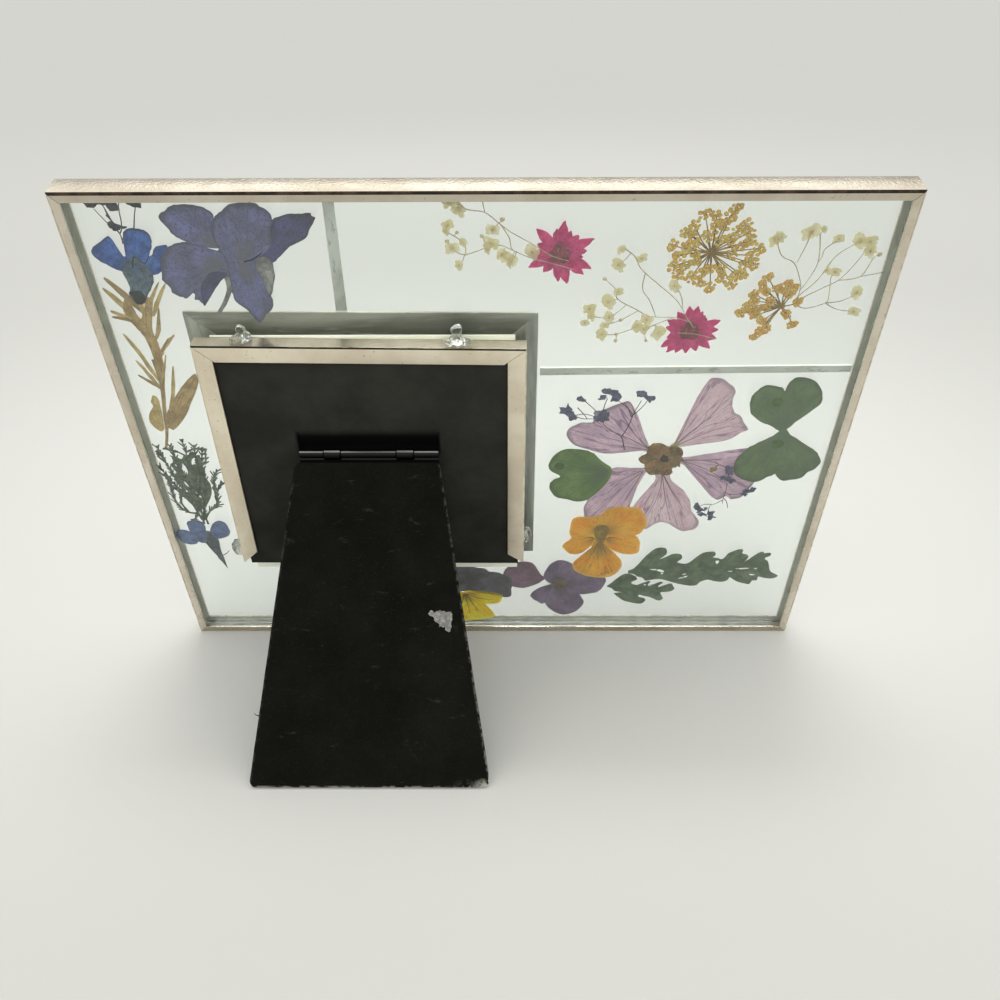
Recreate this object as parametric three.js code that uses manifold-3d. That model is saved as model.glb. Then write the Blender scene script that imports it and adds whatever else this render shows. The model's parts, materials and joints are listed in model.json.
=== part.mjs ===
// Pressed flower frame: a metal double-glass frame on an easel leg, with flowers pressed between its two panes and a
// small photo frame behind the glass. Millimetres, +Z up. The front faces -Y, and the easel leg stands out to +Y.
// Everything is drawn in the plane of the frame as seen from behind: u to the right, v up along the frame from its
// bottom edge, n out of the back. The whole is then leant back and stood on the ground.
import * as THREE from "three";
import { mergeVertices } from "three/addons/utils/BufferGeometryUtils.js";
import Module from "manifold-3d";

// ---- driving dimensions -------------------------------------------------------------------------------------------
const FRAME_WIDTH = 254;
const FRAME_HEIGHT = 203.6;
const FRAME_DEPTH = 9.56;
const LEAN_DEG = 14; // how far the frame leans back from upright
const GAP = 0.3; // clearance between neighbouring pieces

const CHANNEL_WALL = 0.8; // outer rails
const CHANNEL_LIP = 3.2;
const CHANNEL_ROUND = 1.0;
const ROUND_STEPS = 4;

const PANE_EDGE = CHANNEL_WALL + GAP; // from the frame's edge to the glass
const FRONT_PANE = [-8.46, -5.7]; // n of its two faces
const BACK_PANE = [-3.9, -1.1];

const LAYER_FRONT = [-5.4, -5.2]; // the three thin sheets that the specimens lie in
const LAYER_MIDDLE = [-4.9, -4.7];
const LAYER_BACK = [-4.4, -4.2];

const STRIP = [-FRAME_DEPTH, -8.76]; // lead-look strips on the front of the front pane

const PHOTO_RAIL = [0.45, 6.0]; // photo frame behind the glass
const PHOTO_WALL = 0.7;
const PHOTO_ROUND = 0.9;
const CARD = [-0.8, 0.15];
const BOARD = [2.4, 5.0];
const RECESS_DEPTH = 0.9;

const PIN_V = 109.5; // hinge pin axis
const PIN_N = 7.2;
const PIN_RADIUS = 0.65;
const PIN_ENDS = [-66.6, -17.3];
const BORE_RADIUS = 0.95;
const LEG_KNUCKLE_RADIUS = 1.55;
const BOARD_KNUCKLE_RADIUS = 1.8;
const LEG_KNUCKLES = [
  [-66.3, -57.9],
  [-51.7, -32.5],
  [-26.1, -17.6],
];
const BOARD_KNUCKLES = [
  [-57.6, -52.0],
  [-32.2, -26.4],
];
const HINGE_SIDES = 12;
const BOARD_LEAF = [5.3, 5.8];
const BOARD_LEAF_HEIGHT = 10;
const LEG_LEAF = [-1.1, -0.6]; // from the pin axis, square to the leg
const LEG_LEAF_HEIGHT = 12;

const LEG_PLATE = [-0.3, 1.7]; // from the pin axis, square to the leg
const LEG_TOP = 4.6; // from the pin down to the top edge
const LEG_LENGTH = 117.8; // from the pin to the foot
const LEG_TOP_ENDS = [-67.8, -17.1];
const LEG_FOOT_ENDS = [-85.3, 0.6];
const LEG_FOOT_ROUND = 5.5;
const LEG_TOP_ROUND = 2.0;

const STEM_WIDTH = 0.55;
const BUD_SIDES = 5;

// ---- helpers ------------------------------------------------------------------------------------------------------
const wasm = await Module();
wasm.setup();

function toManifold(geometry) {
  const bare = new THREE.BufferGeometry().setAttribute(
    "position",
    (geometry.index ? geometry.toNonIndexed() : geometry).getAttribute("position"),
  );
  const merged = mergeVertices(bare, 1e-4);
  return new wasm.Manifold(
    new wasm.Mesh({
      numProp: 3,
      vertProperties: merged.attributes.position.array,
      triVerts: new Uint32Array(merged.index.array),
    }),
  );
}

function toGeometry(manifold) {
  const mesh = manifold.getMesh();
  const geometry = new THREE.BufferGeometry()
    .setAttribute("position", new THREE.BufferAttribute(mesh.vertProperties, 3))
    .setIndex(new THREE.BufferAttribute(mesh.triVerts, 1))
    .toNonIndexed();
  geometry.computeVertexNormals();
  return geometry;
}

const join = (pieces) => wasm.Manifold.union(pieces);

// A flat plate: an outline in u and v, between two values of n.
function plate(outline, [n0, n1]) {
  const shape = new THREE.Shape(outline.map(([u, v]) => new THREE.Vector2(u, v)));
  const geometry = new THREE.ExtrudeGeometry(shape, { depth: n1 - n0, bevelEnabled: false, steps: 1 });
  geometry.translate(0, 0, n0);
  return toManifold(geometry);
}

const box = (u0, u1, v0, v1, n) => plate([[u0, v0], [u1, v0], [u1, v1], [u0, v1]], n);

// A straight rail: its section, in w (inward from the outer edge) and n, runs from one mitre to the other. Each mitre
// is given by its outer and its inner corner, which lie `width` apart in w.
function rail(section, width, start, end) {
  const flat = section.map(([w, n]) => new THREE.Vector2(w, n));
  if (THREE.ShapeUtils.isClockWise(flat)) flat.reverse();
  const size = flat.length;
  const ring = ([outer, inner]) =>
    flat.map(({ x: w, y: n }) => [
      outer[0] + ((inner[0] - outer[0]) * w) / width,
      outer[1] + ((inner[1] - outer[1]) * w) / width,
      n,
    ]);
  const index = [];
  for (let i = 0; i < size; i++) {
    const j = (i + 1) % size;
    index.push(i, j, size + j, i, size + j, size + i);
  }
  for (const [a, b, c] of THREE.ShapeUtils.triangulateShape(flat, [])) {
    index.push(a, c, b);
    index.push(size + a, size + b, size + c);
  }
  return outward([...ring(start), ...ring(end)], index);
}

// A solid from points and triangles, turned so that its faces look outward.
function outward(points, index) {
  const geometry = new THREE.BufferGeometry()
    .setAttribute("position", new THREE.Float32BufferAttribute(points.flat(), 3))
    .setIndex(index);
  const [a, b, c] = [new THREE.Vector3(), new THREE.Vector3(), new THREE.Vector3()];
  const position = geometry.getAttribute("position");
  let volume = 0;
  for (let i = 0; i < index.length; i += 3) {
    a.fromBufferAttribute(position, index[i]);
    b.fromBufferAttribute(position, index[i + 1]);
    c.fromBufferAttribute(position, index[i + 2]);
    volume += a.dot(b.cross(c));
  }
  if (volume < 0)
    for (let i = 0; i < index.length; i += 3) [index[i + 1], index[i + 2]] = [index[i + 2], index[i + 1]];
  geometry.setIndex(index);
  return toManifold(geometry);
}

// Points of a quarter round from angle a0 to a1 about a centre.
function arc(cx, cy, radius, a0, a1, steps = ROUND_STEPS) {
  return Array.from({ length: steps + 1 }, (_, i) => {
    const a = THREE.MathUtils.degToRad(a0 + ((a1 - a0) * i) / steps);
    return [cx + radius * Math.cos(a), cy + radius * Math.sin(a)];
  });
}

// The section of a channel that is open inward, with both outer corners rounded.
function channel(width, wall, [n0, n1], round) {
  return [
    [width, n0],
    ...arc(round, n0 + round, round, 270, 180),
    ...arc(round, n1 - round, round, 180, 90),
    [width, n1],
    [width, n1 - wall],
    [wall, n1 - wall],
    [wall, n0 + wall],
    [width, n0 + wall],
  ];
}

// A cylinder along u about a point of the v, n plane.
function rodU(radius, [u0, u1], v, n, sides = HINGE_SIDES) {
  const geometry = new THREE.CylinderGeometry(radius, radius, u1 - u0, sides);
  geometry.rotateZ(Math.PI / 2);
  geometry.translate((u0 + u1) / 2, v, n);
  return toManifold(geometry);
}

// A narrow band along a line of points, mitred at its bends.
function band(points, width, n) {
  const left = [];
  const right = [];
  points.forEach(([u, v], i) => {
    const [pu, pv] = points[Math.max(i - 1, 0)];
    const [qu, qv] = points[Math.min(i + 1, points.length - 1)];
    const length = Math.hypot(qu - pu, qv - pv);
    const [ou, ov] = [(-(qv - pv) / length) * (width / 2), ((qu - pu) / length) * (width / 2)];
    left.push([u + ou, v + ov]);
    right.push([u - ou, v - ov]);
  });
  return plate([...left, ...right.reverse()], n);
}

const disc = (u, v, radius, n, sides = BUD_SIDES) =>
  plate(arc(u, v, radius, 0, 360 - 360 / sides, sides - 1), n);

// The point of a set of lines that is nearest to a given point.
function nearest([u, v], lines) {
  let best = null;
  let least = Infinity;
  for (const line of lines)
    for (let i = 0; i + 1 < line.length; i++) {
      const [au, av] = line[i];
      const [bu, bv] = line[i + 1];
      const [du, dv] = [bu - au, bv - av];
      const t = Math.min(1, Math.max(0, ((u - au) * du + (v - av) * dv) / (du * du + dv * dv)));
      const point = [au + t * du, av + t * dv];
      const distance = Math.hypot(u - point[0], v - point[1]);
      if (distance < least) [best, least] = [point, distance];
    }
  return [best, least];
}

// A pressed plant in one sheet: flat petals, thin stems, and buds that each hang from the nearest stem.
function pressed(layer, { petals = [], holes = [], stems = [], buds = [], stemWidth = STEM_WIDTH }) {
  const pieces = [
    ...petals.map((outline) => plate(outline, layer)),
    ...stems.map((line) => band(line, stemWidth, layer)),
  ];
  for (const [u, v, radius] of buds) {
    pieces.push(disc(u, v, radius, layer));
    if (!stems.length) continue;
    const [foot, distance] = nearest([u, v], stems);
    if (distance > radius * 0.7) pieces.push(band([[u, v], foot], stemWidth, layer));
  }
  const whole = join(pieces);
  return holes.length ? whole.subtract(join(holes.map((h) => plate(h, [layer[0] - 1, layer[1] + 1])))) : whole;
}

// ---- the frame's pieces -------------------------------------------------------------------------------------------
const half = FRAME_WIDTH / 2;
const bodies = [];
const add = (name, manifold, color, extra = {}) => bodies.push({ name, manifold, color, extra });

const NICKEL = { color: 0xb9b3a3, metalness: 0.9, roughness: 0.35 };
const BLACK_BOARD = { color: 0x262622, metalness: 0, roughness: 0.9 };
const GLASS = { color: 0xe8f0ec, metalness: 0, roughness: 0.05, transparent: true, opacity: 0.3 };
const LEAD = { color: 0x93968c, metalness: 0.6, roughness: 0.6 };
const BLACK_METAL = { color: 0x151515, metalness: 0.6, roughness: 0.3 };
const plant = (color) => ({ color, metalness: 0, roughness: 0.85 });

// Outer rails. Each end is drawn back along the rail, so that the mitres keep their clearance.
const outerSection = channel(CHANNEL_LIP, CHANNEL_WALL, [-FRAME_DEPTH, 0], CHANNEL_ROUND);
const back = (GAP / 2) * Math.SQRT2;
const lip = CHANNEL_LIP;
const top = FRAME_HEIGHT;
for (const [name, start, end] of [
  ["outer_rail_bottom", [[-half + back, 0], [-half + lip + back, lip]], [[half - back, 0], [half - lip - back, lip]]],
  ["outer_rail_top", [[-half + back, top], [-half + lip + back, top - lip]], [[half - back, top], [half - lip - back, top - lip]]],
  ["outer_rail_left", [[-half, back], [-half + lip, lip + back]], [[-half, top - back], [-half + lip, top - lip - back]]],
  ["outer_rail_right", [[half, back], [half - lip, lip + back]], [[half, top - back], [half - lip, top - lip - back]]],
])
  add(name, rail(outerSection, CHANNEL_LIP, start, end), NICKEL);

for (const [name, n] of [["front_pane", FRONT_PANE], ["back_pane", BACK_PANE]])
  add(name, box(-half + PANE_EDGE, half - PANE_EDGE, PANE_EDGE, FRAME_HEIGHT - PANE_EDGE, n), GLASS);

// Lead-look strips. The window surround's strips carry a groove near their outer edge.
add("divider_vertical", plate([[-49.1, 159.4], [-45.5, 159.3], [-45.1, 200.0], [-48.6, 200.0]], STRIP), LEAD);
add("divider_horizontal", plate([[17.6, 133.3], [123.4, 134.6], [123.4, 137.3], [17.6, 136.3]], STRIP), LEAD);
const WINDOW_OUTER = { topLeft: [-99.2, 159.4 - GAP], topRight: [16.6, 158.3], lowLeft: [-99.6, 45.0], lowRight: [16.9, 45.0] };
const WINDOW_INNER = { topLeft: [-89.2, 149.3], topRight: [6.6, 148.3], lowLeft: [-89.6, 45.0], lowRight: [6.9, 45.0] };
const WINDOW_WIDTH = 10;
const GROOVE = [2.3, 2.9]; // from the outer edge
const GROOVE_DEPTH = 0.3;
const windowSection = [
  [0, STRIP[0]],
  [0, STRIP[1]],
  [WINDOW_WIDTH, STRIP[1]],
  [WINDOW_WIDTH, STRIP[0]],
  [GROOVE[1], STRIP[0]],
  [(GROOVE[0] + GROOVE[1]) / 2, STRIP[0] + GROOVE_DEPTH],
  [GROOVE[0], STRIP[0]],
];
const shiftV = (mitre, d) => mitre.map(([u, v]) => [u, v + d]);
const shiftU = (mitre, d) => mitre.map(([u, v]) => [u + d, v]);
const corner = (name, outer, inner) => [outer[name], inner[name]];
const windowTopLeft = corner("topLeft", WINDOW_OUTER, WINDOW_INNER);
const windowTopRight = corner("topRight", WINDOW_OUTER, WINDOW_INNER);
add("window_strip_top", rail(windowSection, WINDOW_WIDTH, shiftU(windowTopLeft, back), shiftU(windowTopRight, -back)), LEAD);
add("window_strip_left", rail(windowSection, WINDOW_WIDTH, corner("lowLeft", WINDOW_OUTER, WINDOW_INNER), shiftV(windowTopLeft, -back)), LEAD);
add("window_strip_right", rail(windowSection, WINDOW_WIDTH, corner("lowRight", WINDOW_OUTER, WINDOW_INNER), shiftV(windowTopRight, -back)), LEAD);

// Photo frame: three rails of a smaller channel, open at the bottom.
const PHOTO_OUTER = { topLeft: [-95.0, 154.3], topRight: [12.8, 152.8], lowLeft: [-97.1, 51.3], lowRight: [12.8, 51.4] };
const PHOTO_INNER = { topLeft: [-88.8, 148.5], topRight: [6.4, 147.5], lowLeft: [-90.5, 57.9], lowRight: [6.1, 56.5] };
const PHOTO_LIP = 6.2;
const photoSection = channel(PHOTO_LIP, PHOTO_WALL, PHOTO_RAIL, PHOTO_ROUND);
const photoTopLeft = corner("topLeft", PHOTO_OUTER, PHOTO_INNER);
const photoTopRight = corner("topRight", PHOTO_OUTER, PHOTO_INNER);
add("photo_rail_top", rail(photoSection, PHOTO_LIP, shiftU(photoTopLeft, back), shiftU(photoTopRight, -back)), NICKEL);
add("photo_rail_left", rail(photoSection, PHOTO_LIP, corner("lowLeft", PHOTO_OUTER, PHOTO_INNER), shiftV(photoTopLeft, -back)), NICKEL);
add("photo_rail_right", rail(photoSection, PHOTO_LIP, corner("lowRight", PHOTO_OUTER, PHOTO_INNER), shiftV(photoTopRight, -back)), NICKEL);

add("insert_card", plate([[-94, 42.6], [10.4, 42.3], [9, 154], [-90, 154]], CARD), { color: 0xd8d8c4, metalness: 0, roughness: 0.8 });

// Backing board, with the shallow recess that lies above the hinge barrel.
const RECESS = { left: -66.5, right: -17.0, low: 109.6, high: 115.8 };
add(
  "backing_board",
  plate([[-94.4, 50.3], [10.6, 49.9], [11.4, 151.7], [-93.9, 153.0]], BOARD).subtract(
    box(RECESS.left, RECESS.right, RECESS.low, RECESS.high, [BOARD[1] - RECESS_DEPTH, BOARD[1] + RECESS_DEPTH]),
  ),
  BLACK_BOARD,
);

// Clear glue beads: squashed balls, cut off flat where they lie on the glass and on the rail.
const BEAD_SIDES = [12, 6];
function bead([u0, u1], [v0, v1], [n0, n1], side) {
  const [cu, cv] = side === "top" ? [(u0 + u1) / 2, v0] : [side === "left" ? u1 : u0, (v0 + v1) / 2];
  const radii = side === "top" ? [(u1 - u0) / 2, v1 - v0] : [u1 - u0, (v1 - v0) / 2];
  const ball = new THREE.SphereGeometry(1, ...BEAD_SIDES);
  ball.scale(radii[0], radii[1], n1 - n0);
  ball.translate(cu, cv, n0);
  return toManifold(ball).intersect(box(u0 - 1, u1 + 1, v0 - 1, v1 + 1, [n0, n1 + 1])).intersect(
    side === "top" ? box(u0 - 1, u1 + 1, v0, v1 + 1, [n0 - 1, n1 + 1])
      : side === "left" ? box(u0 - 1, u1, v0 - 1, v1 + 1, [n0 - 1, n1 + 1])
        : box(u0, u1 + 1, v0 - 1, v1 + 1, [n0 - 1, n1 + 1]),
  );
}
const CLEAR = { color: 0xdfe3e0, metalness: 0, roughness: 0.1, transparent: true, opacity: 0.5 };
add("glue_bead_top_left", bead([-81.4, -77.0], [154.6, 158.8], [-0.8, 4.6], "top"), CLEAR);
add("glue_bead_top_right", bead([-13.4, -5.6], [154.3, 158.8], [-0.8, 4.6], "top"), CLEAR);
add("glue_bead_low_left", bead([-101.2, -97.6], [50.4, 61.0], [-0.8, 5.0], "left"), CLEAR);
add("glue_bead_low_right", bead([13.2, 15.3], [58.6, 66.8], [-0.8, 4.6], "right"), CLEAR);

// ---- hinge and leg ------------------------------------------------------------------------------------------------
const lean = THREE.MathUtils.degToRad(LEAN_DEG);
const bore = rodU(BORE_RADIUS, [LEG_KNUCKLES[0][0] - 2, LEG_KNUCKLES[2][1] + 2], PIN_V, PIN_N);
const LEAF_CLEAR_V = 1.4; // how far below the pin the board leaf stops where a leg knuckle turns
add(
  "hinge_leaf_board",
  join([
    ...BOARD_KNUCKLES.map((ends) => rodU(BOARD_KNUCKLE_RADIUS, ends, PIN_V, PIN_N)),
    ...BOARD_KNUCKLES.map(([u0, u1]) => box(u0, u1, PIN_V - BOARD_LEAF_HEIGHT, PIN_V, BOARD_LEAF)),
    box(LEG_KNUCKLES[0][0] + 1.5, LEG_KNUCKLES[2][1] - 1.5, PIN_V - BOARD_LEAF_HEIGHT, PIN_V - LEAF_CLEAR_V, BOARD_LEAF),
  ]).subtract(bore),
  BLACK_METAL,
);
add("hinge_pin", rodU(PIN_RADIUS, PIN_ENDS, PIN_V, PIN_N), BLACK_METAL);

// The leg is drawn hanging straight down from the pin and is then swung out until its foot meets the ground plane
// that the bottom rail stands on.
const pinHeight = PIN_V * Math.cos(lean) - PIN_N * Math.sin(lean);
const railFoot = CHANNEL_ROUND * (Math.cos(lean) + Math.sin(lean) - 1); // lowest point of the rounded back edge
function openAngle() {
  let [low, high] = [lean, Math.PI / 2];
  for (let i = 0; i < 60; i++) {
    const middle = (low + high) / 2;
    const drop = LEG_LENGTH * Math.cos(middle - lean) - LEG_PLATE[0] * Math.sin(middle - lean);
    if (drop > pinHeight - railFoot) low = middle;
    else high = middle;
  }
  return low;
}
const legOpen = openAngle();
const swing = new THREE.Matrix4()
  .makeTranslation(0, PIN_V, PIN_N)
  .multiply(new THREE.Matrix4().makeRotationX(-legOpen))
  .multiply(new THREE.Matrix4().makeTranslation(0, -PIN_V, -PIN_N));
const swung = (manifold) => manifold.transform(swing.elements);

const LEAF_CLEAR_S = 2.2; // how far from the pin the leg leaf starts where a board knuckle sits
add(
  "hinge_leaf_leg",
  swung(
    join([
      ...LEG_KNUCKLES.map((ends) => rodU(LEG_KNUCKLE_RADIUS, ends, PIN_V, PIN_N)),
      ...LEG_KNUCKLES.map(([u0, u1]) => box(u0, u1, PIN_V - LEAF_CLEAR_S - 1, PIN_V, [PIN_N + LEG_LEAF[0], PIN_N + LEG_LEAF[1]])),
      box(LEG_KNUCKLES[0][0], LEG_KNUCKLES[2][1], PIN_V - LEG_LEAF_HEIGHT, PIN_V - LEAF_CLEAR_S, [PIN_N + LEG_LEAF[0], PIN_N + LEG_LEAF[1]]),
    ]).subtract(bore),
  ),
  BLACK_METAL,
);

const legTopV = PIN_V - LEG_TOP;
const legFootV = PIN_V - LEG_LENGTH;
const legOutline = [
  ...arc(LEG_FOOT_ENDS[0] + LEG_FOOT_ROUND, legFootV + LEG_FOOT_ROUND, LEG_FOOT_ROUND, 172, 270),
  [LEG_FOOT_ENDS[1] - 1.6, legFootV],
  [LEG_FOOT_ENDS[1] - 0.3, legFootV + 1.4],
  ...arc(LEG_TOP_ENDS[1] - LEG_TOP_ROUND, legTopV - LEG_TOP_ROUND, LEG_TOP_ROUND, 8, 90),
  ...arc(LEG_TOP_ENDS[0] + LEG_TOP_ROUND, legTopV - LEG_TOP_ROUND, LEG_TOP_ROUND, 90, 172),
];
add("easel_leg", swung(plate(legOutline, [PIN_N + LEG_PLATE[0], PIN_N + LEG_PLATE[1]])), BLACK_BOARD);

// ---- pressed specimens, upper left --------------------------------------------------------------------------------
add("bud_sprig", pressed(LAYER_FRONT, {
  stems: [
    [[-110.5, 185], [-110.4, 188.5], [-112.2, 189], [-116.3, 197.5]],
    [[-110.4, 188.5], [-112.6, 197], [-113.5, 198.5]],
    [[-110.4, 188.5], [-109.3, 190.8], [-108.4, 197.5], [-106.8, 199]],
    [[-110.4, 188.5], [-105.8, 190.5], [-103.5, 197], [-103.8, 199]],
  ],
  buds: [[-116.2, 198.4, 1.9], [-113.6, 199.2, 1.7], [-110.2, 197.2, 1.6], [-106.6, 199.4, 1.7], [-103.7, 199, 2], [-111.8, 190.9, 1.5], [-108.7, 190.4, 0.8]],
}), plant(0x4b5258));

add("lobelia_bloom", pressed(LAYER_MIDDLE, {
  petals: [
    [[-120.5, 183.4], [-120.3, 181], [-117.5, 178.3], [-113.3, 175.7], [-110.5, 175.5], [-109.8, 180.5], [-112.3, 182], [-113, 185.5], [-114.2, 187.9], [-117, 186]],
    [[-110.3, 184], [-109.5, 189], [-108, 190.2], [-105.9, 190.5], [-103.5, 190.2], [-101.6, 188.8], [-101.3, 187], [-101.8, 184.2], [-103.2, 181.8], [-104.6, 180], [-107, 178], [-110.5, 177]],
    [[-102.2, 181.5], [-101, 184], [-98.5, 184.8], [-97, 184.5], [-99.2, 181], [-100.5, 178.5], [-101.2, 175.5], [-104.5, 174.2], [-106.5, 177], [-104.6, 180.5]],
    [[-113.2, 176.2], [-112.5, 171.5], [-112.3, 168.4], [-113.3, 167.5], [-112, 164.5], [-110.8, 164], [-109, 164.6], [-107.5, 167], [-105, 170.5], [-103.8, 174.5], [-105.5, 178], [-110, 179]],
  ],
}), plant(0x3c5a91));

add("delphinium_bloom", pressed(LAYER_BACK, {
  petals: [
    [[-97.2, 194.4], [-95, 196.3], [-92.5, 197.8], [-89.5, 198.3], [-86, 198.2], [-83, 197.2], [-80.8, 195.2], [-80.2, 194.6], [-81.5, 190], [-80.5, 186], [-80.8, 183.5], [-84.8, 183.7], [-87.5, 184.4], [-91.5, 186.2], [-94, 188.4], [-95.2, 190.8]],
    [[-81.1, 194.5], [-78, 196.3], [-75.5, 198.2], [-72, 198.9], [-69, 198.9], [-66.9, 198.4], [-66.5, 197.6], [-65.2, 197], [-63.6, 195.2], [-63.6, 192.8], [-64.5, 190], [-64.8, 185], [-67.5, 181.8], [-70, 180.6], [-73.5, 179.1], [-77, 178.6], [-80, 177.6], [-81, 183], [-82.3, 187.5], [-82.4, 190.5]],
    [[-64.2, 192.8], [-61.5, 194.2], [-58.5, 195.2], [-55.5, 195.2], [-52, 195.5], [-51.5, 194.5], [-50.5, 193.8], [-52.3, 191], [-54.3, 187.2], [-57.5, 186], [-60, 184.3], [-63, 181.2], [-65.5, 179], [-67.5, 179], [-69.5, 181.5], [-66, 185.5]],
    [[-96.5, 184.5], [-93.5, 185.8], [-91.5, 186.4], [-88.5, 185.6], [-85, 184.4], [-80.1, 182.4], [-79.6, 178.5], [-79.8, 175.5], [-81.5, 174.5], [-86.5, 168.5], [-90, 163.5], [-92.5, 165], [-92.7, 166], [-92.2, 167.8], [-93.5, 168.5], [-95, 166.5], [-97, 167], [-99.2, 168.3], [-99.5, 170.3], [-101.3, 173.2], [-100.8, 175], [-100.5, 178], [-99.3, 181.5]],
    [[-80.4, 178.4], [-77, 179.4], [-73, 180.4], [-70.7, 179], [-70, 175], [-68.6, 170.5], [-68, 163.5], [-71, 160.2], [-73.5, 157], [-75.5, 160], [-77, 162.3], [-79.8, 165.2], [-80.3, 168.8], [-80.5, 173]],
    [[-71.3, 178.5], [-68, 181.5], [-66, 179], [-66, 176], [-65.8, 174.5], [-67, 170.5], [-68.7, 166.8], [-69.6, 171]],
    [[-81.2, 175.5], [-79.9, 168.6], [-85.5, 160.6], [-86.3, 161.2], [-84.5, 165], [-82.2, 169.8]],
  ],
}), plant(0x5a5882));

add("dried_stalk", pressed(LAYER_FRONT, {
  petals: [
    [[-117, 161], [-114.8, 155], [-113.5, 152.5], [-112.5, 148.5], [-112, 141], [-113, 131], [-114.5, 120], [-116, 110], [-118.3, 102.2], [-117.2, 101.8], [-115, 110], [-113.3, 120], [-111.5, 131], [-109.2, 140], [-109, 148], [-109.5, 153], [-108.5, 160], [-106, 165.5], [-109, 165]],
    [[-113.5, 110.5], [-110.5, 113.2], [-107, 119.5], [-103, 124.5], [-99.5, 131.5], [-99.2, 135.3], [-104.5, 130.5], [-109, 124], [-112.5, 119.5], [-114.5, 112]],
    [[-116.5, 126.7], [-117.8, 124], [-117, 122.5], [-119, 120], [-120.5, 116], [-119.5, 112.5], [-117.5, 110.5], [-115.2, 111], [-114.6, 116], [-114, 120], [-115, 125.5]],
  ],
  stems: [
    [[-119.6, 173], [-114.5, 167], [-110.5, 160]],
    [[-121.2, 169.3], [-116, 162.5], [-112.5, 157]],
    [[-121, 160], [-117, 159], [-112, 156]],
    [[-101, 171], [-104.5, 166], [-108, 160]],
    [[-103, 171.5], [-107, 166], [-109, 161]],
    [[-105.5, 162], [-107.5, 151], [-110, 150]],
    [[-119.5, 152], [-117, 146], [-114, 137], [-112, 133]],
    [[-118, 141.5], [-113.5, 132], [-112.3, 130]],
    [[-119, 135.5], [-114, 130.8], [-112.3, 129.5]],
    [[-103.5, 151.5], [-107, 147.5], [-110, 144]],
    [[-106.5, 138.5], [-109, 128], [-112.5, 118.5]],
    [[-115.5, 114], [-112, 115]],
  ],
  stemWidth: 1.3,
}), plant(0xaf9664));

// ---- lower left ---------------------------------------------------------------------------------------------------
add("ferny_foliage", pressed(LAYER_MIDDLE, {
  petals: [[
    [-110.8, 107.5], [-109.8, 105.2], [-107.8, 103.6], [-107, 104.6], [-106.2, 103.2], [-103.9, 102.8], [-104.4, 101], [-106.2, 98.5], [-105.4, 95.5],
    [-104.1, 96.5], [-104.6, 91], [-103.9, 88], [-101.2, 91.8], [-102.2, 88.6], [-100.8, 90.4], [-103.4, 86], [-103.3, 84.4], [-100.2, 85.4],
    [-102.3, 82.3], [-101.4, 81.2], [-103.8, 79.8], [-103.7, 75], [-104.6, 72.3], [-107.4, 70], [-110, 67.5], [-110.4, 63.5], [-112.2, 63.5],
    [-112.1, 66.6], [-114, 70], [-116, 68], [-115.8, 66], [-117.5, 66], [-117, 68.8], [-119.8, 71.2], [-121.3, 76], [-120.9, 80], [-120, 83.5],
    [-120.6, 86.5], [-122.2, 89.6], [-121.3, 92.6], [-122.4, 94.8], [-120.3, 94.5], [-120, 98], [-121, 101.3], [-120.4, 104.4], [-119.3, 102.8],
    [-117.4, 102.6], [-115.5, 104.6], [-112.8, 104.4],
  ]],
  holes: [
    [[-113.3, 95.5], [-112.2, 92], [-113, 89.8], [-114.6, 90.8], [-114.7, 93]],
    [[-107.6, 99.6], [-108.3, 95.7], [-110, 95.4], [-109.3, 98]],
    [[-115.3, 101.8], [-111.9, 102.3], [-111.7, 100.8], [-114.3, 100.7]],
    [[-119.3, 90], [-117.7, 88.7], [-118.8, 87.8]],
    [[-114.8, 86.8], [-113.3, 85], [-113.6, 83.6], [-114.6, 84.8]],
    [[-112, 81], [-110.1, 78.3], [-110.7, 78.1]],
    [[-119.4, 79.3], [-118, 78.5], [-118.9, 76]],
  ],
}), plant(0x4b5a46));

add("small_blue_bloom", pressed(LAYER_BACK, {
  petals: [
    [[-124.5, 58.8], [-123.5, 60.5], [-121.5, 61], [-119, 60.2], [-117.6, 58], [-116.8, 54], [-118.5, 52.5], [-121.5, 52.8], [-124, 55.5]],
    [[-118.8, 63.5], [-118.5, 65.3], [-116.5, 66.2], [-114, 66.3], [-112.3, 64.8], [-112, 61.5], [-112.3, 57], [-113, 52.5], [-115.5, 52.8], [-118, 55], [-118.4, 59]],
    [[-118, 53.3], [-115.5, 53.5], [-113.8, 52], [-112.5, 49], [-111, 46], [-109.5, 42.8], [-108, 38.8], [-107.9, 43], [-108.2, 50], [-108, 55.5], [-109.2, 58.5], [-110.5, 61], [-112.8, 60], [-114, 56.5]],
    [[-110.8, 59.5], [-109.7, 62.5], [-108.8, 64.2], [-106.5, 65.8], [-105, 65.8], [-103.5, 64.2], [-102.8, 61], [-102.8, 59.5], [-104.3, 57.3], [-107, 56], [-109, 55.8]],
  ],
  stems: [[[-109, 46.2], [-107, 46.9], [-105, 48.8]]],
}), plant(0x5f6991));

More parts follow.
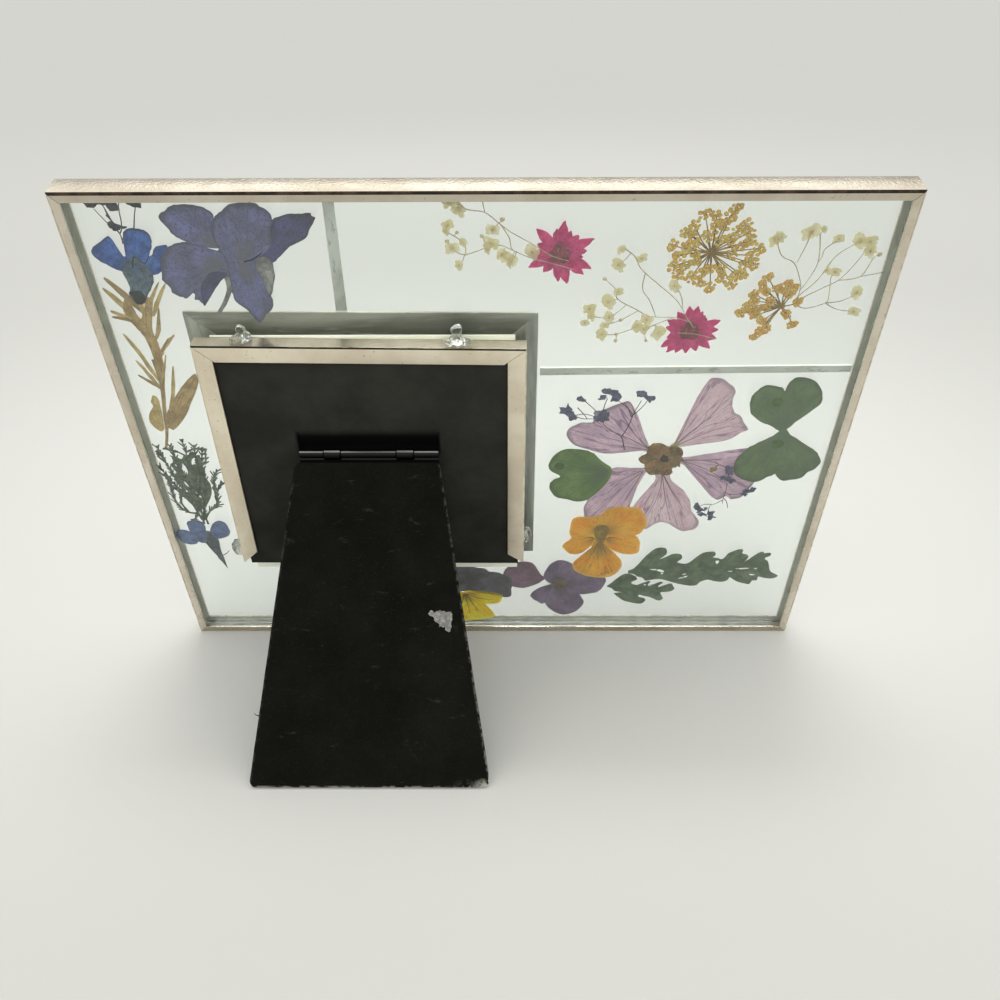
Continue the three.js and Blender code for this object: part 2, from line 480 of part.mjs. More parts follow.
// ---- upper middle -------------------------------------------------------------------------------------------------
add("gypsophila_a", pressed(LAYER_MIDDLE, {
  stems: [
    [[-8, 198.5], [-5.5, 196.2], [-0.2, 195.2], [4.5, 191.2], [8, 188.5], [14.5, 184.5], [20, 180.8], [25.5, 178.9]],
    [[-1, 199.3], [-0.2, 195.2]],
    [[4.5, 191.2], [7.5, 184], [8.2, 182.7]],
    [[-11.9, 186], [-10.3, 183.3], [-6.2, 181.3], [3, 184.5], [8.5, 182.5], [13, 180.3], [18, 178.8], [24, 177], [27, 176]],
    [[-12, 189], [-6.8, 185.3], [-6.2, 181.3]],
  ],
  buds: [
    [-10.8, 198.6, 1.5], [-8, 196.2, 2], [-11.5, 191, 1.6], [-12, 189, 1], [-11.8, 185.8, 0.9], [-10.3, 183.3, 1.8], [-6.8, 185.3, 1.2],
    [-8.5, 177.5, 1.3], [2, 189.5, 1.7], [1.5, 185, 2], [0.5, 182.8, 1], [5, 193, 0.9], [4.8, 181, 1.7], [7.5, 179.5, 1.9], [14, 182, 2],
  ],
}), plant(0xd7cda5));

add("daisy_upper", pressed(LAYER_FRONT, {
  petals: [[
    [14.5, 189.3], [17.2, 189.7], [19.6, 186.2], [23.6, 192], [25.3, 188.5], [26.2, 188], [28, 187], [32.6, 186.2], [28.6, 183.2], [30.5, 182], [28, 179.6],
    [32.3, 176.3], [30.8, 174.8], [29.5, 173.2], [26.4, 176], [25.2, 170.8], [23, 170.9], [20.6, 175.6], [17.5, 175.5], [17.2, 177.4], [14, 175.8], [12.8, 178],
    [16.6, 179.6], [13, 181], [16.4, 183.8],
  ]],
}), plant(0xb93c6e));

add("gypsophila_b", pressed(LAYER_MIDDLE, {
  stems: [
    [[42.5, 183], [45.5, 180.5], [47.3, 177], [49.5, 174.5], [54, 170.5], [58, 167], [60.5, 164.5], [62.5, 161.5], [64.5, 158], [67, 154.5]],
    [[41.3, 168], [41.5, 165.3], [48.5, 161], [52, 158.8], [60, 158.4], [66, 156.5]],
    [[49.3, 174.7], [49, 169], [51.5, 165], [53.5, 160.7], [54.2, 158.7]],
    [[38.7, 164.3], [41.5, 165.3]],
    [[33.5, 159], [39.3, 158.5], [44.5, 163.3]],
    [[38, 155.5], [43, 157.5], [48.5, 161]],
    [[37.3, 152], [42, 152], [48.5, 155], [52, 158.8]],
    [[51, 154], [57, 157], [60, 158.4]],
    [[62, 152.5], [64.6, 157.8]],
    [[59.6, 170], [62.3, 163], [62.5, 161.5]],
  ],
  buds: [
    [41.3, 182.8, 1.2], [40.8, 177.5, 1.9], [47.7, 179.8, 1.4], [41.5, 168, 1.3], [38.7, 164.3, 2.1], [32.8, 161.8, 1.7], [33.5, 159, 1.4],
    [31.5, 156.5, 1.2], [39.3, 158.5, 1.7], [38, 155.5, 1.2], [37.3, 152, 1.8], [48.5, 155, 1.7],
    [51.5, 157.5, 1.8], [51, 154, 1.5], [55.8, 152.5, 2.1], [59, 170, 1.7],
  ],
}), plant(0xd7cda5));

add("daisy_lower", pressed(LAYER_FRONT, {
  petals: [[
    [64.3, 162.5], [65.3, 161.8], [66, 162.2], [67.5, 162.3], [68.8, 160.8], [69.5, 159], [69.8, 157], [71, 158.2], [72, 158.4], [73.5, 157.5], [75.5, 157.3],
    [75.2, 156], [75.7, 155.2], [74, 153.5], [72.5, 152.5], [70.5, 152], [72.5, 151], [74.9, 150.5], [74.8, 149.8], [72.5, 148.5], [73.3, 147], [73.2, 145.8],
    [71, 145.8], [69, 145.2], [67.8, 144.2], [66, 144.3], [64, 144.4], [62.5, 144.5], [62.8, 146.5], [61.5, 146], [59.6, 144.5], [58.8, 146], [57.3, 146.5],
    [58.3, 148], [57.8, 149.5], [59.5, 151], [61.8, 151.8], [60, 153.5], [58.5, 155.5], [57.6, 156.3], [59.5, 157.8], [60.7, 157.5], [60.5, 159],
    [60.8, 160.3], [62.3, 160.2], [63, 159], [63.8, 160],
  ]],
}), plant(0xb93c6e));

// ---- umbels: rays from one point, each with a small flat head ------------------------------------------------------
const HEAD_RADIUS = 1.9;
const umbel = (centre, heads) =>
  pressed(LAYER_BACK, {
    stems: heads.map((head) => [centre, head]),
    buds: [...heads.map(([u, v]) => [u, v, HEAD_RADIUS]), [...centre, 2]],
    stemWidth: 0.7,
  });
add("umbel_round", umbel([68.5, 182], [
  [66.5, 194.3], [73.5, 196.5], [77.5, 191.5], [80, 186], [83, 183.5], [79.5, 178], [76.5, 171], [70, 169.8], [63.5, 173.5], [59.5, 174.5],
  [56.5, 184.5], [60, 188.5], [74, 186.5], [64.5, 179.5],
]), plant(0xc8aa50));
add("umbel_fan", umbel([93.5, 162.5], [
  [87.7, 173.2], [94.5, 171], [95.5, 167.5], [84.2, 167.5], [82.5, 163], [81, 160.3], [86.5, 160.8], [88.5, 157.5], [90.3, 154.5],
  [87.3, 151.5], [98.5, 156],
]), plant(0xb48232));

// ---- upper right --------------------------------------------------------------------------------------------------
add("gypsophila_c", pressed(LAYER_MIDDLE, {
  stems: [
    [[88, 185.5], [90.5, 180.5], [94.8, 178], [98, 171.5], [98.5, 168], [98, 163.5]],
    [[97.4, 187.5], [97.3, 185], [95.5, 178], [94.9, 177.9]],
    [[100.5, 188], [102, 178.5], [100, 171.5], [98.5, 168.5]],
    [[106.5, 186], [103, 181.5], [102, 178.3]],
    [[98.5, 166.5], [103.3, 172.3], [107, 180.5], [112.5, 185]],
    [[98, 164.5], [105, 169], [109.7, 172], [112.5, 176], [115, 181], [116, 185]],
    [[109.7, 172], [116.2, 173.3], [118.5, 179.5], [120, 181]],
    [[116.2, 173.3], [123.4, 174.9]],
    [[98, 163.5], [101.5, 161.8], [107.5, 163.8], [108, 167], [107.2, 170.4]],
    [[107.5, 163.8], [116, 166.6]],
    [[107.5, 163.8], [111.5, 161.5], [117.5, 160.5]],
  ],
  buds: [
    [87.5, 186, 1.8], [97.5, 188.5, 2.3], [101.3, 189.5, 1], [106.5, 186.3, 1.4], [113, 185.5, 2], [116.8, 185.5, 1.7], [117, 182.2, 1.6],
    [105.5, 175.5, 1], [108, 175, 1.5], [116.5, 167.5, 1.8], [117.5, 160.5, 1.6],
  ],
}), plant(0xd7cda5));

// ---- mallow, leaves and florets -----------------------------------------------------------------------------------
add("mallow_bloom", pressed(LAYER_FRONT, {
  petals: [
    [[57.8, 100], [57.8, 103.5], [55, 110], [53, 116], [51, 120.5], [49, 123.8], [46, 123], [42, 121], [38.5, 119], [37, 116.5], [36.5, 114.3], [33.5, 114.3], [31, 113.3], [28.5, 111.5], [27.8, 109], [28.8, 106], [31.5, 103.5], [36, 101.5], [40.5, 100], [44.5, 99.5], [47, 100.5], [50, 101.3], [54, 101.2]],
    [[64, 100], [66.5, 104], [68, 108], [70, 115], [71.5, 122], [73, 128], [75.3, 133.5], [77.5, 134], [80, 133.3], [83, 130.8], [85, 128.8], [84.8, 125], [85, 121.5], [86.5, 118.5], [88.5, 117.5], [90.5, 114], [92.3, 111], [90, 109.7], [86, 106.2], [80, 104.7], [74, 103.8], [68.5, 102.5]],
    [[69, 97], [83, 100], [94, 102], [100, 98], [100, 88], [97, 80], [95.5, 77.5], [92, 76.3], [90, 78], [87, 76.2], [84.5, 77.5], [80, 83.5], [75, 91.5], [69, 95]],
    [[61, 91], [66.5, 91], [68, 86], [73, 81], [75.5, 77], [77, 73], [78, 69], [81, 65], [81, 61.5], [79.5, 59.8], [75.5, 58.8], [72, 61], [70, 62.7], [67, 64], [64, 62.8], [61, 60], [58, 62], [55, 67], [55, 73], [58, 77], [60.5, 82]],
    [[58.5, 92.3], [45, 92.3], [43.5, 86], [41, 81.5], [38.5, 78], [36.8, 75], [36, 70.5], [38, 66], [46, 63], [52, 66], [53.6, 74], [54.5, 78], [55.8, 84], [58.5, 90]],
    [[54.5, 97], [57.5, 104], [60.5, 104.7], [63, 104.2], [66, 101], [70.5, 100.5], [70.3, 93], [68, 90], [66, 89], [60, 89], [57.5, 91], [56, 95]],
  ],
}), plant(0xb9a5aa));

add("heart_leaf_single", pressed(LAYER_MIDDLE, {
  petals: [[
    [26, 88.8], [24, 90.5], [22, 92.5], [21.7, 95], [23.5, 99], [26.5, 101.8], [30, 102.4], [34.5, 101.8], [38, 100], [41, 96.5], [44.5, 93.5], [45.3, 90.5],
    [44, 86], [41.5, 82], [38.5, 78], [36, 76], [33, 75.5], [29, 76.8], [25, 78], [23, 81], [22.3, 84.5], [23.8, 87],
  ]],
}), plant(0x5a694b));

add("heart_leaf_pair", pressed(LAYER_MIDDLE, {
  petals: [[
    [101.8, 128.3], [102.3, 131.5], [104, 134], [105.5, 134.5], [109, 134], [112, 132], [114.3, 129], [115.5, 125], [115, 122.5], [112, 118.8], [108.5, 115],
    [106.8, 112.5], [106.4, 111], [107, 109.8], [110, 107.3], [116, 103], [119, 100.5], [121.5, 96], [120, 92.5], [118, 91], [116, 88], [113, 87],
    [109.5, 86.5], [107, 88.3], [106, 90], [105.5, 89.5], [103, 88.2], [100, 86], [96.5, 86.2], [93, 88], [91, 90], [90, 93.5], [90.3, 97], [92, 100.5],
    [95.5, 104.3], [99, 106.5], [102.5, 109.5], [102.8, 111], [100, 113], [96, 115], [92.5, 117.8], [91.3, 120.5], [90.7, 123.5], [91, 126.5], [92.5, 129],
    [95, 131], [99, 130.6], [101, 129.8],
  ]],
}), plant(0x5a694b));

add("floret_sprig", pressed(LAYER_MIDDLE, {
  petals: [
    [[24.3, 121.5], [26, 123.6], [27.3, 123], [29, 119.5], [30.8, 117.4], [29.8, 115.6], [27, 117], [25, 119]],
    [[37.6, 128.6], [39.5, 130.4], [43, 129], [45.8, 127.5], [45.6, 124.2], [42.5, 123.9], [39, 125]],
    [[50.8, 128.9], [53.5, 129.3], [56.5, 127.8], [58.4, 125.6], [56, 123.6], [52.8, 123.8], [51, 126]],
    [[37.6, 118], [39, 119.8], [41.6, 119.4], [42.6, 117.4], [41, 115.4], [38.5, 115.6]],
  ],
  stems: [
    [[49, 101.5], [47.5, 108], [41, 113], [40, 116.5]],
    [[47.5, 107.8], [49.5, 114], [50.4, 118.3], [49, 120], [45.2, 124.4]],
    [[50.4, 118.3], [53, 124.5]],
    [[29.6, 116.6], [33.5, 118.6], [38.4, 117]],
    [[33, 124.5], [38.4, 118.4]],
  ],
  buds: [[31.2, 125.3, 1.1], [33.6, 124.5, 1], [55.4, 124.4, 1]],
}), plant(0x4f5860));

add("dark_florets", pressed(LAYER_BACK, {
  stems: [
    [[82.5, 92], [88.5, 88], [88.7, 79], [88.5, 75], [84, 73.5]],
    [[88.5, 92], [88.5, 88], [91, 86.5]],
    [[88.7, 79], [93, 79], [97.5, 81.5]],
    [[84, 73.5], [79.5, 72], [81.5, 68.8]],
    [[88.5, 75], [85.6, 67.5]],
  ],
  buds: [[82.5, 92, 1.6], [88.5, 92, 1.8], [88.5, 88, 2.2], [91.4, 86.2, 1.4], [97.2, 81.3, 2], [79.7, 72.4, 1.9], [81.8, 68.8, 2], [85.6, 67.5, 1.8], [84, 73.5, 1.6], [91, 72.7, 1.2]],
}), plant(0x505347));

// ---- violas and frond ---------------------------------------------------------------------------------------------
add("viola_orange", pressed(LAYER_MIDDLE, {
  petals: [[
    [35.5, 67.5], [33, 67], [31.7, 65.5], [31.3, 62], [31, 59], [32, 56], [31.5, 54.5], [29, 52], [28.7, 50], [31, 46.8], [33.5, 45.8], [36, 46.5],
    [38.3, 46], [35, 43], [33, 40], [34, 36.5], [37, 34], [41, 32], [48, 31.7], [51.5, 34.5], [53, 38], [52.7, 42], [50.5, 46.4], [54.5, 46], [57.5, 46.2],
    [59.3, 47.5], [59.3, 52.5], [57.8, 56.7], [60, 60.3], [61, 63], [60.3, 67], [58.3, 70.5], [57, 72.2], [52, 72.7], [47, 72.2], [44, 70.5], [40, 67],
  ]],
}), plant(0xbe9132));

add("viola_purple", pressed(LAYER_FRONT, {
  petals: [
    [[21, 32], [23.5, 38.5], [26, 41.2], [29, 41.8], [32, 40.5], [34, 39], [38, 35], [42, 32.5], [46, 31.5], [47.5, 29.5], [47, 26.5], [45, 22.5], [41, 20.8], [38, 20], [38.5, 17], [39, 14.5], [37, 10.5], [34, 8], [30, 7], [26.5, 9], [23.5, 12.5], [22.5, 14.6], [19, 16], [16.5, 18.5], [16.3, 20.5], [17, 23], [13.5, 24.3], [10, 25], [6, 29], [5, 34.5], [7.5, 38.5], [9.5, 40.5], [13.5, 41], [16.5, 40.2], [18.5, 37]],
  ],
}), plant(0x645a64));

add("viola_dark_yellow", pressed(LAYER_MIDDLE, {
  petals: [
    [[-25, 34], [-21, 39], [-14, 40.5], [-10, 39.8], [-7, 38], [-3, 37.3], [-1, 35], [2, 35], [5, 33.5], [8, 31], [8.5, 28], [8.2, 24.5], [8, 20], [5, 19], [0, 20], [-12, 20], [-22, 22], [-26, 28]],
    [[-20, 22], [-13, 23.5], [-7, 23], [4, 21], [4.5, 19.5], [3, 15.5], [-2, 14.8], [0, 10], [1, 6.5], [-2, 5], [-8, 4], [-13, 4], [-17, 8], [-18, 14], [-23, 17]],
  ],
}), plant(0x55553f));

add("green_frond", pressed(LAYER_MIDDLE, {
  petals: [
    [[56, 35.8], [58, 37], [60, 40], [62, 44], [64, 47], [66, 49.3], [68.5, 49.8], [70.3, 49], [70.8, 46.5], [70, 44.5], [71.5, 44.8], [73, 46], [75.5, 46.2], [77, 45.2], [77.2, 43], [75.5, 41.2], [77.5, 40.3], [80, 40.5], [82.5, 43.5], [85, 46.5], [87.5, 47.4], [90, 47.3], [90.5, 45.2], [89.5, 44], [92, 43.6], [93.2, 42.8], [94.5, 44], [95.5, 46.3], [97.5, 47.8], [99.3, 48.8], [101.2, 48.5], [101, 46], [103.5, 45.5], [104, 43.8], [103.2, 42], [101.8, 40.3], [104.5, 43], [106.5, 45.5], [108.5, 47.3], [109.8, 47], [110, 46.3], [111.5, 46.8], [112.8, 46.3], [112.5, 44.8], [111, 44], [111, 42.7], [112.3, 41.8], [113.3, 39], [114, 36.5], [115, 35], [118, 33], [117, 31.5], [115, 31], [112.5, 31.5], [110, 32.3], [110, 30], [108, 29.8], [107.3, 27.7], [105.5, 27.8], [102, 29], [99.5, 31], [98.3, 31.8], [97.8, 30.2], [95.5, 29], [92, 29.5], [89.5, 30.3], [86.5, 28.8], [85.5, 27], [83, 26.5], [80, 27], [76, 28.3], [72, 30], [69, 30.8], [65, 30], [63.5, 29.8], [62.5, 31.5], [60.5, 31.8], [58, 33.6], [55.8, 33.8]],
    [[48, 26.3], [49.5, 28], [51, 30], [53.5, 33], [55.5, 34.4], [57.5, 34.2], [60, 32.6], [60.5, 30.5], [58.5, 28.5], [60.5, 27], [62, 27.8], [65, 29.7], [66, 29.4], [65.2, 27], [66, 26.3], [69, 28.5], [70.5, 29], [71.2, 28.2], [69.5, 26.5], [70, 25.8], [73, 27.5], [75, 27.8], [75.8, 26], [76.5, 24.8], [75.5, 23.2], [73, 22.5], [70.8, 22.3], [71.8, 19.8], [72.3, 18], [71, 17], [69.5, 17.3], [66.5, 19.3], [64.2, 19.8], [62.5, 20.4], [62, 19.3], [64, 18.6], [65, 17.5], [64.5, 15.8], [63, 14.8], [60, 15.3], [56, 16.8], [53.5, 19], [51.3, 21.8], [53.5, 22.4], [51.8, 23], [50.3, 24.8], [49, 25.5]],
  ],
  holes: [
    [[64.5, 36.8], [69.5, 36.2], [70, 33.4], [67.6, 34.2]],
    [[99.5, 37.4], [105.6, 37.6], [102.6, 36.4]],
    [[91, 41.8], [92.6, 41.9], [91.8, 39.6]],
  ],
}), plant(0x506248));

// ---- assembly -----------------------------------------------------------------------------------------------------
// The frame's own directions in the world: u runs to -X, v up and back, n back and down.
const standing = new THREE.Matrix4().makeBasis(
  new THREE.Vector3(-1, 0, 0),
  new THREE.Vector3(0, Math.sin(lean), Math.cos(lean)),
  new THREE.Vector3(0, Math.cos(lean), -Math.sin(lean)),
);
const root = new THREE.Group();
root.name = "pressed_flower_frame";
for (const { name, manifold, color } of bodies) {
  const mesh = new THREE.Mesh(toGeometry(manifold), new THREE.MeshStandardMaterial(color));
  mesh.name = name;
  mesh.geometry.applyMatrix4(standing);
  root.add(mesh);
}
const bounds = new THREE.Box3().setFromObject(root);
const centre = bounds.getCenter(new THREE.Vector3());
for (const mesh of root.children) mesh.geometry.translate(-centre.x, -centre.y, -bounds.min.z);

export default root;
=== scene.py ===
# Pressed flower frame: a leaning metal double-glass frame seen with its easel leg, every rail, hinge part and pressed
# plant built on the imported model. Drawings are in millimetres in the plane of the frame as seen from behind: u to the
# right, v up along the frame from its bottom edge, n out of the back.
import json
import math

import bmesh
import bpy
from mathutils import Matrix, Vector, noise
from mathutils.geometry import delaunay_2d_cdt


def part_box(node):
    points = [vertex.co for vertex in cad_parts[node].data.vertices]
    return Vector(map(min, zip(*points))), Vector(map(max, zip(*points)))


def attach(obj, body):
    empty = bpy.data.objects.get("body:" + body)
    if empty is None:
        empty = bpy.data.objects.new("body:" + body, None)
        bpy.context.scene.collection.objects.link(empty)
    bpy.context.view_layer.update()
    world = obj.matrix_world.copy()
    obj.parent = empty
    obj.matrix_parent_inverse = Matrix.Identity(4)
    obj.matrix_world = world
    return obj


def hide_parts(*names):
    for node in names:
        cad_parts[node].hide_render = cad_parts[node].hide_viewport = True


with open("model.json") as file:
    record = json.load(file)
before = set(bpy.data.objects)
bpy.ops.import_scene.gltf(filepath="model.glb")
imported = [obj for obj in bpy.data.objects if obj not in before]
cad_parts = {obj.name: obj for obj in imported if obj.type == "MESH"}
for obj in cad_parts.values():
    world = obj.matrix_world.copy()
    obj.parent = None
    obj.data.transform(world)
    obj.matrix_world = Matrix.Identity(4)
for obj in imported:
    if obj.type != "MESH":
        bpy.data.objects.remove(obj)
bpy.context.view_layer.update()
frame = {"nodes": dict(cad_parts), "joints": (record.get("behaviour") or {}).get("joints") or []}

bl_info = {
    "name": "Pressed Flower Frame",
    "version": (1, 0, 0),
    "blender": (4, 5, 0),
    "location": "View3D > Sidebar > Flower Frame",
    "description": "Builds a metal double-glass frame with pressed flowers and an easel leg",
    "category": "Add Mesh",
}

MM = 0.001
LEAN = math.radians(14)
PIN_U, PIN_V, PIN_N = -41.95, 109.5, 7.2  # middle of the hinge pin
OPEN_ANGLE = math.radians(-frame["joints"][0]["range_deg"][0])

FRONT_SHEET, MIDDLE_SHEET, BACK_SHEET = -5.3, -4.8, -4.3  # n of the three sheets of pressed plants
SHEET_THICKNESS = 0.08

BOARD_FRONT, BOARD_BACK = 2.4, 5.0  # n of the backing board's faces
RECESS_U, RECESS_V = (-66.5, -17.0), (109.6, 118.0)  # the recess above the hinge
RECESS_DEPTH = 2.1
PAINTED_SHADE_ENDS = (-66.9, -16.4)  # u between which the board darkens into the recess, with painted shade
PAINTED_SHADE_HEIGHTS = (107.0, 108.5, 114.6, 120.0)  # v at which that painted shade starts, is full, starts to fade and ends
CROWN_FROM = (0, 203, -9.56)  # front edge of the top rail, from which its face is crowned
HIGHLIGHT_SIDE = 72  # degrees from straight out of the board at which the painted highlight runs along the knuckles, once the leg has swung
MITRE_GAP = 0.06  # how far each rail stops short of its mitre
BEVEL_ANGLE = math.radians(60)  # an edge sharper than this is bevelled


# ---- placing ----------------------------------------------------------------------------------------------------
def standing():
    """From the drawing, in millimetres, to the leaning frame in metres. The hinge pin's own node fixes the place."""
    turn = Matrix(((-1, 0, 0), (0, math.sin(LEAN), math.cos(LEAN)), (0, math.cos(LEAN), -math.sin(LEAN))))
    low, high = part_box("hinge_pin")
    shift = (low + high) / 2 - turn @ Vector((PIN_U, PIN_V, PIN_N)) * MM
    return Matrix.Translation(shift) @ turn.to_4x4() @ Matrix.Scale(MM, 4)


STANDING = standing()
TO_PIN = Matrix.Translation((0, PIN_V, PIN_N))
SWUNG = STANDING @ TO_PIN @ Matrix.Rotation(-OPEN_ANGLE, 4, "X") @ TO_PIN.inverted()


def only(*objects):
    """Selects these objects and no others."""
    bpy.ops.object.select_all(action="DESELECT")
    for o in objects:
        o.select_set(True)
    bpy.context.view_layer.objects.active = objects[0]


def edit(obj):
    only(obj)
    bpy.ops.object.mode_set(mode="EDIT")
    bpy.ops.mesh.select_mode(type="VERT")
    bpy.ops.mesh.select_all(action="SELECT")


def done():
    bpy.ops.object.mode_set(mode="OBJECT")


def pick(obj, faces=None, edges=None, verts=None):
    """Selects, in edit mode, the faces, edges or vertices for which the test holds."""
    mesh = bmesh.from_edit_mesh(obj.data)
    kind = "FACE" if faces else "EDGE" if edges else "VERT"
    bpy.ops.mesh.select_mode(type=kind)
    bpy.ops.mesh.select_all(action="DESELECT")
    found = 0
    for item in mesh.faces if faces else mesh.edges if edges else mesh.verts:
        if (faces or edges or verts)(item):
            item.select_set(True)
            found += 1
    mesh.select_flush_mode()
    bmesh.update_edit_mesh(obj.data)
    if not found:
        raise RuntimeError(f"{obj.name}: nothing matches the selection")


def middle(edge):
    return (edge.verts[0].co + edge.verts[1].co) / 2


def along(edge, axis):
    way = (edge.verts[1].co - edge.verts[0].co).normalized()
    return abs(way[axis]) > 0.99


def close(a, b, slack=0.01):
    return abs(a - b) < slack


def block(name, low, high):
    """A box between two corners, its place already in its mesh."""
    size = [h - l for l, h in zip(low, high)]
    bpy.ops.mesh.primitive_cube_add(size=1, location=[(l + h) / 2 for l, h in zip(low, high)])
    obj = bpy.context.active_object
    obj.name = name
    obj.scale = size
    bpy.ops.object.transform_apply(location=True, rotation=True, scale=True)
    return obj


def rod(name, radius, start, end, v, n, sides=32):
    """A round rod along u."""
    bpy.ops.mesh.primitive_cylinder_add(
        vertices=sides, radius=radius, depth=end - start, location=((start + end) / 2, v, n),
        rotation=(0, math.pi / 2, 0)
    )
    obj = bpy.context.active_object
    obj.name = name
    bpy.ops.object.transform_apply(location=True, rotation=True, scale=True)
    return obj


def add(name, points, faces):
    """A mesh of these points and faces, as an object in the scene."""
    mesh = bpy.data.meshes.new(name)
    mesh.from_pydata(points, [], faces)
    obj = bpy.data.objects.new(name, mesh)
    bpy.context.scene.collection.objects.link(obj)
    return obj


def modify(obj, kind, **settings):
    """Gives the object a modifier and applies it."""
    only(obj)
    mod = obj.modifiers.new(kind.lower(), kind)
    for key, value in settings.items():
        setattr(mod, key, value)
    bpy.ops.object.modifier_apply(modifier=mod.name)


def bevel(obj, width, segments):
    modify(obj, "BEVEL", width=width, segments=segments, limit_method="ANGLE", angle_limit=BEVEL_ANGLE)


def cut(obj, tool, operation="DIFFERENCE"):
    modify(obj, "BOOLEAN", operation=operation, object=tool, solver="EXACT")
    bpy.data.objects.remove(tool)


def slice_at(place, way, **rest):
    """Cuts the whole of the edited mesh along a plane."""
    bpy.ops.mesh.select_all(action="SELECT")
    bpy.ops.mesh.bisect(plane_co=place, plane_no=way, **rest)


def soften(width, segments):
    """Bevels the edges that are selected in edit mode."""
    bpy.ops.mesh.bevel(offset=width, offset_type="OFFSET", segments=segments, affect="EDGES")


def join(first, *others):
    only(first, *others)
    bpy.ops.object.join()
    return first


def settle(obj, matrix, body, node, angle=35):
    """Puts the place into the mesh, smooths what is round, and hangs the piece on its body in place of its CAD node.
    The angle is the sharpest that is still smoothed, in degrees."""
    obj.data.transform(matrix)
    only(obj)
    bpy.ops.object.shade_smooth_by_angle(angle=math.radians(angle))
    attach(obj, body)
    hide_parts(node)


# ---- finishes ---------------------------------------------------------------------------------------------------
def colour(r, g, b):
    """A colour given as 0 to 255 on screen, as the linear colour that a shader takes."""
    return tuple(((c / 255 + 0.055) / 1.055) ** 2.4 if c > 10 else c / 255 / 12.92 for c in (r, g, b)) + (1.0,)


MIX_SHARE, MIX_A, MIX_B, MIX_RESULT = 0, 6, 7, 2  # sockets of a mix node that takes colours


class Finish:
    """A node material in the making: each call adds a node and gives its output."""

    def __init__(self, name, **sockets):
        self.material = bpy.data.materials.new(name)
        self.material.use_nodes = True
        self.tree = self.material.node_tree
        self.shader = self.tree.nodes["Principled BSDF"]
        for key, value in sockets.items():
            self.shader.inputs[key.replace("_", " ")].default_value = value

    def node(self, kind, _out=0, _in=(), **settings):
        made = self.tree.nodes.new(kind)
        for key, value in settings.items():
            setattr(made, key, value)
        for key, value in dict(_in).items():
            self.feed(made.inputs[key], value)
        return made.outputs[_out]

    def feed(self, socket, value):
        if isinstance(value, bpy.types.NodeSocket):
            self.tree.links.new(value, socket)
        else:
            socket.default_value = value

    def place(self, scale=(1, 1, 1), turn=0.0, kind="Object"):
        where = self.node("ShaderNodeTexCoord", kind)
        return self.node("ShaderNodeMapping", 0, {"Vector": where, "Scale": scale, "Rotation": (0, 0, turn)})

    def noise(self, vector, scale, detail=3.0, rough=0.55, distortion=0.0):
        return self.node("ShaderNodeTexNoise", 0, {"Vector": vector, "Scale": scale, "Detail": detail,
            "Roughness": rough, "Distortion": distortion})

    def cell_edges(self, vector, scale):
        """How far a point is from the nearest border between two cells."""
        cells = {"Vector": vector, "Scale": scale}
        return self.node("ShaderNodeTexVoronoi", "Distance", cells, feature="DISTANCE_TO_EDGE")

    def math(self, operation, a, b=0.0):
        return self.node("ShaderNodeMath", 0, {0: a, 1: b}, operation=operation)

    def along(self, way):
        """How far a point lies along a way, in metres."""
        where = self.node("ShaderNodeTexCoord", "Object")
        return self.node("ShaderNodeVectorMath", "Value", {0: where, 1: way}, operation="DOT_PRODUCT")

    def step(self, value, low, high, to=(0.0, 1.0)):
        """Eases from one value to the other between low and high."""
        ends = {"Value": value, "From Min": low, "From Max": high, "To Min": to[0], "To Max": to[1]}
        return self.node("ShaderNodeMapRange", 0, ends, interpolation_type="SMOOTHSTEP")

    def mix(self, share, a, b):
        made = self.tree.nodes.new("ShaderNodeMix")
        made.data_type = "RGBA"
        self.feed(made.inputs[MIX_SHARE], share)
        self.feed(made.inputs[MIX_A], a)
        self.feed(made.inputs[MIX_B], b)
        return made.outputs[MIX_RESULT]

    def relief(self, height, distance, strength=1.0, onto=None):
        fed = {"Height": height, "Distance": distance, "Strength": strength}
        if onto is not None:
            fed["Normal"] = onto
        return self.node("ShaderNodeBump", 0, fed)

    def give(self, **sockets):
        for key, value in sockets.items():
            self.feed(self.shader.inputs[key.replace("_", " ")], value)
        return self.material

    def let_through(self, tone, share):
        """Lets a share of the light through, as a thin dried petal does."""
        through = self.node("ShaderNodeBsdfTranslucent", 0, {"Color": tone})
        blend = self.node("ShaderNodeMixShader", 0, {0: share, 1: self.shader.outputs[0], 2: through})
        self.tree.links.new(blend, self.tree.nodes["Material Output"].inputs["Surface"])
        return self.material


def rail_finish(name, base, shade, rough, hammered, crown=0.0):
    """Warm nickel-coloured channel with a finely hammered skin and faint stains."""
    f = Finish(name, Metallic=1.0, Roughness=rough)
    where = f.place()
    tone = f.mix(f.step(f.noise(where, 60, 4, 0.6), 0.35, 0.7), colour(*base), colour(*shade))
    specks = f.step(f.noise(where, 900, 2, 0.6), 0.68, 0.74)
    tone = f.mix(f.math("MULTIPLY", specks, 0.5), tone, colour(96, 88, 74))
    dents = f.noise(where, 1100, 2, 0.5)
    ripple = f.noise(where, 130, 2, 0.5)
    uneven = f.math("ADD", f.math("MULTIPLY", ripple, 0.25), rough - 0.1)
    bumps = f.relief(dents, hammered, 1.0)
    if crown:
        # the outer face is very slightly crowned across the frame's depth
        out = STANDING.to_3x3() @ Vector((0, 0, 1)) / MM
        across = f.along(out)
        back = f.math("SUBTRACT", across, (STANDING @ Vector(CROWN_FROM)).dot(out))
        bumps = f.relief(f.math("MULTIPLY", f.math("MULTIPLY", back, back), -crown), 1.0, 1.0, bumps)
    return f.give(Base_Color=tone, Roughness=uneven, Normal=f.relief(ripple, 0.0003, 0.3, bumps))


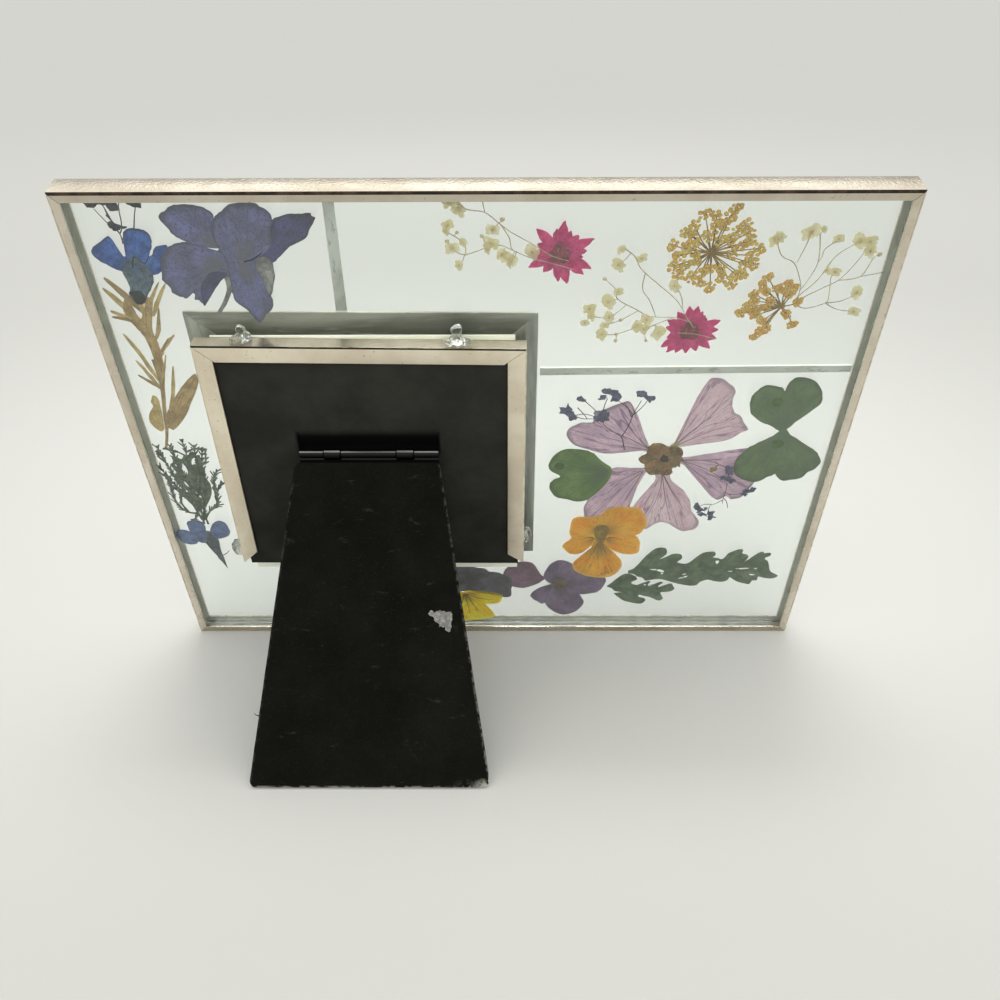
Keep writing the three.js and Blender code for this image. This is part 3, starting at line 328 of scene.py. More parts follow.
def painted_reflection_finish(name, dark, light):
    """Painted reflection: a dark line along the rolled back edge of a channel, for the dark surroundings that the edge
    mirrors.
    """
    f = Finish(name, Metallic=0.0, Roughness=0.6, Specular_IOR_Level=0.12)
    return f.give(Base_Color=f.mix(f.step(f.noise(f.place(), 300, 3), 0.4, 0.65), colour(*dark), colour(*light)))


def lining_finish(name="channel_lining", dark=(222, 221, 200), light=(242, 240, 224)):
    """Pale, dull inside of a channel."""
    f = Finish(name, Metallic=0.0, Roughness=0.6)
    where = f.place()
    tone = f.mix(f.step(f.noise(where, 150, 4), 0.3, 0.7), colour(*dark), colour(*light))
    return f.give(Base_Color=tone, Normal=f.relief(f.noise(where, 500), 0.0001, 0.5))


def lead_finish(name, light, dark, run):
    """Soft grey strip, mottled and a little lumpy, streaked along its run."""
    f = Finish(name, Metallic=0.2, Roughness=0.55)
    where = f.place(run)
    blotches = f.step(f.noise(where, 90, 5, 0.6, 0.4), 0.36, 0.66)
    tone = f.mix(blotches, colour(*dark), colour(*light))
    pale = f.step(f.noise(where, 260, 3, 0.7), 0.6, 0.72)
    tone = f.mix(f.math("MULTIPLY", pale, 0.5), tone, colour(236, 238, 228))
    scratch = f.step(f.noise(where, 700, 4, 0.7), 0.56, 0.66)
    tone = f.mix(f.math("MULTIPLY", scratch, 0.4), tone, colour(112, 112, 98))
    return f.give(Base_Color=tone, Normal=f.relief(f.noise(where, 160, 4), 0.00035, 0.5))


def glass_finish():
    f = Finish("clear_glass", Base_Color=colour(253, 255, 254), Roughness=0.0, IOR=1.5, Transmission_Weight=1.0,
        Specular_IOR_Level=0.5)
    soak = f.tree.nodes.new("ShaderNodeVolumeAbsorption")
    soak.inputs["Color"].default_value = colour(205, 235, 222)
    soak.inputs["Density"].default_value = 8.0
    f.tree.links.new(soak.outputs[0], f.tree.nodes["Material Output"].inputs["Volume"])
    return f.material


def glue_finish():
    f = Finish("clear_glue", Base_Color=colour(206, 209, 202), Roughness=0.03, IOR=1.42, Transmission_Weight=1.0)
    where = f.place()
    return f.give(Normal=f.relief(f.noise(where, 420, 2), 0.0009, 0.7))


def card_finish():
    f = Finish("pale_card", Roughness=0.8)
    where = f.place()
    tone = f.mix(f.step(f.noise(where, 45, 4), 0.3, 0.75), colour(206, 210, 190), colour(222, 224, 208))
    tone = f.mix(f.math("MULTIPLY", f.step(f.noise(where, 700, 2), 0.6, 0.75), 0.25), tone, colour(170, 166, 140))
    return f.give(Base_Color=tone, Normal=f.relief(f.noise(where, 1500, 3), 0.00003, 0.5))


def board_finish(name, wear_and_highlight):
    """Black fibre board: matte, felted, with paler fibres. For the leg it adds scuffs and pale edges, which are wear
    and, along the right edge, a painted highlight; the other board gets painted shade that darkens it into the recess
    above its hinge."""
    f = Finish(name, Roughness=0.9, Specular_IOR_Level=0.06)
    where = f.place()
    low, high = ((6, 6, 4), (14, 14, 11)) if wear_and_highlight else ((30, 30, 27), (43, 43, 39))
    tone = f.mix(f.step(f.noise(where, 40, 5, 0.65), 0.3, 0.75), colour(*low), colour(*high))
    fibres = f.step(f.noise(f.place(), 2400, 2, 0.8), 0.62, 0.74)
    tone = f.mix(f.math("MULTIPLY", fibres, 0.4), tone, colour(58, 58, 52))
    grain = f.math("ADD", f.noise(where, 1300, 4, 0.7), f.math("MULTIPLY", f.noise(where, 180, 3), 0.8))
    if wear_and_highlight:
        scuff = f.step(f.noise(f.place((1, 1, 3.2), 0.6), 95, 5, 0.7, 0.8), 0.62, 0.71)
        tone = f.mix(f.math("MULTIPLY", scuff, 0.12), tone, colour(84, 84, 78))
        # pale edges: wear, and along the right edge a painted highlight
        wear_and_edge_highlight = f.node("ShaderNodeAttribute", "Fac", attribute_name="wear_and_edge_highlight")
        patchy = f.math("MULTIPLY", wear_and_edge_highlight, f.step(f.noise(where, 420, 3, 0.7), 0.44, 0.58))
        tone = f.mix(patchy, tone, colour(150, 149, 138))
    else:
        # painted shade: near black, darkening the board into the recess above the hinge
        up = STANDING.to_3x3() @ Vector((0, 1, 0)) / MM
        rise = f.along(up)
        side = f.node("ShaderNodeSeparateXYZ", "X", {0: f.node("ShaderNodeTexCoord", "Object")})
        left, right = ((STANDING @ Vector((u, 0, BOARD_BACK))).x for u in PAINTED_SHADE_ENDS)
        ends = f.math("MULTIPLY", f.step(side, left + 0.001, left - 0.0006), f.step(side, right, right + 0.0014))
        foot, low, high, top = ((STANDING @ Vector((0, v, BOARD_BACK))).dot(up) for v in PAINTED_SHADE_HEIGHTS)
        dark = f.math("MULTIPLY", f.step(rise, top, high), ends)
        tone = f.mix(f.math("MULTIPLY", dark, f.step(rise, foot, low)), tone, colour(1, 1, 1))
    return f.give(Base_Color=tone, Normal=f.relief(grain, 0.00022, 0.55))


def black_metal_finish():
    f = Finish("black_enamel", Roughness=0.14, Specular_IOR_Level=0.1)
    where = f.place()
    tone = f.mix(f.step(f.noise(where, 600, 3), 0.55, 0.75), colour(2, 2, 2), colour(8, 8, 8))
    # painted highlight: a pale line along the knuckles, where the hinge sets the attribute
    wear_and_highlight = f.math("MULTIPLY", f.node("ShaderNodeAttribute", "Fac", attribute_name="wear_and_highlight"),
        f.step(f.noise(f.place((0.25, 1, 1)), 260, 3, 0.6), 0.3, 0.6, (0.45, 1.0)))
    tone = f.mix(wear_and_highlight, tone, colour(138, 138, 132))
    return f.give(Base_Color=tone, Roughness=f.step(f.noise(where, 200, 3), 0.2, 0.8, (0.08, 0.25)),
        Normal=f.relief(f.noise(where, 500, 2), 0.00005, 0.4))


def torn_paper_finish():
    f = Finish("torn_paper", Roughness=0.7)
    where = f.place()
    tone = f.mix(f.step(f.noise(where, 420, 4, 0.7), 0.4, 0.6), colour(80, 80, 76), colour(120, 120, 114))
    return f.give(Base_Color=tone, Normal=f.relief(f.noise(where, 700, 4), 0.0001, 0.5))


def dried(tone):
    """A plant's colour, raised a little for the light that the glass keeps back."""
    return tuple(min(1.0, c * 1.22) for c in colour(*tone)[:3]) + (1.0,)


def petal_finish(name, face, deep, vein=None, edge=None, heart=None, veins=9.0, vein_share=0.6, mottle=170,
        heart_reach=0.3, edge_from=0.9, glow=0.35, streak=0.35, bumps=0.00012, grain=0.3):
    """A dried petal: mottled between two tones, streaked along its length, veined from its base, tinted at the edge.

    Each petal carries its own map: across it from 0 to 1, and from its base at 0 to its rim at 1.
    """
    f = Finish(name, Roughness=0.75, Specular_IOR_Level=0.25)
    where = f.place()
    across = f.place((veins, 0.55, 1), kind="UV")
    split = f.node("ShaderNodeSeparateXYZ", "Y", {0: f.node("ShaderNodeTexCoord", "UV")})
    tone = f.mix(f.step(f.noise(where, mottle, 5, 0.62, 0.3), 0.34, 0.68), dried(deep), dried(face))
    fine = f.noise(f.place((veins * 5, 2.5, 1), kind="UV"), 2.0, 3, 0.6)
    specks = f.step(f.noise(where, 1500, 3, 0.7), 0.5, 0.66)
    tone = f.mix(f.math("MULTIPLY", specks, grain), tone, f.mix(0.5, dried(deep), colour(48, 46, 50)))
    tone = f.mix(f.math("MULTIPLY", f.step(fine, 0.5, 0.72), streak), tone, dried(deep))
    if heart:
        tone = f.mix(f.step(f.math("ADD", split, f.math("MULTIPLY", f.noise(where, 300), 0.12)), heart_reach + 0.06,
            0.06), tone, dried(heart))
    lines = f.noise(across, 1.6, 2.0, 0.45, 0.25)
    contour = f.math("ABSOLUTE", f.math("SUBTRACT", lines, 0.5))
    thin = f.step(contour, 0.03, 0.004)
    hair = f.noise(f.place((veins * 3.1, 1.3, 1), kind="UV"), 1.7, 2.0, 0.5, 0.3)
    hairs = f.step(f.math("ABSOLUTE", f.math("SUBTRACT", hair, 0.5)), 0.035, 0.005)
    if vein:
        tone = f.mix(f.math("MULTIPLY", hairs, vein_share * 0.5), tone, dried(vein))
        tone = f.mix(f.math("MULTIPLY", thin, vein_share), tone, dried(vein))
    if edge:
        rim = f.step(f.math("ADD", split, f.math("MULTIPLY", f.noise(where, 260, 3), 0.2)), edge_from + 0.08, 1.1)
        tone = f.mix(rim, tone, dried(edge))
    height = f.math("ADD", f.math("MULTIPLY", thin, -0.5), f.math("ADD", fine, f.noise(where, 700, 3)))
    f.give(Base_Color=tone, Normal=f.relief(height, bumps, 0.6))
    return f.let_through(tone, glow)


def plain_plant_finish(name, face, deep, fleck=None, scale=300, fleck_scale=900):
    """Dried stems, buds and leaves that carry no map of their own."""
    f = Finish(name, Roughness=0.8, Specular_IOR_Level=0.25)
    where = f.place()
    tone = f.mix(f.step(f.noise(where, scale, 4, 0.6), 0.34, 0.66), dried(deep), dried(face))
    if fleck:
        tone = f.mix(f.math("MULTIPLY", f.step(f.noise(where, fleck_scale, 3, 0.6), 0.56, 0.68), 0.7), tone,
            dried(fleck))
    f.give(Base_Color=tone, Normal=f.relief(f.noise(where, 1100, 4), 0.00012, 0.6))
    return f.let_through(tone, 0.2)


def scale_leaf_finish(name, face, deep, gap):
    """Overlapping scale leaves of a conifer frond."""
    f = Finish(name, Roughness=0.8, Specular_IOR_Level=0.25)
    where = f.place((1, 0.7, 1))
    tone = f.mix(f.step(f.noise(where, 220, 4, 0.6), 0.3, 0.7), dried(deep), dried(face))
    seams = f.step(f.cell_edges(f.place((1.3, 1, 0.8)), 900), 0.07, 0.01)
    tone = f.mix(f.math("MULTIPLY", seams, 0.45), tone, dried(gap))
    return f.give(Base_Color=tone, Normal=f.relief(f.math("SUBTRACT", f.noise(where, 900, 3), seams), 0.00015, 0.6))


# ---- pressed plants ---------------------------------------------------------------------------------------------
def area(points):
    return sum(a[0] * b[1] - b[0] * a[1] for a, b in zip(points, points[1:] + points[:1])) / 2


def curve_through(points, closed, steps):
    """A smooth line through the points, with a fixed count of short steps between each pair."""
    made = []
    count = len(points)
    spans = count if closed else count - 1
    for i in range(spans):
        p = [Vector(points[(i + k) % count] if closed else points[min(max(i + k, 0), count - 1)]).to_2d()
            for k in (-1, 0, 1, 2)]
        for s in range(steps):
            t = s / steps
            made.append(
                tuple(
                    0.5
                    * (
                        2 * p[1]
                        + (p[2] - p[0]) * t
                        + (2 * p[0] - 5 * p[1] + 4 * p[2] - p[3]) * t * t
                        + (3 * p[1] - p[0] - 3 * p[2] + p[3]) * t * t * t
                    )
                )
            )
    if not closed:
        made.append(tuple(points[-1][:2]))
    return made


def torn(line, by):
    """The same line with small uneven nicks, as a dried rim has."""
    return [(u + by * noise.noise(Vector((u * 1.7, v * 1.7, 4))),
        v + by * noise.noise(Vector((u * 1.7, v * 1.7, 11)))) for u, v in line]


def around(centre, radius, count, rough, seed, stretch=1.0):
    """A roughly round outline."""
    made = []
    for i in range(count):
        a = math.tau * i / count
        r = radius * (1 + rough * noise.noise(Vector((math.cos(a) * 1.3, math.sin(a) * 1.3, seed * 7.7 + 3))) * 2)
        made.append((centre[0] + r * math.cos(a), centre[1] + r * math.sin(a) * stretch))
    return made


class Pressing:
    """The parts of one pressed plant, gathered and made one mesh: thin sheets for petals, strands for stems."""

    def __init__(self, name, n, cockle=0.1):
        self.name, self.n, self.cockle = name, n, cockle
        self.sheet = ([], [], [], [])  # points, faces, map, finish of each face
        self.thick = ([], [], [], [])

    def height(self, u, v, lift):
        wave = noise.noise(Vector((u * 0.13, v * 0.13, 2))) + 0.4 * noise.noise(Vector((u * 0.45, v * 0.45, 5)))
        return self.n + lift + self.cockle * wave

    def petal(self, outline, base, finish=0, lift=0.0, rings=9, smooth=3, ragged=0.3):
        """A petal whose map and folds run out from its base."""
        line = torn(curve_through(outline, True, smooth), ragged)
        if area(line) < 0:
            line.reverse()
        points, faces, maps, kinds = self.sheet
        start = len(points)
        points.append((base[0], base[1], self.height(*base, lift)))
        # the map runs across from the point nearest the base
        first = min(range(len(line)), key=lambda i: (line[i][0] - base[0]) ** 2 + (line[i][1] - base[1]) ** 2)
        line = line[first:] + line[:first]
        count = len(line)
        for r in range(1, rings + 1):
            t = (r / rings) ** 0.85
            for u, v in line:
                pu, pv = base[0] + (u - base[0]) * t, base[1] + (v - base[1]) * t
                points.append((pu, pv, self.height(pu, pv, lift)))
        for i in range(count):
            j = (i + 1) % count
            a, b = i / count, (i + 1) / count
            faces.append((start, start + 1 + i, start + 1 + j))
            maps.append(((a + b) / 2, 0.0, a, 1 / rings, b, 1 / rings))
            for r in range(1, rings):
                low, high = start + 1 + (r - 1) * count, start + 1 + r * count
                faces.append((low + i, high + i, high + j, low + j))
                maps.append((a, r / rings, a, (r + 1) / rings, b, (r + 1) / rings, b, r / rings))
        kinds.extend([finish] * (count * rings))

    def leaf(self, outline, finish=0, lift=0.0, holes=(), spacing=1.2, smooth=2):
        """A flat sheet of any outline, with openings, filled with small triangles so that it can cockle."""
        loops = [curve_through(outline, True, smooth)] + [curve_through(h, True, smooth) for h in holes]
        flat, edges = [], []
        for loop in loops:
            first = len(flat)
            flat.extend(Vector(p) for p in loop)
            edges.extend((first + i, first + (i + 1) % len(loop)) for i in range(len(loop)))
        us, vs = [p[0] for p in loops[0]], [p[1] for p in loops[0]]
        rows = int((max(vs) - min(vs)) / spacing)
        columns = int((max(us) - min(us)) / spacing)
        for r in range(1, rows + 1):
            for c in range(1, columns + 1):
                flat.append(Vector((min(us) + (c - 0.5 * (r % 2)) * spacing, min(vs) + (r - 0.35) * spacing)))
        verts, _, triangles, *_ = delaunay_2d_cdt(flat, edges, [], 0, 1e-4)
        points, faces, maps, kinds = self.sheet
        start = len(points)
        points.extend((p.x, p.y, self.height(p.x, p.y, lift)) for p in verts)
        for triangle in triangles:
            centre = sum((verts[i] for i in triangle), Vector((0, 0))) / len(triangle)
            if not inside(centre, loops[0]) or any(inside(centre, h) for h in loops[1:]):
                continue
            ring = [tuple(verts[i]) for i in triangle]
            order = list(triangle) if area(ring) > 0 else list(reversed(triangle))
            faces.append(tuple(start + i for i in order))
            maps.append(tuple(x for i in order for x in ((verts[i].x - min(us)) / 10, (verts[i].y - min(vs)) / 10)))
            kinds.append(finish)

    def strand(self, line, wide, narrow=None, finish=0, lift=0.0, smooth=4, flat=0.45, sides=6):
        """A stem that follows a line and thins towards its end."""
        narrow = wide if narrow is None else narrow
        if len(line) > 2:
            path = curve_through(line, False, smooth)
        else:
            a, b = (Vector(p) for p in line)
            path = [a.lerp(b, i / 3) for i in range(4)]
        points, faces, maps, kinds = self.thick
        start = len(points)
        count = len(path)
        for k, (u, v) in enumerate(path):
            t = k / (count - 1)
            before, after = path[max(k - 1, 0)], path[min(k + 1, count - 1)]
            way = Vector((after[0] - before[0], after[1] - before[1])).normalized()
            radius = (wide + (narrow - wide) * t) / 2
            n = self.height(u, v, lift)
            for s in range(sides):
                a = math.tau * s / sides
                side, up = math.cos(a) * radius, math.sin(a) * radius * flat
                points.append((u - way.y * side, v + way.x * side, n + up))
        for k in range(count - 1):
            for s in range(sides):
                a, b = start + k * sides + s, start + k * sides + (s + 1) % sides
                faces.append((a, b, b + sides, a + sides))
                maps.append((s / sides, k / count, (s + 1) / sides, k / count, (s + 1) / sides, (k + 1) / count,
                    s / sides, (k + 1) / count))
        faces.append(tuple(start + s for s in reversed(range(sides))))
        faces.append(tuple(start + (count - 1) * sides + s for s in range(sides)))
        maps.extend([(0.0, 0.0) * sides] * 2)
        kinds.extend([finish] * ((count - 1) * sides + 2))

    def pad(self, centre, radius, finish=0, lift=0.0, puff=0.3, count=9, rough=0.12, seed=0.0, stretch=1.0):
        """A small flattened bud or knob: two domes on a rough outline."""
        rim = around(centre, radius, count, rough, seed, stretch)
        points, faces, maps, kinds = self.thick
        start = len(points)
        n = self.height(*centre, lift)
        half = [(centre[0] + (u - centre[0]) * 0.6, centre[1] + (v - centre[1]) * 0.6) for u, v in rim]
        for ring, up in ((half, -puff * 0.5), (rim, 0), (half, puff * 0.5)):
            points.extend((u, v, n + up) for u, v in ring)
        points.append((*centre, n - puff * 0.62))
        points.append((*centre, n + puff * 0.62))
        bottom, top = start + 3 * count, start + 3 * count + 1
        for i in range(count):
            j = (i + 1) % count
            faces.append((bottom, start + j, start + i))
            faces.append((top, start + 2 * count + i, start + 2 * count + j))
            for r in (0, 1):
                low, high = start + r * count, start + (r + 1) * count
                faces.append((low + i, low + j, high + j, high + i))
            maps.extend([(0.5, 0.0, 0.0, 0.6, 1.0, 0.6)] * 2 + [(0.0, 0.6, 1.0, 0.6, 1.0, 1.0, 0.0, 1.0)] * 2)
        kinds.extend([finish] * (4 * count))

    def build(self, finishes, node):
        """One mesh of all the parts, the sheets given their thickness, in place of the CAD node."""
        halves = []
        for tag, (points, faces, maps, kinds) in (("sheet", self.sheet), ("strands", self.thick)):
            if not faces:
                continue
            obj = add(self.name + "_" + tag, points, faces)
            mesh = obj.data
            layer = mesh.uv_layers.new(name="petal")
            for face, flat, kind in zip(mesh.polygons, maps, kinds):
                face.material_index = kind
                for k, loop in enumerate(face.loop_indices):
                    layer.data[loop].uv = flat[2 * k : 2 * k + 2]
            for finish in finishes:
                mesh.materials.append(finish)
            if tag == "sheet":
                modify(obj, "SOLIDIFY", thickness=SHEET_THICKNESS, offset=0.0)
            halves.append(obj)
        obj = join(*halves) if len(halves) > 1 else halves[0]
        obj.name = self.name
        settle(obj, STANDING, "frame", node, 50)


def inside(point, loop):
    """Whether a point lies in a closed outline."""
    hit = False
    for (au, av), (bu, bv) in zip(loop, loop[1:] + loop[:1]):
        if (av > point[1]) != (bv > point[1]) and point[0] < (bu - au) * (point[1] - av) / (bv - av) + au:
            hit = not hit
    return hit


def nearest(point, lines):
    """The point of the lines that is nearest to a given point."""
    best, least = None, 1e9
    for line in lines:
        for a, b in zip(line, line[1:]):
            a, b, p = Vector(a[:2]), Vector(b[:2]), Vector(point[:2])
            t = min(1, max(0, (p - a).dot(b - a) / (b - a).length_squared))
            q = a.lerp(b, t)
            if (q - p).length < least:
                best, least = q, (q - p).length
    return tuple(best), least


# ---- sizes and colours that a user would change ------------------------------------------------------------------
def size(label, value, about):
    return bpy.props.FloatProperty(name=label, description=about, default=value * MM, unit="LENGTH",
        subtype="DISTANCE", precision=5)


def tint(label, rgb, about):
    return bpy.props.FloatVectorProperty(name=label, description=about, default=colour(*rgb)[:3], size=3, min=0.0,
        max=1.0, subtype="COLOR")


class FrameSizes(bpy.types.PropertyGroup):
    """Sizes of the metal rails, the leg and the buds."""

    width: size("Frame width", 254, "Outer width of the metal frame")
    height: size("Frame height", 203.6, "Outer height of the metal frame, along its lean")
    depth: size("Frame depth", 9.56, "Depth of the outer channel")
    lip: size("Lip", 3.2, "How far the outer channel laps over the glass")
    wall: size("Wall", 0.8, "Thickness of the outer channel's metal")
    rounding: size("Rounding", 0.85, "Radius of the outer channel's corners")
    photo_lip: size("Photo frame lip", 6.2, "How far the photo frame's channel laps over the board")
    photo_wall: size("Photo frame wall", 0.7, "Thickness of the photo frame's metal")
    leg_thickness: size("Leg thickness", 2.0, "Thickness of the easel leg's board")
    bud: size("Bud", 0.0, "Added to the radius of every gypsophila bud")


class FrameTints(bpy.types.PropertyGroup):
    """Colours of the stage and the light."""

    floor: tint("Floor", (175, 175, 171), "Colour of the floor")
    sky: tint("Surroundings", (227, 227, 225), "Colour of the light from all round")
    brightness: bpy.props.FloatProperty(name="Brightness", description="Strength of the light from all round",
        default=1.9, min=0.0)
    key: bpy.props.FloatProperty(name="Key light", description="Strength of the soft light from above", default=0.3,
        min=0.0)


def mm(value):
    return value / MM


# ---- rails --------------------------------------------------------------------------------------------------------
def channel_rail(name, start, end, depth, lip, wall, rounding):
    """A mitred length of channel. Start and end are each the outer and inner corner of a mitre; the channel's open
    side is to the left of the way from start to end, and depth is its two values of n."""
    outer_a, inner_a, outer_b, inner_b = (Vector(p) for p in (*start, *end))
    way = (outer_b - outer_a).normalized()
    inward = Vector((-way.y, way.x))
    length = (outer_b - outer_a).length
    n0, n1 = depth
    obj = block(name, (-2 * lip, 0, n0), (length + 2 * lip, lip, n1))
    edit(obj)
    for n in (n0 + wall, n1 - wall):
        slice_at((0, 0, n), (0, 0, 1))
    pick(obj, faces=lambda f: close(f.calc_center_median().y, lip) and n0 + wall < f.calc_center_median().z < n1
        - wall)
    bpy.ops.mesh.extrude_region_move(TRANSFORM_OT_translate={"value": (0, wall - lip, 0)})
    pick(obj, edges=lambda e: along(e, 0) and close(middle(e).y, 0) and (close(middle(e).z, n0)
        or close(middle(e).z, n1)))
    soften(rounding, 6)
    pick(obj, edges=lambda e: along(e, 0) and close(middle(e).y, lip))
    soften(0.15, 2)
    for outer, inner, side in ((outer_a, inner_a, -1), (outer_b, inner_b, 1)):
        co = Vector(((outer - outer_a).dot(way), (outer - outer_a).dot(inward), 0))
        slope = Vector(((inner - outer).dot(way), (inner - outer).dot(inward), 0))
        no = Vector((slope.y, -slope.x, 0)).normalized() * side
        no = no if no.x * side > 0 else -no
        slice_at(co - no * MITRE_GAP, no, use_fill=True, clear_outer=True)
    bpy.ops.mesh.select_all(action="SELECT")
    bpy.ops.mesh.remove_doubles(threshold=0.001)
    done()
    lined = [
        f for f in obj.data.polygons
        if n0 + wall - 0.01 < f.center.z < n1 - wall + 0.01 and wall - 0.01 < f.center.y < lip - 0.05
        and 0 < f.center.x < length
        and abs(f.normal.x) < 0.3
    ]
    for f in lined:
        f.material_index = 1
    for f in obj.data.polygons:
        # painted reflection: the dark line sits in the back half of the rolled edge
        if 0.34 < f.normal.z < 0.995 and f.normal.y < -0.02 and f.center.y < rounding and f.center.z > n1 - rounding:
            f.material_index = 2
    obj.data.transform(Matrix(((way.x, inward.x, 0, outer_a.x), (way.y, inward.y, 0, outer_a.y), (0, 0, 1, 0),
        (0, 0, 0, 1))))
    return obj


class FLOWERFRAME_OT_outer_rails(bpy.types.Operator):
    """Make the four mitred channel rails of the metal frame"""

    bl_idname = "flowerframe.outer_rails"
    bl_label = "Outer rails"

    def execute(self, context):
        s = context.scene.flower_frame_sizes
        half, high, lip, wall = mm(s.width) / 2, mm(s.height), mm(s.lip), mm(s.wall)
        corners = [(-half, 0), (half, 0), (half, high), (-half, high)]
        inner = [(-half + lip, lip), (half - lip, lip), (half - lip, high - lip), (-half + lip, high - lip)]
        metal = rail_finish("warm_nickel", (222, 213, 197), (202, 191, 172), 0.24, 0.00013)
        # painted shade: the top rail takes a darker copy of the metal, besides its crowned face
        topped_shaded = rail_finish("warm_nickel_crowned_shaded", (208, 200, 184), (192, 182, 164), 0.2, 0.00014, 12.0)
        # painted shade: the bottom rail takes darker copies of the metal and of the lining
        shaded = rail_finish("warm_nickel_shaded", (190, 182, 166), (168, 160, 143), 0.24, 0.00013)
        lining, shaded_lining = lining_finish(), lining_finish("low_lining_painted_shade", (158, 158, 144), (196, 195, 180))
        # painted reflection: the dark line along the top rail's rolled back edge, fainter on the other rails
        dark, faint = painted_reflection_finish("dark_painted_reflection", (24, 17, 11), (52, 40, 28)), painted_reflection_finish("faint_painted_reflection",
            (150, 142, 124), (176, 168, 150))
        for i, side in enumerate(("bottom", "right", "top", "left")):
            j = (i + 1) % 4
            rail = channel_rail("outer_rail_" + side + "_metal", (corners[i], inner[i]), (corners[j], inner[j]),
                (-mm(s.depth), 0), lip, wall, mm(s.rounding))
            rail.data.materials.append({"top": topped_shaded, "bottom": shaded}.get(side, metal))
            rail.data.materials.append(shaded_lining if side == "bottom" else lining)
            rail.data.materials.append(dark if side == "top" else faint)
            settle(rail, STANDING, "frame", "outer_rail_" + side)
        return {"FINISHED"}


class FLOWERFRAME_OT_panes(bpy.types.Operator):
    """Give the two panes clear glass"""

    bl_idname = "flowerframe.panes"
    bl_label = "Glass panes"

    def execute(self, context):
        glass = glass_finish()
        for name in ("front_pane", "back_pane"):
            dress(name, glass)
        return {"FINISHED"}


def dress(node, finish):
    """Puts one finish on a CAD node."""
    mesh = frame["nodes"][node].data
    mesh.materials.clear()
    mesh.materials.append(finish)


class FLOWERFRAME_OT_lead_strips(bpy.types.Operator):
    """Give the flat strips and the window surround their mottled lead finish"""

    bl_idname = "flowerframe.lead_strips"
    bl_label = "Lead strips"

    def execute(self, context):
        for name, run in (("divider_vertical", (1, 0.35, 0.35)), ("divider_horizontal", (0.35, 1, 1))):
            dress(name, lead_finish("mottled_lead_" + name[8:], (255, 255, 246),
                (206, 207, 190) if name == "divider_vertical" else (232, 233, 218), run))
        for name, run in (("window_strip_left", (1, 0.12, 0.12)), ("window_strip_top", (0.12, 1, 1)),
                ("window_strip_right", (1, 0.12, 0.12))):
            dress(name, lead_finish("dark_lead_" + name[13:], (208, 209, 190), (112, 114, 96), run))
        return {"FINISHED"}


class FLOWERFRAME_OT_photo_rails(bpy.types.Operator):
    """Make the three mitred channel rails of the photo frame"""

    bl_idname = "flowerframe.photo_rails"
    bl_label = "Photo frame rails"

    OUTER = {"low_left": (-97.1, 51.3), "top_left": (-95.0, 154.3), "top_right": (12.8, 152.8),
        "low_right": (12.8, 51.4)}
    INNER = {"low_left": (-90.5, 57.9), "top_left": (-88.8, 148.5), "top_right": (6.4, 147.5),
        "low_right": (6.1, 56.5)}
    DEPTH = (0.45, 6.0)

    def execute(self, context):
        s = context.scene.flower_frame_sizes
        metal = rail_finish("champagne_metal", (238, 228, 208), (222, 210, 188), 0.36, 0.00004)
        # painted shade: a darker copy of the metal for the top rail's faces that face up
        shade = rail_finish("champagne_shade", (176, 167, 149), (150, 141, 122), 0.3, 0.00008)
        lining = lining_finish()
        # painted reflection: the dark line along the photo frame's rolled back edge, fainter on its side rails
        dark, faint = painted_reflection_finish("dark_line", (14, 10, 7), (28, 22, 15)), painted_reflection_finish("faint_line",
            (164, 154, 134), (188, 178, 158))
        for side, a, b in (("left", "top_left", "low_left"), ("top", "top_right", "top_left"),
                ("right", "low_right", "top_right")):
            rail = channel_rail(
                "photo_rail_" + side + "_metal", (self.OUTER[a], self.INNER[a]), (self.OUTER[b], self.INNER[b]),
                self.DEPTH, mm(s.photo_lip), mm(s.photo_wall), 0.5
            )
            rail.data.materials.append(metal)
            rail.data.materials.append(lining)
            rail.data.materials.append(dark if side == "top" else faint)
            if side == "top":
                rail.data.materials.append(shade)
                for f in rail.data.polygons:
                    if f.material_index == 0 and f.normal.y > 0.9:
                        f.material_index = 3
            settle(rail, STANDING, "frame", "photo_rail_" + side)
        return {"FINISHED"}


# ---- board, hinge and leg -----------------------------------------------------------------------------------------
class FLOWERFRAME_OT_board(bpy.types.Operator):
    """Make the black backing board with its shallow recess, and finish the pale card"""

    bl_idname = "flowerframe.board"
    bl_label = "Board and card"

    def execute(self, context):
        dress("insert_card", card_finish())
        board = block("backing_board_fibre", (-94.4, 50, BOARD_FRONT), (11.4, 153, BOARD_BACK))
        edit(board)
        for corner, place in (((-94.4, 50), (-94.4, 50.3)), ((11.4, 50), (10.6, 49.9)), ((11.4, 153), (11.4, 151.7)),
                ((-94.4, 153), (-93.9, 153.0))):
            pick(board, verts=lambda v: close(v.co.x, corner[0]) and close(v.co.y, corner[1]))
            bpy.ops.transform.translate(value=(place[0] - corner[0], place[1] - corner[1], 0))
        for u in RECESS_U:
            slice_at((u, 0, 0), (1, 0, 0))
        for v in RECESS_V:
            slice_at((0, v, 0), (0, 1, 0))
        pick(board, faces=lambda f: close(f.calc_center_median().z, BOARD_BACK)
            and -66 < f.calc_center_median().x < -18 and 110 < f.calc_center_median().y < 117.8)
        bpy.ops.mesh.inset(thickness=0.7, depth=0)
        # the floor of the recess slopes down to the hinge
        pick(board, verts=lambda v: close(v.co.z, BOARD_BACK) and -66 < v.co.x < -17.5 and 110 < v.co.y < 111)
        bpy.ops.transform.translate(value=(0, 0, -RECESS_DEPTH))
        done()
        bevel(board, 0.2, 2)
        board.data.materials.append(board_finish("black_fibre_board", False))
        settle(board, STANDING, "frame", "backing_board")
        return {"FINISHED"}


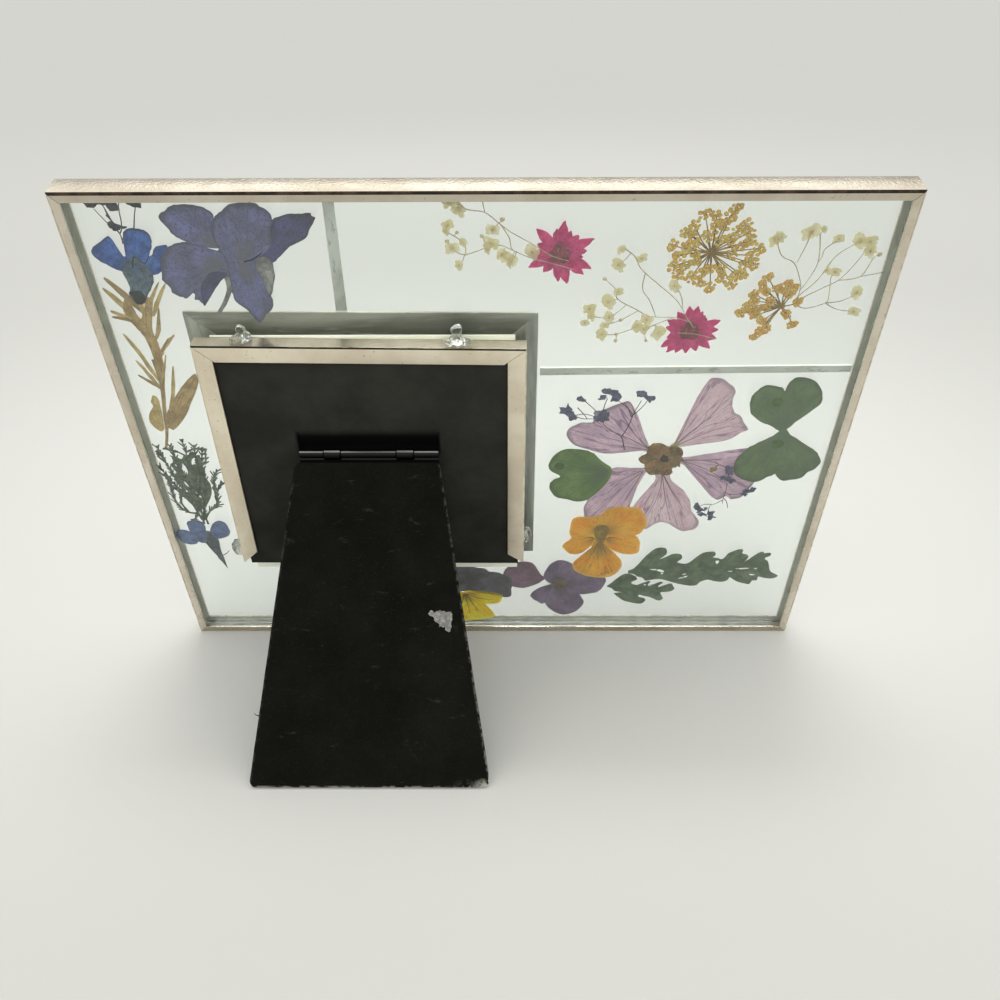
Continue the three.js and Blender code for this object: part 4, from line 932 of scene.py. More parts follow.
class FLOWERFRAME_OT_hinge(bpy.types.Operator):
    """Make the hinge: leaf and knuckles on the board, leaf and barrel on the leg, and the pin"""

    bl_idname = "flowerframe.hinge"
    bl_label = "Hinge"

    BOARD_KNUCKLES = ((-57.6, -52.0), (-32.2, -26.4))
    LEG_KNUCKLES = ((-66.3, -57.9), (-51.7, -32.5), (-26.1, -17.6))
    BOARD_RADIUS, LEG_RADIUS, BORE_RADIUS, PIN_RADIUS = 1.8, 1.45, 0.95, 0.65
    PIN_ENDS = (-66.6, -17.3)
    BOARD_LEAF_N, LEG_LEAF_N = (5.3, 5.8), (PIN_N - 1.1, PIN_N - 0.6)

    def barrel(self, name, radius, ends):
        """A rolled knuckle with softened ends and a bore."""
        knuckle = rod(name, radius, *ends, PIN_V, PIN_N, 48)
        bevel(knuckle, 0.18, 3)
        cut(knuckle, rod("bore", self.BORE_RADIUS, ends[0] - 1, ends[1] + 1, PIN_V, PIN_N))
        return knuckle

    def paint_highlight(self, obj, swing):
        """Painted highlight: a narrow pale line along the knuckles, on the side that faces up and back."""
        wear_and_highlight = obj.data.attributes.new("wear_and_highlight", "FLOAT", "POINT")
        for v, value in zip(obj.data.vertices, wear_and_highlight.data):
            up, out = v.co.y - PIN_V, v.co.z - PIN_N
            if math.hypot(up, out) > 1.3:
                value.value = max(0.0, 1 - abs(math.degrees(math.atan2(up, out)) + swing - HIGHLIGHT_SIDE) / 16)

    def execute(self, context):
        enamel = black_metal_finish()
        flat = Finish("black_leaf", Roughness=0.9, Specular_IOR_Level=0.05)
        flat = flat.give(Base_Color=flat.mix(flat.noise(flat.place(), 500), colour(2, 2, 2), colour(7, 7, 7)))
        near, far = self.BOARD_LEAF_N
        leaf = block("hinge_leaf_board_metal", (-64.8, PIN_V - 10, near), (-19.1, PIN_V - 1.4, far))
        tongues = [block("tongue", (a, PIN_V - 2, near), (b, PIN_V - 0.2, far)) for a, b in self.BOARD_KNUCKLES]
        knuckles = [self.barrel("knuckle", self.BOARD_RADIUS, ends) for ends in self.BOARD_KNUCKLES]
        for piece in tongues + knuckles:
            cut(leaf, piece, "UNION")
        near, far = self.LEG_LEAF_N
        leg_leaf = block("hinge_leaf_leg_metal", (-66.3, PIN_V - 12, near), (-17.6, PIN_V - 2.0, far))
        tabs = [block("tab", (a, PIN_V - 3, near), (b, PIN_V - 0.98, far)) for a,
            b in self.LEG_KNUCKLES]
        barrels = [self.barrel("barrel", self.LEG_RADIUS, ends) for ends in self.LEG_KNUCKLES]
        for piece in tabs + barrels:
            cut(leg_leaf, piece, "UNION")
        pin = rod("hinge_pin_metal", self.PIN_RADIUS, *self.PIN_ENDS, PIN_V, PIN_N, 24)
        bevel(pin, 0.15, 2)
        for obj in (leaf, leg_leaf, pin):
            obj.data.materials.append(enamel)
            obj.data.materials.append(flat)
        for f in leg_leaf.data.polygons:
            f.material_index = int(f.center.y < PIN_V - 1.6)
        self.paint_highlight(leaf, 0.0)
        self.paint_highlight(leg_leaf, math.degrees(OPEN_ANGLE))
        settle(leaf, STANDING, "frame", "hinge_leaf_board")
        settle(pin, STANDING, "frame", "hinge_pin")
        settle(leg_leaf, SWUNG, "leg", "hinge_leaf_leg")
        return {"FINISHED"}


class FLOWERFRAME_OT_easel_leg(bpy.types.Operator):
    """Make the easel leg of black fibre board, with its torn patch, frayed corner, and pale edges that are wear and,
    along the right edge, a painted highlight
    """

    bl_idname = "flowerframe.easel_leg"
    bl_label = "Easel leg"

    TOP_V, FOOT_V = PIN_V - 3.0, PIN_V - 117.8
    TOP_ENDS, FOOT_ENDS = (-67.8, -17.1), (-85.3, 0.6)
    INNER_N = PIN_N - 0.3
    MIDDLE_U = -42
    CORNER_RADII = (2.5, 1.2, 1.8, 1.8)  # the foot's left and right, then the top's
    # how far the cuts that let the board wear are from the foot, closer together near it, and from the slanting edges
    CROSS_CUTS = (0.7, 1.5, 2.4, 3.4, 4.6, 6, 8, 11, 15, 20, 26, 33, 40, 48, 56, 64, 72, 80, 88, 96, 104, 110)
    EDGE_CUTS = (0.4, 0.9, 1.6, 2.6, 4.0, 6.0, 14.0)
    PATCH_AT, PATCH_RISE = (-20.6, 54.2), (-0.3, 0.03)
    # the torn patch's outline from its top left corner
    PATCH = (
        (0, 0.4), (1.6, -0.2), (3.4, 0.5), (5.6, -0.1), (7.4, -0.2), (7.7, -2.6), (7.2, -4.2), (7.4, -5.6),
        (6.4, -7.2), (5.4, -6.3), (4.9, -5.2), (3.4, -5.3), (2.8, -3.9), (1.4, -3.4), (1.2, -1.7), (-0.5, -1.3),
    )
    THREAD_V = 17.0

    def execute(self, context):
        thick = mm(context.scene.flower_frame_sizes.leg_thickness)
        n0, n1 = self.INNER_N, self.INNER_N + thick
        leg = block("easel_leg_board", (-1, self.FOOT_V, n0), (1, self.TOP_V, n1))
        edit(leg)
        for sign, top, foot in zip((-1, 1), self.TOP_ENDS, self.FOOT_ENDS):
            for v, to in ((self.TOP_V, top), (self.FOOT_V, foot)):
                pick(leg, verts=lambda x: close(x.co.x, sign) and close(x.co.y, v))
                bpy.ops.transform.translate(value=(to - sign, 0, 0))
        corners = [(self.FOOT_V, u) for u in self.FOOT_ENDS] + [(self.TOP_V, u) for u in self.TOP_ENDS]
        for (v, u), radius in zip(corners, self.CORNER_RADII):
            pick(leg, edges=lambda e: along(e, 2) and close(middle(e).x, u, 0.05) and close(middle(e).y, v, 0.05))
            soften(radius, 6)
        for rise in self.CROSS_CUTS:
            slice_at((0, self.FOOT_V + rise, 0), (0, 1, 0))
        for top, foot, inward in zip(self.TOP_ENDS, self.FOOT_ENDS, (1, -1)):
            slope = Vector((foot - top, self.FOOT_V - self.TOP_V, 0)).normalized()
            for gap in self.EDGE_CUTS:
                slice_at((top + inward * gap, self.TOP_V, 0), (-slope.y, slope.x, 0))
        done()
        bevel(leg, 0.28, 2)
        for v in leg.data.vertices:
            u, up, n = v.co
            # soft dents along the cut edges, and a bitten corner at the frayed foot
            foot = max(0.0, 1 - (up - self.FOOT_V) / 7) * max(0.0, 1 - (self.FOOT_ENDS[1] - u) / 6)
            nibble = noise.noise(Vector((u * 0.9, up * 0.9, 3))) * 0.5 + 0.5
            v.co.x -= foot * nibble * 1.6
            v.co.y += foot * (1 - nibble) * 1.1
            side = self.edge_gap(u, up)
            if side < 1.2:
                inward = 1 if u < self.MIDDLE_U else -1
                v.co.x += (noise.noise(Vector((u, up * 0.8, 9))) * 0.09 + 0.1) * inward
            v.co.z = min(max(n, n0), n1)
        # how pale the board is: wear at the foot, its frayed corner and the edges, and along the right edge, growing
        # towards the foot, a painted highlight
        wear_and_edge_highlight = leg.data.attributes.new("wear_and_edge_highlight", "FLOAT", "POINT")
        for v, value in zip(leg.data.vertices, wear_and_edge_highlight.data):
            u, up, n = v.co
            side = self.edge_gap(u, up)
            low = (self.TOP_V - up) / (self.TOP_V - self.FOOT_V)
            edge = max(0.0, 1 - side / 0.8) * (0.2 + 0.9 * low * low if u > self.MIDDLE_U
                else 0.16) * (0.35 + 0.65 * (n > n1 - 0.5))
            corner = max(0.0, 1 - (up - self.FOOT_V) / 3.5) * max(0.0, 1 - (self.FOOT_ENDS[1] - u) / 7)
            base = max(0.0, 1 - (up - self.FOOT_V) / 0.6) * 0.6
            value.value = min(1.0, edge * 0.7 + corner * 1.4 + base)
        leg.data.materials.append(board_finish("black_leg_board", True))
        leg.data.materials.append(torn_paper_finish())
        leg = join(leg, self.torn_patch(n1), self.thread())
        settle(leg, SWUNG, "leg", "easel_leg", angle=40)
        return {"FINISHED"}

    def edge_gap(self, u, v):
        """How far a point of the leg is from its nearer slanting edge."""
        left, right = self.edges_at(v)
        return min(u - left, right - u)

    def edges_at(self, v):
        """Where the leg's left and right edges are at a height on it."""
        t = (self.TOP_V - v) / (self.TOP_V - self.FOOT_V)
        return [top + (foot - top) * t for top, foot in zip(self.TOP_ENDS, self.FOOT_ENDS)]

    def torn_patch(self, n):
        """Where the black skin is torn off near the right edge: a ragged pale flake, a hair proud of the face."""
        outline = [tuple(Vector(self.PATCH_AT) + Vector(step)) for step in self.PATCH]
        ragged = torn(curve_through(outline, True, 4), 0.6)
        if area(ragged) < 0:
            ragged.reverse()
        count = len(ragged)
        ends = [tuple(reversed(range(count))), tuple(range(count, 2 * count))]
        walls = [(i, (i + 1) % count, (i + 1) % count + count, i + count) for i in range(count)]
        patch = add("torn_patch", [(u, v, n + rise) for rise in self.PATCH_RISE for u, v in ragged], ends + walls)
        patch.data.materials.append(bpy.data.materials["torn_paper"])
        return patch

    def thread(self):
        """A short loose thread that stands out from the left edge."""
        v = self.THREAD_V
        left, _ = self.edges_at(v)
        bit = Pressing("thread", self.INNER_N + 1.0, 0.0)
        bit.strand([(left + 0.5, v), (left - 0.9, v + 0.2), (left - 1.7, v + 0.9)], 0.42, 0.2, flat=1.0)
        points, faces, *_ = bit.thick
        thread = add("thread", points, faces)
        thread.data.materials.append(bpy.data.materials["black_leg_board"])
        return thread


class FLOWERFRAME_OT_glue_beads(bpy.types.Operator):
    """Make the four clear beads of glue between the photo frame and the glass"""

    bl_idname = "flowerframe.glue_beads"
    bl_label = "Glue beads"

    # each bead is a few blobs run together: place and half sizes along u, v and n
    BEADS = (
        ("top_left", (((-79.0, 157.2, 1.2), (1.5, 1.9, 1.6)), ((-80.0, 155.2, 3.4), (2.4, 1.5, 2.6)),
        ((-77.6, 155.6, 2.6), (1.8, 1.4, 2.2)))),
        ("top_right", (((-9.8, 157.2, 1.2), (1.7, 1.9, 1.6)), ((-9.6, 155.0, 3.6), (2.6, 1.5, 3.0)),
        ((-12.2, 154.6, 4.6), (1.8, 1.0, 1.6)), ((-6.9, 154.8, 4.2), (1.9, 1.1, 1.8)))),
        ("low_left", (((-99.2, 55.6, 1.4), (2.6, 4.4, 1.8)), ((-98.4, 57.0, 3.4), (1.6, 3.2, 2.2)))),
        ("low_right", (((14.2, 62.7, 1.2), (1.5, 3.8, 1.6)), ((13.5, 63.4, 3.0), (1.2, 2.4, 2.2)))),
    )

    def execute(self, context):
        clear = glue_finish()
        for k, (name, blobs) in enumerate(self.BEADS):
            made = []
            for place, sizes in blobs:
                bpy.ops.mesh.primitive_uv_sphere_add(segments=24, ring_count=14, radius=1.0, location=place)
                blob = bpy.context.active_object
                blob.scale = sizes
                bpy.ops.object.transform_apply(location=True, rotation=True, scale=True)
                made.append(blob)
            bead = join(*made)
            bead.name = "glue_bead_" + name + "_clear"
            modify(bead, "REMESH", mode="VOXEL", voxel_size=0.22)
            edit(bead)
            bpy.ops.mesh.vertices_smooth(factor=0.5, repeat=4)
            # flat where it lies on the glass
            slice_at((0, 0, 0.02), (0, 0, 1), use_fill=True, clear_inner=True)
            done()
            for p in bead.data.vertices:
                lump = noise.noise(p.co * 0.55 + Vector((k * 5.0, 2, 7)))
                if p.co.z > 0.1:
                    p.co += p.normal * (0.55 * lump + 0.3 * noise.noise(p.co * 1.3))
                    p.co.z = max(p.co.z, 0.05)
            bead.data.materials.append(clear)
            settle(bead, STANDING, "frame", "glue_bead_" + name, angle=60)
        return {"FINISHED"}


# ---- blue flowers -------------------------------------------------------------------------------------------------
class FLOWERFRAME_OT_blue_flowers(bpy.types.Operator):
    """Make the bud sprig, the lobelia, the delphinium and the small blue bloom"""

    bl_idname = "flowerframe.blue_flowers"
    bl_label = "Blue flowers"

    def execute(self, context):
        self.bud_sprig()
        self.lobelia()
        self.delphinium()
        self.small_bloom()
        return {"FINISHED"}

    def bud_sprig(self):
        p = Pressing("bud_sprig_pressed", FRONT_SHEET, 0.06)
        for line in (
            [(-110.5, 185), (-110.6, 188.5), (-113, 191.5), (-116, 196.5)],
            [(-110.6, 188.5), (-111.6, 192), (-112.8, 196.8), (-113.4, 198)],
            [(-110.6, 188.5), (-112.4, 194), (-112.8, 197)],
            [(-110.4, 188.5), (-109.2, 191), (-108.4, 197.5), (-107, 199)],
            [(-105.8, 190), (-104.6, 194), (-103.5, 197)],
            [(-110.4, 186.5), (-107, 188.5), (-105.8, 190)],
            [(-113, 194.6), (-110.5, 190.2)],
        ):
            p.strand(line, 0.42, 0.26)
        for k, (u, v, r, s) in enumerate(
            ((-116.4, 198.6, 2.0, 0.85), (-113.5, 199.3, 1.8, 0.8), (-110.2, 197.4, 1.5, 1.1),
            (-107.0, 199.6, 1.9, 0.75), (-103.7, 199.0, 2.1, 1.0), (-112.3, 191.2, 1.1, 1.0),
            (-111.2, 190.6, 1.3, 0.8), (-108.6, 190.4, 0.6, 0.7))
        ):
            p.pad((u, v), 1.18 * r, 0, 0.0, 0.22, 14, 0.28, k + 1, s)
        p.build([plain_plant_finish("slate_bud", (78, 82, 88), (52, 55, 58), (96, 98, 108))],
            "bud_sprig")

    def lobelia(self):
        blue = petal_finish("lobelia_blue", (100, 140, 206), (70, 98, 158), (52, 66, 104), (78, 96, 126),
            (70, 118, 150), veins=6, vein_share=0.35, mottle=260, heart_reach=0.35, glow=0.45)
        teal = petal_finish("lobelia_tube", (116, 136, 152), (82, 98, 110), (54, 62, 70), (74, 82, 82),
            (76, 118, 150), veins=5, vein_share=0.5, mottle=240, heart_reach=0.3, glow=0.25)
        p = Pressing("lobelia_bloom_pressed", MIDDLE_SHEET, 0.1)
        p.petal([(-120.5, 183.4), (-120.3, 181), (-117.5, 178.3), (-113.3, 175.7), (-110, 176.2), (-109.8, 180.5),
            (-112.3, 181.2), (-112.6, 182.4), (-113, 185.5), (-114.2, 187.9), (-117, 186)], (-110.5, 178.3), 0, 0.0)
        p.petal([(-110.5, 178), (-110.2, 184), (-109.5, 188.4), (-108, 190.2), (-105.9, 190.5), (-103.5, 190.2),
            (-101.8, 189), (-101.3, 187), (-101.8, 184.2), (-103.2, 181.8), (-104.6, 179.5), (-107, 177.5)],
            (-107.8, 178.6), 0, 0.04)
        p.petal([(-102.4, 181.5), (-101, 184), (-98.5, 184.8), (-97, 184.5), (-99.2, 181), (-100.5, 178.5),
            (-101.2, 175.5), (-104.5, 174.4), (-106.5, 177), (-104.6, 180.3)], (-103.9, 177.8), 0, -0.03)
        p.petal([(-113.2, 176.6), (-112.5, 171.5), (-112.3, 168.4), (-113.3, 167.5), (-112, 164.5), (-110.8, 164),
            (-109, 164.6), (-107.5, 167), (-105, 170.5), (-103.8, 174.5), (-105.2, 178), (-108, 181),
            (-110.6, 179.4)], (-109.2, 177.6), 1, 0.07, 10)
        p.petal([(-113.4, 168.2), (-112.3, 167), (-112, 164.5), (-110.8, 163.9), (-109, 164.6), (-108.2, 166.4),
            (-109.2, 168.6), (-111, 168.9)], (-110.6, 166.8), 2, 0.1, 4)
        p.strand([(-109.5, 177), (-108, 181), (-105.5, 178.6), (-103.4, 181.3)], 0.4, 0.2, 2, 0.14)
        p.build([blue, teal, plain_plant_finish("lobelia_base", (52, 58, 58), (38, 42, 42))],
            "lobelia_bloom")

    def delphinium(self):
        face = petal_finish("delphinium_face", (134, 136, 184), (112, 115, 138), (84, 87, 104), (98, 102, 116),
            (120, 120, 128), veins=10, vein_share=0.35, mottle=150, heart_reach=0.5, edge_from=0.86, streak=0.45,
            grain=0.75)
        deep = petal_finish("delphinium_deep", (100, 102, 146), (84, 86, 110), (62, 64, 80), (82, 86, 100), veins=8,
            vein_share=0.35, mottle=150, streak=0.4, grain=0.6)
        spur = petal_finish("delphinium_spur", (168, 168, 162), (128, 128, 126), (92, 92, 94), (104, 104, 106),
            veins=5, vein_share=0.4, mottle=420)
        p = Pressing("delphinium_bloom_pressed", BACK_SHEET, 0.11)
        p.petal([(-97.2, 194.4), (-95, 196.3), (-92.5, 197.8), (-89.5, 198.3), (-86, 198.2), (-83, 197.2),
            (-80.8, 195.2), (-81.5, 190), (-80.5, 186), (-80.8, 183.9), (-84.8, 184.2), (-87.5, 184.8),
            (-91.5, 186.5), (-94, 188.4), (-95.2, 190.8)], (-81.6, 184.6), 0, -0.03, 12)
        p.petal([(-81.3, 193), (-80.3, 194.5), (-78, 196.3), (-75.5, 198.2), (-72, 198.9), (-69, 198.9),
            (-66.9, 198.4), (-66.5, 197.6), (-65.2, 197), (-63.6, 195.2), (-63.6, 192.8), (-64.5, 190), (-65, 185),
            (-67.5, 182.2), (-70, 181), (-73.5, 179.5), (-77, 179), (-79.6, 179), (-81, 183), (-82.3, 187.5),
            (-82.4, 190.5)], (-74.6, 180), 0, 0.08, 13)
        p.petal([(-63.8, 192.8), (-61.5, 194.2), (-58.5, 195.2), (-55.5, 195.2), (-52, 195.5), (-51.5, 194.5),
            (-50.5, 193.8), (-52.3, 191), (-54.3, 187.2), (-57.5, 186), (-60, 184.3), (-63, 181.2), (-65.5, 179),
            (-67.5, 179), (-69.5, 181.5), (-66, 186)], (-67.3, 180.6), 1, 0.0, 12)
        p.petal([(-96.5, 184.5), (-93.5, 185.8), (-91.5, 186.2), (-88.5, 185.5), (-85, 184.2), (-80.5, 182.2),
            (-79.9, 178.5), (-80.2, 175.5), (-82.6, 175), (-86.5, 170.5), (-90, 164.6), (-91.4, 165.6), (-92.7, 166),
            (-92.2, 167.8), (-93.5, 168.5), (-95, 166.5), (-97, 167), (-99.2, 168.3), (-99.5, 170.3), (-101.3, 173.2),
            (-100.8, 175), (-100.5, 178), (-99.3, 181.5)], (-81.2, 178.6), 0, 0.03, 13)
        p.petal([(-80.6, 175.2), (-85, 175.9), (-88, 173.2), (-90, 169.5), (-90.4, 165), (-90, 163.5), (-88, 166.4),
            (-86.5, 168.5), (-83, 172.5)], (-82, 174.4), 1, 0.09, 7)
        p.petal([(-80, 178), (-77, 179.2), (-73, 180), (-71, 179.2), (-70.5, 175), (-69, 170.5), (-68, 163.5),
            (-71, 160.2), (-73.5, 157), (-75.5, 160), (-77, 162.3), (-79.8, 165.2), (-80.3, 168.8), (-80.2, 173)],
            (-74.6, 179.2), 0, 0.0, 13)
        p.petal([(-71, 178.5), (-68.6, 181.2), (-66, 179.6), (-65.8, 176), (-65.7, 174.5), (-67, 170.5),
            (-68.5, 167.2), (-69.6, 171)], (-69.4, 178.4), 2, 0.05, 7)
        p.petal([(-83, 181.5), (-80.4, 184), (-76, 182), (-70, 182), (-66.4, 180.8), (-66.4, 176.4), (-70, 174.6),
            (-76, 174), (-80.6, 173.6), (-82.6, 176.4)], (-75, 178), 0, -0.09, 6)
        p.strand([(-80.9, 174), (-81, 169.6), (-83.4, 164.6), (-86.2, 160.8)], 1.9, 1.1, 2, -0.04, flat=0.2)
        for k in range(7):
            a = 0.5 * k
            p.strand([(-68.3 + 0.25 * k, 176.2), (-68 + 0.22 * k, 173.6 - 0.2 * math.sin(a * 3)),
                (-67.8 + 0.12 * k, 171.2 - 0.3 * math.cos(a * 5))], 0.2, 0.08, 3, 0.12, sides=4)
        p.strand([(-74.5, 179.4), (-71.5, 180.3), (-68.5, 182.4)], 0.5, 0.3, 4, 0.16)
        fuzz = plain_plant_finish("pale_fuzz", (196, 196, 190), (160, 160, 156))
        seam = plain_plant_finish("dark_fold", (44, 44, 50), (34, 34, 38))
        p.build([face, deep, spur, fuzz, seam], "delphinium_bloom")

    def small_bloom(self):
        face = petal_finish("small_bloom_face", (128, 150, 194), (100, 118, 154), (78, 84, 116), (106, 112, 142),
            (92, 102, 130), veins=6, vein_share=0.3, mottle=260, glow=0.4)
        tube = petal_finish("small_bloom_tube", (106, 118, 122), (76, 86, 88), (52, 54, 58), None, None, veins=4,
            vein_share=0.4, mottle=380)
        p = Pressing("small_blue_bloom_pressed", BACK_SHEET, 0.09)
        p.petal([(-124.4, 58.8), (-123.4, 60.5), (-121.5, 61), (-119, 60.2), (-117.8, 58), (-116.8, 54),
            (-118.5, 52.5), (-121.5, 52.8), (-124, 55.5)], (-117.6, 54.6), 0, 0.0)
        p.petal([(-118.8, 63.5), (-118.5, 65.3), (-116.5, 66.2), (-114, 66.3), (-112.3, 64.8), (-112, 61.5),
            (-112.5, 57), (-113.5, 53.6), (-116.6, 54.2), (-118.4, 59)], (-115, 54.8), 0, 0.05)
        p.petal([(-118, 53.9), (-115.5, 54.6), (-113.8, 53.4), (-112.5, 49.6), (-111, 46), (-109.5, 42.8),
            (-108.1, 38.8), (-108.2, 43), (-108.5, 50), (-108.3, 55), (-109.5, 58), (-111.5, 60.5), (-113.4, 58),
            (-115.4, 56)], (-111.8, 55.4), 1, 0.02)
        p.petal([(-110.6, 59.5), (-109.7, 62.5), (-108.8, 64.2), (-106.5, 65.8), (-105, 65.8), (-103.5, 64.2),
            (-102.8, 61), (-102.8, 59.5), (-104.3, 57.3), (-107, 56), (-109.2, 56.3)], (-109.2, 57.6), 0, 0.07)
        p.strand([(-109.2, 46.2), (-107.4, 46.6), (-105.2, 48.9)], 0.5, 0.25, 1)
        p.strand([(-110.4, 44.8), (-109, 41.5), (-108, 38.2)], 0.9, 0.35, 1)
        p.build([face, tube], "small_blue_bloom")


# ---- dried stalk and ferny foliage --------------------------------------------------------------------------------
class FLOWERFRAME_OT_stalk_and_foliage(bpy.types.Operator):
    """Make the straw-coloured stalk and the ferny foliage"""

    bl_idname = "flowerframe.stalk_and_foliage"
    bl_label = "Dried stalk and foliage"

    # narrow leaves of the stalk: base, a point on the way and tip, then greatest width
    LEAVES = (
        ((-110.5, 160), (-115, 167), (-119.8, 173.2), 2.3), ((-112.5, 157), (-116.5, 163), (-121.3, 169.5), 2.2),
        ((-111.5, 155), (-116, 158.2), (-121.2, 161.2), 1.8),
        ((-112, 155.6), (-117, 158), (-121.3, 158.8), 1.3), ((-108, 159), (-104.8, 165), (-101, 171.2), 1.5),
        ((-109, 160), (-106.6, 166), (-102.9, 171.8), 1.1),
        ((-110, 149.5), (-107.6, 153.5), (-105.4, 162.2), 1.3), ((-112.6, 133), (-116.6, 145.6), (-119.6, 152.3),
        1.5), ((-112.8, 130), (-115.6, 136.4), (-118.2, 141.7), 1.2),
        ((-112.6, 129.4), (-115.6, 132.6), (-119.2, 135.6), 1.3), ((-112.8, 129.6), (-114.8, 133.6), (-116.6, 137.6),
        1.0), ((-109.6, 143.5), (-107, 147.4), (-102.8, 151.9), 1.5),
        ((-110.6, 141), (-107.9, 146), (-105.2, 150.4), 1.0), ((-112, 120), (-109, 128.4), (-106.4, 139), 1.3),
        ((-112.6, 131), (-110, 137), (-107.6, 144), 1.0),
        ((-114.3, 112), (-108.6, 121), (-99.2, 135.6), 6.2), ((-110.5, 158), (-110.8, 164), (-109.2, 169.5), 1.6),
    )

    def blade(self, p, base, bend, tip, width, finish, lift):
        line = curve_through([base, bend, tip], False, 4)
        left, right = [], []
        for k, (u, v) in enumerate(line):
            t = k / (len(line) - 1)
            a, b = line[max(k - 1, 0)], line[min(k + 1, len(line) - 1)]
            way = Vector((b[0] - a[0], b[1] - a[1])).normalized()
            w = width / 2 * max(0.12, math.sin(math.pi * (0.14 + 0.8 * t)) ** 0.8)
            left.append((u - way.y * w, v + way.x * w))
            right.append((u + way.y * w, v - way.x * w))
        p.petal(left + right[::-1], line[1], finish, lift, 5, 1)

    def execute(self, context):
        straw = petal_finish("straw_blade", (228, 212, 158), (196, 176, 120), (164, 144, 96), (198, 180, 134),
            veins=5, vein_share=0.5, mottle=220, glow=0.5, streak=0.6)
        brown = petal_finish("straw_stem", (208, 184, 132), (166, 142, 96), (140, 118, 80), None, None, veins=4,
            vein_share=0.5, mottle=160, glow=0.35, streak=0.7)
        p = Pressing("dried_stalk_pressed", FRONT_SHEET, 0.08)
        p.petal([(-117, 161), (-114.8, 155), (-113.5, 152.5), (-112.5, 148.5), (-112, 141), (-113, 131),
            (-111.2, 131), (-109.2, 140), (-109, 148), (-109.5, 153), (-108.5, 160), (-106.4, 165.2), (-108.6, 166),
            (-110.6, 160.5), (-112.6, 158), (-113.6, 161), (-114.6, 166.5)], (-110.9, 150), 1, 0.0, 9)
        p.strand([(-112, 142), (-112.1, 131), (-114, 120), (-115.6, 110), (-117.9, 101.9)], 1.9, 0.9, 1, 0.02,
            flat=0.25)
        for k, (base, bend, tip, width) in enumerate(self.LEAVES):
            self.blade(p, base, bend, tip, width, 0 if k % 3 else 1, 0.015 * (k % 5) - 0.03)
        p.petal([(-116.5, 126.7), (-117.8, 124), (-117, 122.5), (-119, 120), (-120.5, 116), (-119.5, 112.5),
            (-117.5, 110.5), (-116, 112), (-115.2, 117), (-114.9, 121), (-115, 125.5)], (-115.8, 116), 0, 0.03)
        p.build([straw, brown], "dried_stalk")
        self.foliage()
        return {"FINISHED"}

    # branches of the foliage, from the foot outwards
    BRANCHES = (
        ((-112.2, 63.6), (-111.6, 74), (-110.7, 88), (-110.9, 107.4)), ((-111.6, 66), (-110, 74), (-107.2, 84),
        (-106.2, 95), (-104.4, 102.6)),
        ((-111.4, 66), (-108, 71.4), (-104.4, 74.6), (-103.6, 81), (-100.6, 85.6)),
        ((-104.6, 76), (-104.2, 82), (-103.2, 88.4), (-101.2, 92)),
        ((-112.4, 66), (-114.6, 76), (-117.2, 87), (-119.4, 96), (-120.6, 104.4)),
        ((-113.4, 69.6), (-117.4, 70.6), (-120.4, 76), (-120.4, 87), (-122.2, 94.6)),
        ((-112.2, 70), (-113.2, 84), (-115.0, 95), (-115.7, 104.4)), ((-110.6, 80), (-107.8, 90), (-107.8, 98),
        (-107.1, 104.6)), ((-113, 72), (-116.6, 79), (-118.4, 84.5), (-121.2, 90)),
        ((-116.6, 70), (-118.4, 75), (-117.6, 80), (-119.8, 83.6)), ((-106.2, 95), (-104.6, 96), (-103.4, 103)),
        ((-119.4, 96), (-121.2, 99), (-121, 102)),
        ((-117, 66), (-115, 66.6), (-113.8, 69.6), (-111.6, 74)), ((-110.6, 63.6), (-110.8, 68), (-110, 73)),
        ((-110.9, 99), (-114, 101.4), (-118.6, 103)), ((-110.9, 101), (-107.4, 102.6), (-104.2, 102.6)),
    )

    def foliage(self):
        green = plain_plant_finish("foliage_green", (98, 114, 88), (70, 84, 64), (114, 130, 100), 240, 700)
        p = Pressing("ferny_foliage_pressed", MIDDLE_SHEET, 0.1)
        outline = [
            (-112, 71.5), (-114.6, 75), (-116.4, 80), (-116.8, 85), (-117.6, 88.4), (-116.6, 91), (-118, 95),
            (-116.4, 96.2), (-116.6, 99.4), (-113.2, 97.6), (-112, 99.6), (-110.4, 99.4), (-109, 101.6),
            (-107.8, 99.4), (-106, 99.6), (-106.6, 95), (-105.6, 92), (-106.4, 89), (-105.2, 85), (-105.8, 80),
            (-108, 75.4), (-110.2, 72.4),
        ]
        holes = [
            [(-113.3, 95.5), (-112.2, 92), (-113, 89.8), (-114.6, 90.8), (-114.7, 93)],
            [(-107.6, 98.4), (-108.3, 95.2), (-110, 94.9), (-109.3, 97.5)], [(-116, 94), (-115.2, 95), (-116.2, 96)],
            [(-114.8, 86.8), (-113.3, 85), (-113.6, 83.6), (-114.6, 84.8)],
            [(-112, 81), (-110.1, 78.5), (-110.7, 78.2)], [(-115.8, 83.4), (-114.6, 81.2), (-115.3, 81.1)],
            [(-115.6, 79.4), (-114.6, 77), (-114.2, 76.8)],
        ]
        p.leaf(outline, 0, 0.0, holes, 1.1, 2)
        for k, branch in enumerate(self.BRANCHES):
            p.strand(branch, 0.95, 0.5, k % 2, 0.03 * (k % 3), flat=0.3)
            path = curve_through(branch, False, 8)
            gone = 0.0
            for i in range(1, len(path) - 1):
                here, last = Vector(path[i]), Vector(path[i - 1])
                gone += (here - last).length
                if gone < 1.15 or i < 7:
                    continue
                gone = 0.0
                way = (here - last).normalized()
                for side in (-1, 1):
                    turn = side * (0.5 + 0.16 * math.sin(i * 2.9 + k))
                    out = Vector((way.x * math.cos(turn) - way.y * math.sin(turn),
                        way.x * math.sin(turn) + way.y * math.cos(turn)))
